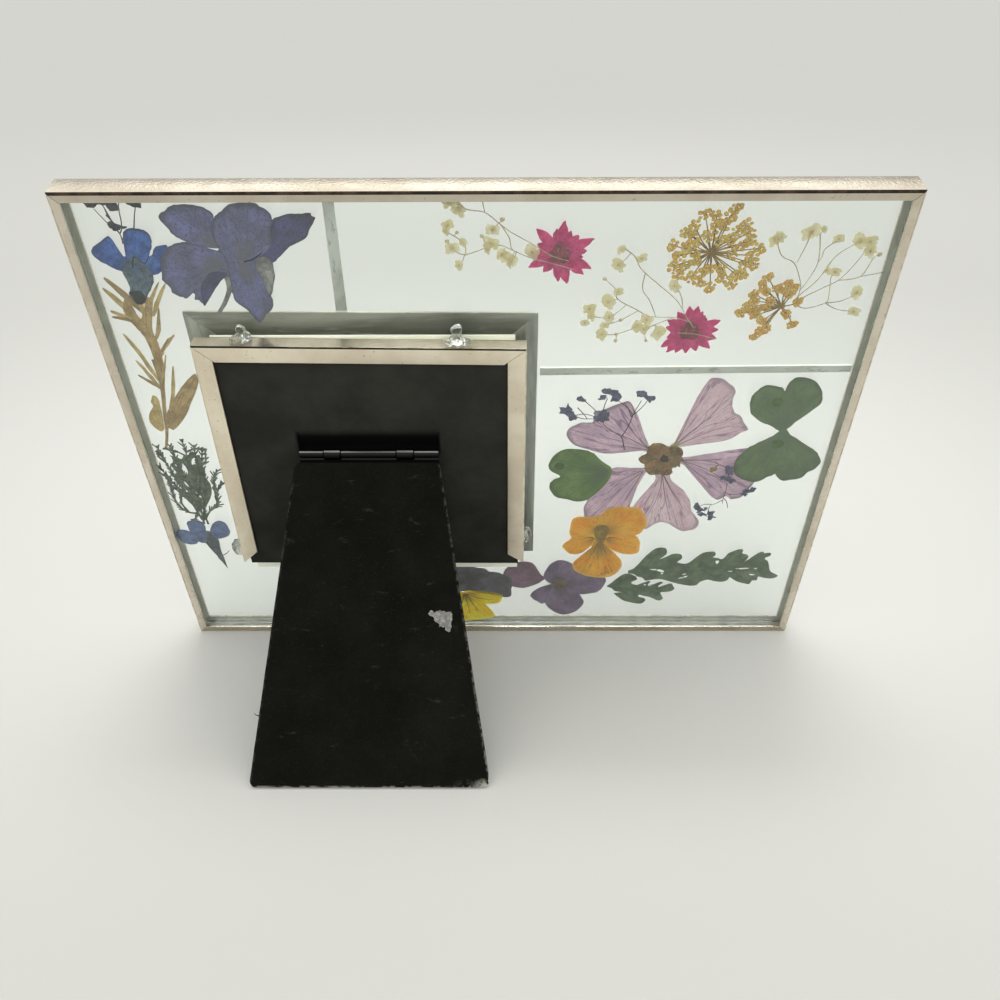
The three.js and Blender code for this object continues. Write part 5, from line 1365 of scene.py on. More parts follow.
                    reach = (2.1 + 0.8 * math.sin(i * 4.3 + side + k)) * (0.62 if k > 8 else 1)
                    p.strand([tuple(here), tuple(here + out * reach)], 0.8, 0.5, (i + k) % 2, 0.02 * (i % 4),
                        flat=0.3, sides=5)
        p.build([green, plain_plant_finish("foliage_rib", (80, 92, 74), (54, 64, 50))], "ferny_foliage")


# ---- gypsophila ---------------------------------------------------------------------------------------------------
GYPSOPHILA = {
    "a": (
        [
            [(-8, 198.5), (-5.5, 196.2), (-0.2, 195.2), (4.5, 191.2), (8, 188.5), (14.5, 184.5), (20, 180.8),
            (25.5, 178.9)], [(-1, 199.3), (-0.2, 195.2)],
            [(4.5, 191.2), (7, 187), (7.5, 184), (8.2, 182.7)], [(-11.9, 186), (-10.3, 183.3), (-6.2, 181.3),
            (3, 184.5), (8.5, 182.5), (13, 180.3), (18, 178.8), (24, 177), (27, 176)],
            [(-12, 189), (-6.8, 185.3), (-6.2, 181.3)],
        ],
        [
            (-10.8, 198.6, 1.6), (-8, 196.2, 2), (-11.5, 191, 1.6), (-12, 189, 1), (-8.7, 188.7, 0.7),
            (-11.8, 185.8, 0.9), (-10.3, 183.3, 1.8), (-6.8, 185.3, 1.2), (-6.2, 181.3, 0.5),
            (-8.5, 177.5, 1.3), (2, 189.5, 1.7), (-1.2, 187.5, 0.8), (1.5, 185, 2), (0.5, 182.8, 1), (5, 193, 0.9),
            (4.8, 181, 1.7), (7.5, 179.5, 1.9), (7.2, 178, 1), (14, 182, 2),
        ],
    ),
    "b": (
        [
            [(42.5, 183), (45.5, 180.5), (47.3, 177), (49.5, 174.5), (54, 170.5), (58, 167), (60.5, 164.5),
            (62.5, 161.5), (64.5, 158), (67, 154.5)],
            [(41.3, 168), (41.5, 165.3), (48.5, 161), (52, 158.8), (60, 158.4), (66, 156.5)],
            [(49.3, 174.7), (49, 169), (51.5, 165), (53.5, 160.7), (54.2, 158.7)],
            [(38.7, 164.3), (41.5, 165.3)], [(33.5, 159), (39.3, 158.5), (44.5, 163.3)],
            [(38, 155.5), (43, 157.5), (48.5, 161)], [(37.3, 152), (42, 152), (48.5, 155), (52, 158.8)],
            [(51, 154), (57, 157), (60, 158.4)], [(62, 152.5), (68, 152), (75, 150)],
            [(59.6, 170), (61.6, 166), (62.3, 163), (62.5, 161.5)],
        ],
        [
            (41.3, 182.8, 1.2), (40.8, 177.5, 1.9), (47.7, 179.8, 1.4), (36.8, 172.7, 0.8), (41.5, 168, 1.3),
            (38.7, 164.3, 2.1), (32.8, 161.8, 1.7), (33.5, 159, 1.4), (31.5, 156.5, 1.2),
            (39.3, 158.5, 1.7), (38, 155.5, 1.2), (37.3, 152, 1.8), (43, 157.5, 0.8), (42, 152, 0.7),
            (42, 149.5, 0.8), (48.5, 155, 1.7), (51.5, 157.5, 1.8), (51, 154, 1.5), (52, 149.5, 0.7),
            (55.8, 152.5, 2.1), (59, 170, 1.7),
        ],
    ),
    "c": (
        [
            [(88, 185.5), (90.5, 180.5), (94.8, 178), (98, 171.5), (98.5, 168), (98, 163.5)],
            [(97.4, 187.5), (97.3, 185), (95.5, 178)], [(100.5, 188), (102, 178.5), (100, 171.5), (98.5, 168.5)],
            [(106.5, 186), (103.2, 183), (102.8, 180.4), (102, 178.3)], [(98.5, 166.5), (103.3, 172.3), (107, 180.5),
            (112.5, 185)], [(98, 164.5), (105, 169), (109.7, 172), (112.5, 176), (115, 181), (116, 185)],
            [(109.7, 172), (116.2, 173.3), (118.5, 179.5), (120, 181)], [(116.2, 173.3), (123.4, 174.9)],
            [(98, 163.5), (101.5, 161.8), (107.5, 163.8), (108, 167), (107.2, 172.4)],
            [(107.5, 163.8), (112, 164.4), (116, 166.6)], [(107.5, 163.8), (111.5, 161.5), (117.5, 160.5)],
        ],
        [
            (87.5, 186, 1.8), (88.8, 187, 1.5), (97.5, 188.5, 2.3), (101.3, 189.5, 1), (106.5, 186.3, 1.4),
            (113, 185.5, 2), (116.2, 185.5, 1.7), (117, 182.2, 1.9), (120.2, 181, 0.9),
            (105.5, 175.5, 1), (108, 175, 1.5), (116.5, 167.5, 1.8), (117.5, 160.5, 1.6),
        ],
    ),
}


class FLOWERFRAME_OT_gypsophila(bpy.types.Operator):
    """Make the three sprays of gypsophila"""

    bl_idname = "flowerframe.gypsophila"
    bl_label = "Gypsophila sprays"

    def execute(self, context):
        cream = petal_finish("gypsophila_cream", (255, 241, 224), (255, 232, 206), (228, 202, 164), (246, 228, 196),
            (222, 192, 150), veins=7, vein_share=0.4, mottle=420, heart_reach=0.4, edge_from=0.8, glow=0.75,
            grain=0.05, streak=0.5)
        stem = plain_plant_finish("gypsophila_stem", (206, 196, 166), (172, 162, 134), None, 300)
        grey = plain_plant_finish("gypsophila_bud", (228, 214, 172), (192, 178, 138), (240, 230, 192), 500)
        extra = mm(context.scene.flower_frame_sizes.bud)
        for key, (stems, buds) in GYPSOPHILA.items():
            p = Pressing("gypsophila_" + key + "_pressed", MIDDLE_SHEET, 0.07)
            for line in stems:
                p.strand(line, 0.4, 0.26, 1)
            for k, (u, v, r) in enumerate(buds):
                foot, away = nearest((u, v), stems)
                if away > 0.5:
                    bend = ((u + foot[0]) / 2 + 0.3 * math.sin(k * 2.3), (v + foot[1]) / 2 + 0.3 * math.cos(k * 1.7))
                    p.strand([foot, bend, (u, v)], 0.3, 0.22, 1, 0.01, 3)
                self.bud(p, (u, v), 1.1 * r + extra, k)
            p.build([cream, stem, grey], "gypsophila_" + key)
        return {"FINISHED"}

    def bud(self, p, centre, radius, k):
        """A pressed floret: a few ragged overlapping petals round a small knob. The smallest are closed buds."""
        if radius < 1.05:
            p.pad(centre, radius * 0.8, 2, 0.05, 0.3, 8, 0.15, k)
            return
        petals = 6
        for i in range(petals):
            a = math.tau * (i + 0.37 * math.sin(k * 3.1)) / petals + k
            reach = radius * (1.0 + 0.22 * math.sin(k * 5.3 + i * 2.1))
            mid = (centre[0] + 0.55 * reach * math.cos(a), centre[1] + 0.55 * reach * math.sin(a))
            outline = []
            for s in range(8):
                t = math.tau * s / 8
                lu, lv = 0.58 * reach * math.cos(t), (0.48 + 0.12 * math.sin(k + i)) * reach * math.sin(t)
                outline.append((mid[0] + lu * math.cos(a) - lv * math.sin(a),
                    mid[1] + lu * math.sin(a) + lv * math.cos(a)))
            p.petal(outline, (centre[0] + 0.08 * math.cos(a), centre[1] + 0.08 * math.sin(a)), 0, 0.03 + 0.018 * i, 3,
                2, 0.5)
        p.pad(centre, radius * 0.24, 2, 0.1, 0.28, 7, 0.2, k)


# ---- daisies ------------------------------------------------------------------------------------------------------
class FLOWERFRAME_OT_daisies(bpy.types.Operator):
    """Make the two magenta straw daisies"""

    bl_idname = "flowerframe.daisies"
    bl_label = "Daisies"

    UPPER = ((22.5, 181.3), ((15.2, 189.8), (19.0, 186.6), (21.3, 189.6), (23.7, 192.2), (25.8, 188.9), (28.2, 187.4),
        (32.8, 186.3), (30.9, 182.2), (32.5, 176), (30.2, 173.8), (25.2, 170.6), (22.2, 171.4), (17.6, 174.8),
        (13.0, 176.6), (12.7, 180.9), (15.5, 184.6)))
    LOWER = ((66, 152.8), ((64.8, 162.4), (67.6, 162.4), (61.2, 160.4), (58.2, 157.2), (70.4, 158.9), (75.6, 157),
        (75.4, 153.4), (75.2, 149.8), (73.6, 146), (69.2, 144.9), (65.6, 144.1), (62.3, 144.3), (57.1, 146.6),
        (58.6, 150.3), (59.2, 144.4), (69.3, 160.4), (58.0, 154.4), (71.6, 147.6)))

    def execute(self, context):
        ray = petal_finish("daisy_ray", (238, 100, 160), (206, 70, 128), (140, 44, 88), (214, 98, 150), (136, 56, 82),
            veins=4, vein_share=0.4, mottle=300, heart_reach=0.42, glow=0.4, streak=0.7)
        shade = petal_finish("daisy_shade", (208, 66, 130), (166, 46, 102), (92, 30, 60), None, None, veins=4,
            mottle=300, glow=0.3)
        disc = plain_plant_finish("daisy_disc", (150, 78, 92), (104, 50, 62), (196, 142, 120), 500, 1100)
        for name, node, (centre, tips) in (("daisy_upper_pressed", "daisy_upper", self.UPPER),
                ("daisy_lower_pressed", "daisy_lower", self.LOWER)):
            p = Pressing(name, FRONT_SHEET, 0.07)
            for k, tip in enumerate(tips):
                self.ray(p, centre, tip, 3.4, 0, 0.012 * (k % 5))
            for k in range(13):
                a = math.tau * k / 13 + 0.3
                reach = 6.8 + 0.7 * math.sin(k * 2.7)
                self.ray(p, centre, (centre[0] + reach * math.cos(a), centre[1] + reach * math.sin(a)), 2.9, 1,
                    -0.05 + 0.01 * (k % 3))
            p.pad(centre, 3.3, 2, 0.12, 0.2, 24, 0.22, 2)
            for k in range(22):
                a, r = 2.4 * k, 0.48 * math.sqrt(k)
                p.strand([(centre[0] + r * 0.5 * math.cos(a), centre[1] + r * 0.5 * math.sin(a)),
                    (centre[0] + (r + 0.8) * math.cos(a), centre[1] + (r + 0.8) * math.sin(a))], 0.34, 0.16, 2, 0.2,
                    sides=4)
            p.build([ray, shade, disc], node)
        return {"FINISHED"}

    def ray(self, p, centre, tip, width, finish, lift):
        """One pointed ray petal."""
        way = Vector(tip) - Vector(centre)
        length = way.length
        way.normalize()
        side = Vector((-way.y, way.x))
        outline = []
        for t, w in ((0.12, 0.3), (0.35, 0.44), (0.6, 0.5), (0.8, 0.36), (0.93, 0.16), (1.0, 0.0), (0.93, -0.14),
                (0.8, -0.36), (0.6, -0.5), (0.35, -0.44), (0.12, -0.3)):
            outline.append(tuple(Vector(centre) + way * (t * length) + side * (w * width)))
        p.petal(outline, tuple(Vector(centre) + way * (0.14 * length)), finish, lift, 5, 2)


# ---- umbels -------------------------------------------------------------------------------------------------------
class FLOWERFRAME_OT_umbels(bpy.types.Operator):
    """Make the two golden umbels"""

    bl_idname = "flowerframe.umbels"
    bl_label = "Golden umbels"

    ROUND = (
        (68.5, 182),
        (
            (65, 194.5), (68.4, 194.2), (73.8, 196.6), (71, 191.2), (77.5, 191.5), (75.4, 189), (80, 186),
            (83, 183.5), (79.5, 178), (81.2, 181), (76.5, 171), (77.6, 174.2), (70, 169.8),
            (66.4, 171.6), (63.5, 173.5), (59.5, 174.5), (57.5, 177.5), (58.8, 181), (56.5, 184.5), (60, 188.5),
            (62.5, 191), (74, 186.5), (72.5, 176), (64.5, 179.5), (66.5, 187.5), (75, 181.5),
            (63, 184.8), (70.8, 186), (69, 176.5), (77.6, 184.6), (79, 188.8), (72.6, 193.8), (62.4, 187.6),
            (60.6, 184), (61.4, 177.6), (66.8, 175.2), (73.4, 173), (79.2, 174.4), (82.4, 178), (68.6, 190.4),
            (63.6, 181.8),
        ),
    )
    FAN = (
        (93.8, 162.8),
        (
            (87.7, 173.2), (94.5, 171), (95.5, 167.5), (84.2, 167.5), (87.5, 168.5), (91.3, 169.4), (82.5, 163),
            (81, 160.3), (86.5, 162), (86, 159.5), (88.5, 157.5), (90.3, 154.5), (87.3, 151.5),
            (98.5, 156), (96, 160), (90, 165), (98.6, 164.6), (86.3, 170.8), (93.4, 168.6), (84.6, 164.8),
            (84.4, 161.6), (89, 162.6), (96.4, 169.4), (88.6, 153.4),
        ),
    )

    def execute(self, context):
        # painted shade: the edge tint darkens the rim of each round floret, so that the florets read apart
        gold = petal_finish("umbel_gold", (255, 224, 130), (248, 200, 98), (196, 156, 78), (208, 166, 86), None,
            veins=2, vein_share=0.1, mottle=320, edge_from=0.6, glow=0.45, streak=0.1, grain=0.1)
        ochre = petal_finish("umbel_ochre", (255, 218, 128), (244, 192, 94), (190, 144, 70), (202, 156, 78), None,
            veins=2, vein_share=0.1, mottle=320, edge_from=0.6, glow=0.4, streak=0.1, grain=0.1)
        ray = plain_plant_finish("umbel_ray", (160, 134, 74), (118, 94, 52), None, 300)
        for name, node, (centre, heads), tone, spread in (("umbel_round_pressed", "umbel_round", self.ROUND, gold,
                1.75), ("umbel_fan_pressed", "umbel_fan", self.FAN, ochre, 1.45)):
            p = Pressing(name, BACK_SHEET, 0.06)
            for k, head in enumerate(heads):
                bend = Vector(centre).lerp(Vector(head), 0.5) + Vector((0.4 * math.sin(k * 2.1),
                    0.4 * math.cos(k * 3.3)))
                p.strand([centre, tuple(bend), head], 0.55, 0.3, 1, 0.0, 4, 0.5, 5)
                self.head(p, head, centre, spread, k)
            p.pad(centre, 1.3, 1, 0.02, 0.3, 9, 0.3, 4)
            p.build([tone, ray], node)
        return {"FINISHED"}

    def head(self, p, head, centre, spread, k):
        """A small flat head: short raylets, each with a round floret."""
        out = math.atan2(head[1] - centre[1], head[0] - centre[0])
        p.pad(head, 0.6, 0, -0.06, 0.3, 10, 0.1, k)
        for i in range(8):
            a = out + (i - 3.5) * 0.8 + 0.3 * math.sin(k * 3.7 + i)
            r = spread * (0.45 + 0.55 * abs(math.sin(i * 2.3 + k * 1.9)))
            tip = (head[0] + r * math.cos(a), head[1] + r * math.sin(a))
            p.strand([head, tip], 0.2, 0.14, 1, 0.02, 1, 0.6, 3)
            p.pad(tip, 0.66 + 0.14 * math.sin(i * 4.1 + k), 0, -0.06 + 0.045 * (i % 5), 0.3, 12, 0.05, k * 9 + i)


# ---- mallow -------------------------------------------------------------------------------------------------------
class FLOWERFRAME_OT_mallow(bpy.types.Operator):
    """Make the lilac mallow with its brown calyx"""

    bl_idname = "flowerframe.mallow"
    bl_label = "Mallow"

    def execute(self, context):
        lilac = petal_finish("mallow_lilac", (240, 220, 222), (222, 198, 206), (164, 136, 158), (190, 172, 180),
            (216, 204, 184), veins=9, vein_share=0.75, mottle=120, heart_reach=0.22, edge_from=0.93, glow=0.5,
            streak=0.5)
        purple = petal_finish("mallow_purple", (232, 212, 220), (208, 186, 200), (150, 120, 148), (172, 152, 166),
            (206, 192, 180), veins=9, vein_share=0.75, mottle=120, heart_reach=0.2, edge_from=0.93, glow=0.5,
            streak=0.5)
        calyx = petal_finish("mallow_calyx", (182, 144, 98), (126, 96, 62), (84, 66, 44), (112, 90, 58),
            (104, 84, 60), veins=8, vein_share=0.6, mottle=280, heart_reach=0.3, glow=0.15, streak=0.6, bumps=0.0005)
        olive = petal_finish("mallow_olive", (148, 122, 82), (100, 82, 54), (76, 62, 42), (104, 86, 56), (92, 76, 54),
            veins=6, vein_share=0.5, mottle=300, heart_reach=0.3, glow=0.15, streak=0.6)
        p = Pressing("mallow_bloom_pressed", FRONT_SHEET, 0.12)
        p.petal([(58, 100.6), (57.8, 103.5), (55, 110), (53, 116), (51, 120.5), (49, 123.8), (46, 123), (42, 121),
            (38.5, 119), (37, 116.5), (36.5, 114.3), (33.5, 114.3), (31, 113.3), (28.5, 111.5), (27.8, 109),
            (28.8, 106), (31.5, 103.5), (36, 101.5), (40.5, 100), (44.5, 99.5), (47, 100.5), (50, 101.3),
            (54, 101.2)], (58, 101.4), 1, 0.0, 16)
        p.petal([(64.5, 101), (66.5, 103.6), (68, 108), (70, 115), (71.5, 122), (73, 128), (75.3, 133.2), (77.5, 134),
            (80, 133.3), (83, 130.8), (84.9, 128.8), (84.8, 125), (85, 121.5), (86.5, 118.5), (88.5, 117.5),
            (90.5, 114), (92.3, 111), (90, 109.7), (86, 106.2), (80, 104.7), (74, 103.8), (68.5, 102.6)],
            (66.2, 102.3), 0, 0.03, 17)
        p.petal([(68.5, 97.4), (71, 97.6), (83, 100), (94, 102), (99.6, 98), (100, 88), (97, 80), (95.5, 77.5),
            (92, 76.3), (90, 78), (87, 76.2), (84.5, 77.5), (80, 83.5), (75, 91.5), (69.5, 95.2)], (70, 96.3), 1,
            -0.02, 17)
        p.petal([(61.4, 91), (66.5, 91), (68, 86), (73, 81), (75.5, 77), (77, 73), (78, 69), (81, 65), (81, 61.5),
            (79.5, 59.8), (75.5, 58.8), (72, 61), (70, 62.7), (67, 64), (64, 62.8), (61, 60), (58, 62), (55.4, 67),
            (55, 73), (58, 77), (60.5, 82), (62, 87)], (64, 89.8), 0, 0.02, 17)
        p.petal([(58.4, 92.3), (52, 92.6), (45, 92.3), (43.5, 86), (41, 81.5), (38.5, 78), (36.8, 75), (36, 70.5),
            (37, 66), (41, 62.4), (47, 62), (52, 66), (53.6, 74), (54.5, 78), (55.8, 84), (57.6, 89.4)], (57, 91.2),
            1, 0.05, 17)
        self.folds(p)
        p.petal([(54.5, 97), (55.6, 98.6), (57.2, 99.6), (57.5, 102.4), (58.8, 104.3), (60.5, 104.7), (63, 104.2),
            (65, 102.4), (66.5, 103.4), (69.6, 102.2), (70.6, 99.8), (70.2, 96.6), (70.3, 93), (68.4, 94.2),
            (67.6, 92.2), (68, 90), (66, 89), (63.6, 89.4), (60, 89), (58.4, 90.2), (57.5, 91.4), (57.6, 94),
            (56, 95)], (62.8, 96.8), 6, 0.1, 9)
        heart = Vector((62.8, 96.8))
        for k, (angle, reach, wide) in enumerate(((2.95, 7.6, 3.6), (2.2, 7.2, 4.0), (1.35, 7.0, 3.8),
                (0.62, 6.4, 3.4), (-0.2, 6.4, 3.0), (-0.95, 6.6, 3.4), (-1.75, 7.2, 4.2), (-2.5, 7.0, 3.8))):
            way, side = Vector((math.cos(angle), math.sin(angle))), Vector((-math.sin(angle), math.cos(angle)))
            sepal = [tuple(heart + way * (reach * t) + side * (wide * w)) for t,
                w in ((0.1, 0.2), (0.4, 0.46), (0.7, 0.4), (0.9, 0.22), (1.0, 0), (0.86, -0.26), (0.66, -0.44),
                (0.4, -0.42), (0.1, -0.2))]
            p.petal(sepal, tuple(heart + way * 0.6), 2 if k % 3 else 7, 0.14 + 0.025 * (k % 4), 6, 2, 0.9)
        for u, v, r in ((68.4, 99.6, 1.7), (69.2, 96.6, 1.5), (67.6, 94.6, 1.3)):
            p.petal(around((u, v), r, 10, 0.35, u, 1.1), (u, v), 7, 0.25, 4, 2)
        p.pad((64.1, 97.2), 1.7, 3, 0.2, 0.24, 14, 0.2, 3, 1.25)
        p.petal([(64.8, 102), (66, 104), (68, 105.6), (68.6, 103.6), (67, 101.6)], (65.6, 102.4), 4, 0.07, 4)
        dark = plain_plant_finish("mallow_heart", (62, 52, 44), (42, 36, 32))
        p.build([lilac, purple, calyx, dark, plain_plant_finish("mallow_claw", (196, 190, 150), (170, 162, 120)),
            plain_plant_finish("mallow_vein", (146, 112, 140), (120, 88, 116)),
            plain_plant_finish("mallow_calyx_base", (150, 118, 78), (104, 80, 52), (196, 166, 116)), olive],
            "mallow_bloom")
        return {"FINISHED"}

    def folds(self, p):
        """Darker veins and creases that stand out on the petals."""
        for line, wide in (
            (((58, 101.8), (54, 104.5), (49, 107.6), (43, 110.5), (37, 113.4)), 0.42),
            (((58, 102), (54, 106.5), (50, 112), (46.5, 118.5)), 0.36), (((57.6, 101.4), (50, 103), (42, 104),
            (34, 107)), 0.34),
            (((48, 102.6), (48.4, 104.6), (47.4, 108.4)), 0.3), (((66.4, 103), (69, 110), (71, 118), (76, 128)),
            0.32), (((66.6, 103), (72, 110), (78, 117), (82, 126)), 0.3),
            (((67, 103), (75, 108), (82, 111.6), (89, 112.6)), 0.32), (((67.4, 103.2), (70, 107), (75.6, 114.6),
            (76.6, 120)), 0.26), (((70.6, 96), (78, 93), (86, 87.6), (92.4, 80)), 0.34),
            (((70.6, 96.2), (80, 96), (89, 92), (96.6, 86)), 0.3), (((71, 96), (78, 89), (84, 83)), 0.3),
            (((64, 89.6), (64.2, 82), (62.8, 74), (60, 66)), 0.3), (((64.4, 89.6), (68, 82), (72.4, 74.6), (74, 71)),
            0.5),
            (((64.2, 89.4), (66, 80), (68.4, 70.6), (70, 65)), 0.3), (((57, 91), (52, 85), (46.6, 77), (43, 69.6)),
            0.32), (((57, 91), (54.4, 84), (51.4, 76), (49.4, 70)), 0.3), (((56.4, 91.2), (49.6, 86.6), (44.6, 80)),
            0.28),
        ):
            p.strand(line, wide, 0.12, 5, 0.095, flat=0.16, sides=4)


# ---- heart-shaped leaves ------------------------------------------------------------------------------------------
class FLOWERFRAME_OT_heart_leaves(bpy.types.Operator):
    """Make the single heart-shaped leaf and the pair"""

    bl_idname = "flowerframe.heart_leaves"
    bl_label = "Heart-shaped leaves"

    def execute(self, context):
        green = petal_finish("heart_leaf", (110, 132, 90), (92, 112, 76), (80, 100, 70), (84, 102, 74), (96, 116, 86),
            veins=7, vein_share=0.4, mottle=110, heart_reach=0.5, glow=0.25, streak=0.25, bumps=0.00008)
        bright = petal_finish("heart_leaf_bright", (118, 146, 84), (96, 122, 70), (82, 106, 58), (92, 116, 66),
            (86, 104, 76), veins=7, vein_share=0.4, mottle=90, heart_reach=0.62, glow=0.25, streak=0.25,
            bumps=0.00008)
        spot = plain_plant_finish("leaf_spot", (84, 110, 58), (68, 92, 48), None, 400)
        p = Pressing("heart_leaf_single_pressed", MIDDLE_SHEET, 0.1)
        p.petal([(26.2, 88.8), (24, 90.5), (22, 92.5), (21.7, 95), (23.5, 99), (26.5, 101.8), (30, 102.4),
            (34.5, 101.8), (38, 100), (41, 96.5), (44.5, 93.5), (45.3, 90.5), (44, 86), (41.5, 82), (38.5, 78),
            (36, 76), (33, 75.5), (29, 76.8), (25, 78), (23, 81), (22.3, 84.5), (23.8, 87)], (43.8, 90.8), 1, 0.0, 16)
        p.petal(around((25.7, 93.9), 1.9, 16, 0.08, 2, 0.9), (25.7, 93.9), 2, 0.06, 4, 2, 0.15)
        p.build([green, bright, spot], "heart_leaf_single")
        p = Pressing("heart_leaf_pair_pressed", MIDDLE_SHEET, 0.1)
        p.petal([(101.8, 128.3), (102.3, 131.5), (104, 134), (105.5, 134.5), (109, 134), (112, 132), (114.3, 129),
            (115.5, 125), (115, 122.5), (112, 118.8), (108.5, 115), (106.8, 112.5), (104.8, 110.6), (102.8, 111),
            (100, 113), (96, 115), (92.5, 117.8), (91.3, 120.5), (90.7, 123.5), (91, 126.5), (92.5, 129), (95, 131),
            (99, 130.6), (101, 129.8)], (104.6, 111.8), 0, 0.0, 16)
        p.petal([(106.4, 111), (107, 109.8), (110, 107.3), (116, 103), (119, 100.5), (121.5, 96), (120, 92.5),
            (118, 91), (116, 88), (113, 87), (109.5, 86.5), (107, 88.3), (106, 90), (105.3, 89.5), (103, 88.2),
            (100, 86), (96.5, 86.2), (93, 88), (91, 90), (90, 93.5), (90.3, 97), (92, 100.5), (95.5, 104.3),
            (99, 106.5), (102.5, 109.5), (104.4, 111.4)], (104.7, 110.2), 0, 0.04, 16)
        p.petal(around((100.2, 123.6), 2.0, 16, 0.1, 5, 1.0), (100.2, 123.6), 2, 0.06, 4, 2, 0.2)
        p.petal(around((104, 104.6), 2.1, 16, 0.12, 7), (104, 104.6), 2, 0.1, 4, 2, 0.2)
        p.build([green, bright, spot], "heart_leaf_pair")
        return {"FINISHED"}


# ---- dark florets -------------------------------------------------------------------------------------------------
class FLOWERFRAME_OT_floret_sprigs(bpy.types.Operator):
    """Make the slate-coloured florets on their thin stems"""

    bl_idname = "flowerframe.floret_sprigs"
    bl_label = "Dark florets"

    def execute(self, context):
        slate = petal_finish("slate_floret", (110, 112, 140), (76, 80, 102), (52, 54, 70), (84, 88, 108), None,
            veins=5, vein_share=0.4, mottle=380, glow=0.25)
        stem = plain_plant_finish("slate_stem", (112, 104, 108), (80, 74, 76), None, 400)
        ochre = plain_plant_finish("ochre_floret", (150, 138, 78), (110, 98, 52), None, 500)
        p = Pressing("floret_sprig_pressed", MIDDLE_SHEET, 0.08)
        for line in (
            [(49, 101.8), (48.4, 104.6), (47.4, 107.8), (44, 110.6), (41, 113.2), (40, 116)],
            [(47.4, 107.8), (49.4, 113), (50.4, 118), (48.6, 121), (45.2, 124.4)],
            [(50.4, 117), (51.2, 120), (53, 124.5)],
            [(51, 118.4), (53.4, 121.4), (55.2, 124.6)], [(29.6, 117), (31.4, 118.2), (34.4, 118.4), (37.8, 117)],
            [(30.6, 117.4), (33.4, 116.4), (37.4, 116.4)], [(33.2, 124.6), (35.6, 122), (38.2, 119.2)],
            [(40, 119.6), (40.4, 122.6), (41.2, 125.6)], [(31, 121.4), (33.2, 118.6), (34.6, 116.4)],
            [(50.2, 117.2), (48.4, 121.6), (47, 123.4)],
        ):
            p.strand(line, 0.42, 0.26, 1)
        for outline, base in (
            ([(24.2, 121.8), (25.2, 120), (24.4, 119.2), (26.8, 118.6), (27.8, 117.4), (28.6, 115.8), (30, 115.6),
            (30.8, 117.6), (29.4, 119.6), (29, 121), (27.6, 123.2), (26.8, 121.4)], (28, 119)),
            ([(37.6, 125), (38.6, 126.4), (40.6, 127), (40.4, 125.2)], (39.4, 125.8)),
            ([(30.4, 125.8), (31.8, 126.2), (33.6, 125), (33.4, 124), (31.4, 124.4)], (32, 125.2)),
            ([(39, 128.2), (40, 130), (42.4, 129.2), (44.6, 128.6), (45.8, 127), (45.6, 124.6), (44, 124),
            (42.2, 124.4), (42.8, 126.2), (41.2, 127.4)], (43, 127)),
            ([(50.8, 128.8), (53.2, 129), (54.8, 127.4), (55.8, 126.2), (57.6, 126.4), (57.2, 124.6), (55.4, 123.8),
            (54, 125.4), (52.4, 126), (51, 126.8)], (54, 126.6)),
            ([(37, 119), (38.4, 120.2), (40.6, 120.6), (42.2, 119), (42.6, 116.8), (41.4, 115), (39.2, 114.8),
            (37.6, 115.6), (36.8, 117.4)], (40, 117.6)),
        ):
            p.petal(outline, base, 0, 0.03, 5, 3, 0.9)
        p.petal([(36.8, 118.6), (37.2, 120), (38.6, 119.6), (38, 117.6)], (37.6, 118.8), 2, 0.08, 3)
        p.build([slate, stem, plain_plant_finish("slate_pale", (150, 152, 158), (120, 122, 130))],
            "floret_sprig")
        p = Pressing("dark_florets_pressed", BACK_SHEET, 0.08)
        for line in (
            [(88.7, 85.6), (88.9, 82), (88.5, 78.4), (88.6, 75)], [(88.5, 78), (90, 76), (91, 72.7)],
            [(88.5, 77), (86, 75), (84, 74)], [(84.5, 74.6), (81.6, 74.4), (79.6, 72.8)],
            [(85.6, 67.8), (84, 70.6), (84, 73.8)],
            [(82.3, 92.6), (84, 95), (82.4, 96.6)], [(88.6, 88), (88.6, 91)], [(89.6, 80), (93, 79.8), (97, 81.2)],
            [(79.8, 71.6), (82, 69.4), (83.6, 68)],
        ):
            p.strand(line, 0.36, 0.22, 1)
        for k, (u, v, r, s) in enumerate(((88.4, 92.2, 1.6, 1.1), (89.4, 90.4, 1.0, 1), (88.2, 88.0, 2.0, 0.8),
                (90.2, 86.8, 1.5, 0.9), (86.6, 88.4, 0.9, 0.7), (97.4, 81.4, 1.9, 0.7), (99, 82.8, 1.2, 0.9),
                (96.2, 79.8, 1.1, 0.8), (79.2, 73.4, 1.4, 1.1), (80.4, 71.4, 1.5, 1), (81.4, 69.2, 1.2, 0.8),
                (84.6, 69.6, 1.5, 1), (85.8, 67.6, 1.3, 0.9), (82.6, 72.4, 1.0, 0.8))):
            p.petal(around((u, v), r, 9, 0.5, k + 3, s), (u, v), 0, 0.03 + 0.01 * (k % 3), 4, 3, 0.8)
        p.petal(around((82.4, 92.4), 1.5, 9, 0.5, 6, 0.8), (82.4, 92.4), 2, 0.04, 4, 2)
        p.build([slate, stem, ochre], "dark_florets")
        return {"FINISHED"}


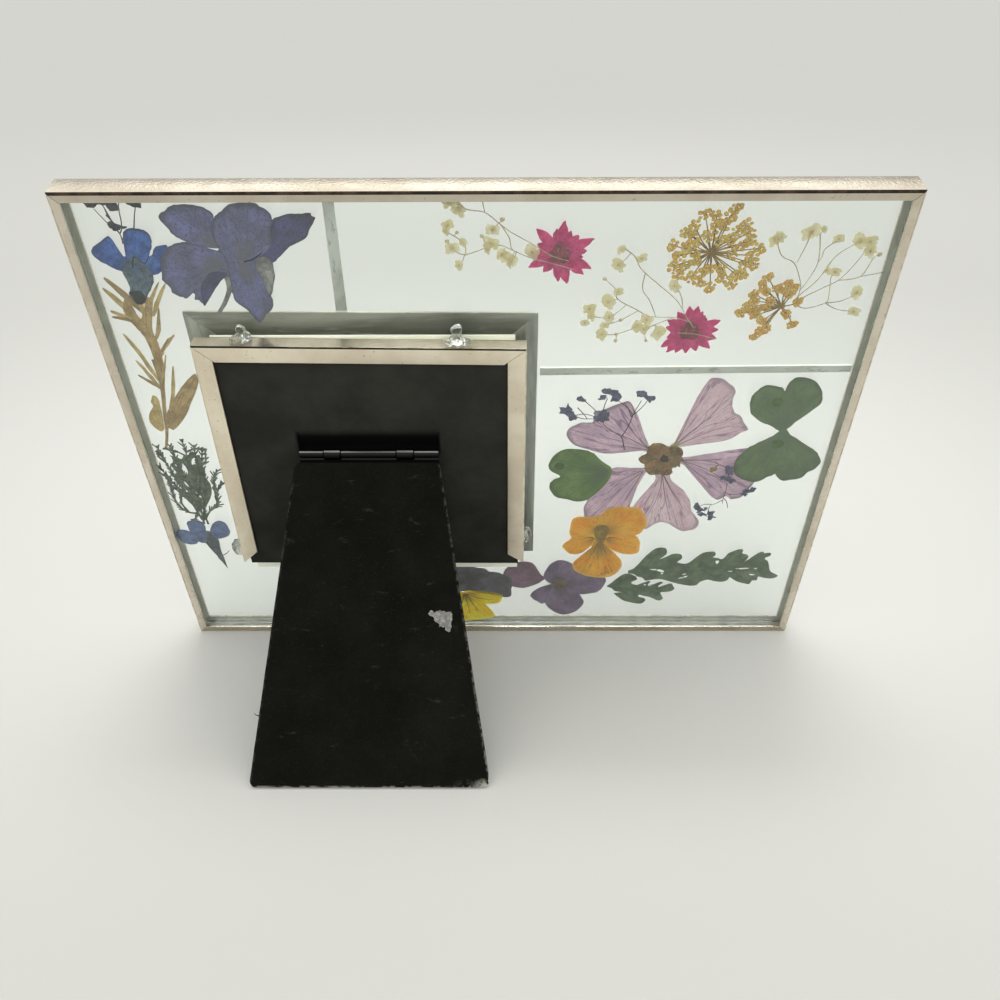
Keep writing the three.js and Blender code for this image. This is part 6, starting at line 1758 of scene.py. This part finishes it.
# ---- violas -------------------------------------------------------------------------------------------------------
class FLOWERFRAME_OT_violas(bpy.types.Operator):
    """Make the orange, the purple and the dark and yellow viola"""

    bl_idname = "flowerframe.violas"
    bl_label = "Violas"

    def execute(self, context):
        self.orange()
        self.purple()
        self.dark_yellow()
        return {"FINISHED"}

    def orange(self):
        face = petal_finish("viola_orange_face", (255, 202, 78), (236, 172, 54), (196, 138, 50), (240, 196, 100),
            (176, 140, 66), veins=9, vein_share=0.4, mottle=110, heart_reach=0.42, glow=0.45, streak=0.4)
        lip = petal_finish("viola_orange_lip", (255, 198, 70), (232, 170, 52), (150, 112, 52), (240, 198, 104),
            (164, 136, 66), veins=12, vein_share=0.6, mottle=110, heart_reach=0.6, glow=0.4, streak=0.6)
        heart = petal_finish("viola_orange_heart", (176, 148, 66), (142, 118, 54), (108, 88, 46), None, None, veins=6,
            vein_share=0.5, mottle=320, glow=0.25)
        p = Pressing("viola_orange_pressed", MIDDLE_SHEET, 0.1)
        p.petal([(43.4, 58.5), (41, 55.6), (37, 55), (32, 56), (31, 59), (31.3, 62), (31.7, 65.5), (33, 67),
            (35.5, 67.5), (39, 67.2), (43, 68.4), (46.4, 66.4), (46, 61)], (43, 58.8), 0, -0.02, 11)
        p.petal([(43.2, 57.4), (43.4, 62), (43.2, 68), (44.4, 71), (47, 72.4), (52, 72.7), (56.8, 72.4), (58.5, 70.5),
            (60.3, 67), (61, 63), (60, 60.3), (57.5, 57), (51, 55.8), (46, 56)], (44.4, 57.8), 0, 0.03, 12)
        p.petal([(42, 55.8), (38, 57.4), (32.6, 56.4), (31.2, 54.4), (29, 52), (28.7, 50), (31, 46.8), (33.5, 45.8),
            (36, 46.5), (38.2, 48.5), (40.5, 51.6), (42, 54)], (41.6, 54.9), 0, 0.05, 10)
        p.petal([(44.6, 55.6), (49, 57.4), (54, 57.6), (57.6, 56.6), (59.3, 52.5), (59.3, 47.5), (57.5, 46.2),
            (54.5, 46), (51, 47), (48, 48.8), (45.8, 51.8), (44.6, 54)], (45, 54.9), 0, 0.06, 10)
        p.petal([(41, 54.6), (40, 50), (38.3, 46.4), (35, 43.4), (33, 40), (34, 36.5), (37, 34), (41, 32.2),
            (48, 31.9), (51.5, 34.5), (53, 38), (52.7, 42), (50.6, 45.6), (48, 48.5), (46.4, 51.6), (45.4, 54.6)],
            (43.3, 54), 1, 0.08, 12)
        p.petal([(40.4, 60.4), (41.4, 62.4), (43.4, 63), (45.8, 62.2), (46.6, 60), (45.8, 57), (45, 54), (43.6, 50.6),
            (42, 54), (41, 57.4)], (43.5, 58), 2, 0.11, 6)
        for u in (-1.6, -0.5, 0.6, 1.7):
            p.strand([(43.4 + u * 0.3, 54), (43.5 + u * 0.9, 49.6), (43.5 + u * 1.9, 45.4)], 0.36, 0.12, 3, 0.13,
                flat=0.16, sides=4)
        p.strand([(40.6, 55.6), (38.6, 56), (35.6, 54.6)], 0.5, 0.14, 3, 0.12, flat=0.16, sides=4)
        p.strand([(46.4, 55.6), (48.8, 55.8), (52, 54.4)], 0.5, 0.14, 3, 0.12, flat=0.16, sides=4)
        p.build([face, lip, heart, plain_plant_finish("viola_whisker", (118, 92, 48), (92, 70, 38))],
            "viola_orange")

    def purple(self):
        face = petal_finish("viola_purple_face", (156, 138, 162), (124, 108, 130), (88, 76, 94), (132, 118, 136),
            (116, 102, 106), veins=9, vein_share=0.35, mottle=130, heart_reach=0.5, glow=0.35, streak=0.35)
        brown = petal_finish("viola_purple_brown", (160, 132, 148), (130, 104, 118), (92, 72, 82), (136, 116, 128),
            None, veins=8, vein_share=0.3, mottle=110, glow=0.35)
        p = Pressing("viola_purple_pressed", FRONT_SHEET, 0.1)
        p.petal([(5, 34.5), (7.5, 38.5), (9.5, 40.5), (13.5, 41), (16.5, 40.2), (18.5, 37), (20.4, 33), (22, 30.6),
            (20, 28), (17, 26), (13.5, 24.5), (10, 25), (7, 26.6), (5.2, 30)], (21.4, 29.6), 1, 0.0, 12)
        p.petal([(21.5, 32.5), (23.5, 38.5), (26, 41.2), (29, 41.8), (32, 40.5), (34.6, 37.4), (35, 33), (31, 28.4),
            (26.4, 27), (23, 28.6)], (26.4, 28.6), 0, 0.03, 11)
        p.petal([(32.6, 39.6), (38, 36.2), (44, 33), (46.4, 31.5), (47.5, 29.5), (47, 26.5), (45, 22.5), (41, 20.8),
            (37.5, 20.5), (33, 21.8), (29, 25), (28, 29), (30.6, 34)], (29.8, 27.8), 0, -0.02, 12)
        p.petal([(22, 14.3), (19, 16), (16.5, 18.5), (16.3, 20.5), (18.5, 23.5), (20.4, 25), (24.6, 27), (27.6, 25.6),
            (26.6, 20)], (25.6, 25.4), 0, 0.02, 9)
        p.petal([(24, 22.4), (25.6, 25.4), (29, 27), (33, 25), (36.6, 21.2), (38.5, 17), (39, 14.5), (37, 10.5),
            (34, 8), (30, 7), (26.5, 9), (23.5, 12.5), (22.7, 14.8), (22.8, 18.6)], (28.6, 25.2), 0, 0.06, 12)
        p.petal([(25, 27.6), (26.6, 30.4), (29.6, 30.6), (31.6, 28), (31, 25), (28.4, 23.6), (25.8, 24.8)],
            (28.4, 27.4), 2, 0.09, 5)
        p.build([face, brown, plain_plant_finish("viola_purple_heart", (128, 118, 102), (94, 84, 76), None, 420)],
            "viola_purple")

    def dark_yellow(self):
        dark = petal_finish("viola_dark_face", (124, 122, 128), (92, 90, 94), (68, 66, 70), (108, 108, 112), None,
            veins=8, vein_share=0.3, mottle=140, glow=0.3)
        yellow = petal_finish("viola_yellow_face", (255, 232, 84), (255, 206, 62), (176, 156, 50), (240, 228, 110),
            (168, 150, 62), veins=9, vein_share=0.5, mottle=120, heart_reach=0.35, glow=0.65, streak=0.4, grain=0.08)
        p = Pressing("viola_dark_yellow_pressed", MIDDLE_SHEET, 0.1)
        p.petal([(-25, 34), (-21, 39), (-14, 40.5), (-10, 39.8), (-7, 38), (-3, 37.3), (-1, 35), (-1.4, 30), (-4, 25),
            (-9, 23.4), (-15, 23), (-22, 25), (-25.4, 29)], (-11, 25.4), 0, -0.02, 12)
        p.petal([(-2.4, 34.6), (2, 35), (5, 33.5), (8, 31), (8.5, 28), (8.2, 24.5), (8, 20), (5, 19.2), (2, 20.6),
            (-4, 21.6), (-9, 23.4), (-8, 28)], (-8, 24.6), 0, 0.02, 12)
        p.petal([(-11, 23.4), (-5, 23.2), (3.6, 21.2), (4.5, 19.5), (3, 15.5), (-2, 14.8), (-7, 16.4), (-11.6, 19.6)],
            (-10.6, 22), 1, 0.06, 10)
        p.petal([(-10, 22), (-7.4, 20), (-3.6, 15.6), (-0.4, 11), (1, 6.5), (-2, 5), (-8, 4), (-13, 4), (-17, 8),
            (-18, 14), (-16.6, 20), (-13.4, 22.6)], (-11.4, 21.4), 1, 0.09, 12)
        for line in (((-11, 21), (-8.4, 15.6), (-5.6, 9)), ((-11.4, 21), (-10.4, 14.6), (-9.4, 8)),
                ((-10.6, 21.4), (-5.6, 18.6), (0, 17.6)), ((-11.8, 20.8), (-13, 14), (-13.4, 9))):
            p.strand(line, 0.5, 0.14, 2, 0.13, flat=0.14, sides=4)
        p.build([dark, yellow, plain_plant_finish("viola_yellow_whisker", (130, 116, 40), (104, 92, 34))],
            "viola_dark_yellow")


# ---- frond --------------------------------------------------------------------------------------------------------
class FLOWERFRAME_OT_frond(bpy.types.Operator):
    """Make the flat green frond"""

    bl_idname = "flowerframe.frond"
    bl_label = "Green frond"

    UPPER = [
        (56, 35.8), (58, 37), (60, 40), (62, 44), (64, 47), (66, 49.3), (68.5, 49.8), (70.3, 49), (70.8, 46.5),
        (70, 44.9), (68, 42.8), (71.5, 44.8), (73, 46), (75.5, 46.2), (77, 45.2), (77.2, 43), (75.5, 41.2),
        (77.5, 40.3),
        (80, 40.5), (82.5, 43.5), (85, 46.5), (87.5, 47.4), (90, 47.3), (90.5, 45.2), (89.5, 44), (92, 43.6),
        (93.2, 42.8), (94.5, 44), (95.5, 46.3), (97.5, 47.8), (99.3, 48.8), (101.2, 48.5), (101, 46.6), (102, 46),
        (103.5, 45.5), (104, 43.8), (103.2, 42), (101.8, 40.3), (104.5, 43), (106.5, 45.5), (108.5, 47.3),
        (109.8, 47), (110, 46.3), (111.5, 46.8), (112.8, 46.3), (112.5, 44.8), (111, 44), (111, 42.7), (112.3, 41.8),
        (113.3, 39), (114, 36.5), (115, 35), (118, 33), (117, 31.5), (115, 31), (112.5, 31.5), (110, 32.3), (110, 30),
        (108, 29.8), (107.3, 27.7), (105.5, 27.8), (102, 29), (99.5, 31), (98.3, 31.8), (97.8, 30.2),
        (95.5, 29), (92, 29.5), (89.5, 30.3), (86.5, 28.8), (85.5, 27), (83, 26.5), (80, 27), (76, 28.3), (72, 30),
        (69, 30.8), (65, 30), (63.5, 29.8), (62.5, 31.5), (60.5, 32.2), (58.6, 33.8), (56.6, 34.2),
    ]
    LOWER = [
        (48, 26.3), (49.5, 28), (51, 30), (53.5, 33), (55.5, 34.2), (57.5, 33.8), (59.5, 32.2), (60.3, 30.5),
        (57.8, 28.6), (60.3, 26.9), (62, 27.8), (65, 29.5), (66, 29), (65, 27), (66, 26.3), (69, 28.5), (70.5, 29),
        (71.2, 28.2),
        (69.5, 26.5), (70, 25.8), (73, 27.5), (75, 27.8), (75.8, 26), (76.5, 24.8), (75.5, 23.2), (73, 22.5),
        (70.8, 22.3), (71.8, 19.8), (72.3, 18), (71, 17), (69.5, 17.3), (66.5, 19.3), (64.2, 19.8), (62.3, 20.8),
        (61.8, 19.5),
        (64, 18.6), (65, 17.5), (64.5, 15.8), (63, 14.8), (60, 15.3), (56, 16.8), (53.5, 19), (51.3, 21.8),
        (55.3, 22.2), (51.8, 23), (50.3, 24.8), (49, 25.5),
    ]
    HOLES = [[(64.5, 36.9), (67, 37), (69.6, 36.6), (71, 35.4), (70, 33.4), (69.4, 35.2), (67.4, 36)],
        [(99.5, 37.3), (103, 37.6), (105.8, 37.5), (102.6, 36.7)], [(91, 41.8), (92.6, 42), (92, 39.8)],
        [(106, 34), (108.6, 33.5), (107.2, 32.9)], [(76.9, 31), (79.4, 32.3), (81.2, 32.9), (79.5, 31.3)],
        [(78.2, 33.6), (80, 34.3), (79.8, 33.5)], [(96.6, 35.6), (98.8, 35.9), (98.6, 35.2)],
        [(107, 37.6), (109, 37.8), (108, 36.8)]]
    RIBS = (
        ((50, 27.5), (56, 30.5), (62, 33.5), (72, 35), (84, 36), (96, 35), (106, 36), (113, 34)),
        ((62, 33.5), (64, 40), (67.5, 47.6)), ((66, 34.4), (70, 39), (75.4, 44.4)),
        ((76, 35.6), (82, 40), (87.6, 45.6)),
        ((88, 35.8), (94, 40), (98.4, 46.6)), ((95, 35.2), (101, 40), (103, 43.6)),
        ((99, 35.4), (105, 41), (109, 46)), ((104, 36), (109, 38), (112, 39)), ((100, 35), (104, 31), (106.8, 28.8)),
        ((88, 35.8), (92, 32), (96, 30.4)), ((76, 35.4), (80, 31), (84, 28)),
        ((50, 26), (58, 24.6), (66, 24), (74, 25)), ((56, 24.8), (62, 21.4), (70, 18.4)),
        ((53, 25), (58, 20), (63, 16.6)), ((58, 25), (64, 26.4), (70, 28)),
    )

    def execute(self, context):
        green = scale_leaf_finish("frond_green", (102, 118, 90), (70, 86, 64), (46, 58, 44))
        rib = plain_plant_finish("frond_rib", (88, 102, 78), (62, 74, 56), None, 500)
        p = Pressing("green_frond_pressed", MIDDLE_SHEET, 0.1)
        p.leaf(self.UPPER, 0, 0.0, self.HOLES, 1.0, 2)
        p.leaf(self.LOWER, 0, 0.02, [[(63.4, 27.3), (64.4, 27.4), (63.8, 26.4)]], 1.0, 2)
        for line in self.RIBS:
            p.strand(line, 0.5, 0.2, 1, 0.04, flat=0.22)
        p.build([green, rib], "green_frond")
        return {"FINISHED"}


# ---- stage --------------------------------------------------------------------------------------------------------
class FLOWERFRAME_OT_stage(bpy.types.Operator):
    """Make the pale floor, the soft light and the camera"""

    bl_idname = "flowerframe.stage"
    bl_label = "Stage"

    CAMERA_PLACE = (5.99, 333.56, 259.75)  # millimetres in the drawing
    CAMERA_TURN = (44.32, -0.317, 0.195)  # degrees, as one turn about one axis
    LENS, SENSOR = 34.697, 36.0
    # the sky brightens this way, over this span of it, from one share of the brightness to the other
    SKY_WAY, SKY_SPAN, SKY_LIGHT = (0, 0.75, 0.3), (-0.35, 0.8), (0.42, 1.6)

    def execute(self, context):
        tints = context.scene.flower_frame_tints
        bpy.ops.mesh.primitive_circle_add(vertices=96, radius=14, fill_type="NGON", location=(0, 0, 0))
        floor = bpy.context.active_object
        floor.name = "floor"
        f = Finish("pale_floor", Roughness=0.7, Specular_IOR_Level=0.2)
        where = f.place()
        shade = f.mix(f.math("MULTIPLY", f.noise(where, 3, 4), 0.18), (*tints.floor, 1), colour(164, 164, 160))
        floor.data.materials.append(f.give(Base_Color=shade, Normal=f.relief(f.noise(where, 900, 3), 0.00002, 0.3)))

        world = bpy.data.worlds.new("soft_studio")
        context.scene.world = world
        world.use_nodes = True
        tree = world.node_tree
        back = tree.nodes["Background"]
        # brighter overhead and on the side of the leg, so that what lies between the panes is well lit
        place = tree.nodes.new("ShaderNodeTexCoord")
        lean = tree.nodes.new("ShaderNodeVectorMath")
        lean.operation = "DOT_PRODUCT"
        lean.inputs[1].default_value = self.SKY_WAY
        ramp = tree.nodes.new("ShaderNodeMapRange")
        dim, bright = (share * tints.brightness for share in self.SKY_LIGHT)
        for key, value in zip(("From Min", "From Max", "To Min", "To Max"), (*self.SKY_SPAN, dim, bright)):
            ramp.inputs[key].default_value = value
        tree.links.new(place.outputs["Generated"], lean.inputs[0])
        tree.links.new(lean.outputs["Value"], ramp.inputs[0])
        tree.links.new(ramp.outputs[0], back.inputs["Strength"])
        back.inputs["Color"].default_value = (*tints.sky, 1)

        self.lamp("key", "SUN", (0.1, -0.5, 1.5), (0, 0, 0), tints.key, math.radians(70))
        # the panel is what the top rail mirrors; the others light the floor behind and in front
        self.lamp("panel", "AREA", (0, -0.41, 0.83), (0, -0.005, 0.199), 0.105, (0.78, 0.17), 80)
        self.lamp("far_fill", "AREA", (0, -0.9, 0.5), (0, -0.6, 0), 1.0, (0.9, 0.5), mirrored=False)
        self.lamp("near_pool", "AREA", (0, -0.18, 0.9), (0, -0.18, 0), 0.5, (0.5, 0.2), 50, False)
        self.lamp("front_pool", "AREA", (-0.03, 0.45, 0.6), (-0.03, 0.01, 0), 0.04, (0.4, 0.1), 40, False)

        cam = bpy.data.objects.new("camera", bpy.data.cameras.new("camera"))
        context.scene.collection.objects.link(cam)
        turn = Vector(self.CAMERA_TURN)
        axes = Matrix.Rotation(math.radians(turn.length), 3, turn.normalized()).transposed()
        facing = (STANDING.to_3x3() * (1 / MM)) @ axes
        cam.matrix_world = Matrix.Translation(STANDING @ Vector(self.CAMERA_PLACE)) @ facing.to_4x4()
        cam.data.lens, cam.data.sensor_width = self.LENS, self.SENSOR
        cam.data.clip_start, cam.data.clip_end = 0.01, 50
        context.scene.camera = cam
        context.scene.view_settings.view_transform = "Standard"
        return {"FINISHED"}

    def lamp(self, name, kind, place, aim, power, spread, cone=180, mirrored=True):
        data = bpy.data.lights.new(name, kind)
        data.energy = power
        if kind == "SUN":
            data.angle = spread
        else:
            data.shape, data.size, data.size_y = "RECTANGLE", *spread
            data.spread = math.radians(cone)
        obj = bpy.data.objects.new(name, data)
        obj.visible_camera, obj.visible_glossy = False, mirrored
        bpy.context.scene.collection.objects.link(obj)
        obj.location = place
        obj.rotation_mode = "QUATERNION"
        obj.rotation_quaternion = (Vector(aim) - Vector(place)).to_track_quat("-Z", "Y")


class FLOWERFRAME_PT_panel(bpy.types.Panel):
    """Lists the pieces and the sizes in the 3D view's sidebar"""

    bl_idname = "FLOWERFRAME_PT_panel"
    bl_label = "Pressed Flower Frame"
    bl_space_type = "VIEW_3D"
    bl_region_type = "UI"
    bl_category = "Flower Frame"

    def draw(self, context):
        for group in (context.scene.flower_frame_sizes, context.scene.flower_frame_tints):
            box = self.layout.box()
            for name in group.bl_rna.properties.keys():
                if name not in ("rna_type", "name"):
                    box.prop(group, name)
        for operator in OPERATORS:
            self.layout.operator(operator.bl_idname)


OPERATORS = (
    FLOWERFRAME_OT_outer_rails,
    FLOWERFRAME_OT_panes,
    FLOWERFRAME_OT_lead_strips,
    FLOWERFRAME_OT_photo_rails,
    FLOWERFRAME_OT_board,
    FLOWERFRAME_OT_hinge,
    FLOWERFRAME_OT_easel_leg,
    FLOWERFRAME_OT_glue_beads,
    FLOWERFRAME_OT_blue_flowers,
    FLOWERFRAME_OT_stalk_and_foliage,
    FLOWERFRAME_OT_gypsophila,
    FLOWERFRAME_OT_daisies,
    FLOWERFRAME_OT_umbels,
    FLOWERFRAME_OT_mallow,
    FLOWERFRAME_OT_heart_leaves,
    FLOWERFRAME_OT_floret_sprigs,
    FLOWERFRAME_OT_violas,
    FLOWERFRAME_OT_frond,
    FLOWERFRAME_OT_stage,
)
CLASSES = (FrameSizes, FrameTints, *OPERATORS, FLOWERFRAME_PT_panel)


def register():
    for cls in CLASSES:
        bpy.utils.register_class(cls)
    bpy.types.Scene.flower_frame_sizes = bpy.props.PointerProperty(type=FrameSizes)
    bpy.types.Scene.flower_frame_tints = bpy.props.PointerProperty(type=FrameTints)


def unregister():
    del bpy.types.Scene.flower_frame_sizes
    del bpy.types.Scene.flower_frame_tints
    for cls in reversed(CLASSES):
        bpy.utils.unregister_class(cls)


def main():
    register()
    for operator in OPERATORS:
        group, name = operator.bl_idname.split(".")
        getattr(getattr(bpy.ops, group), name)()


if __name__ == "__main__":
    main()
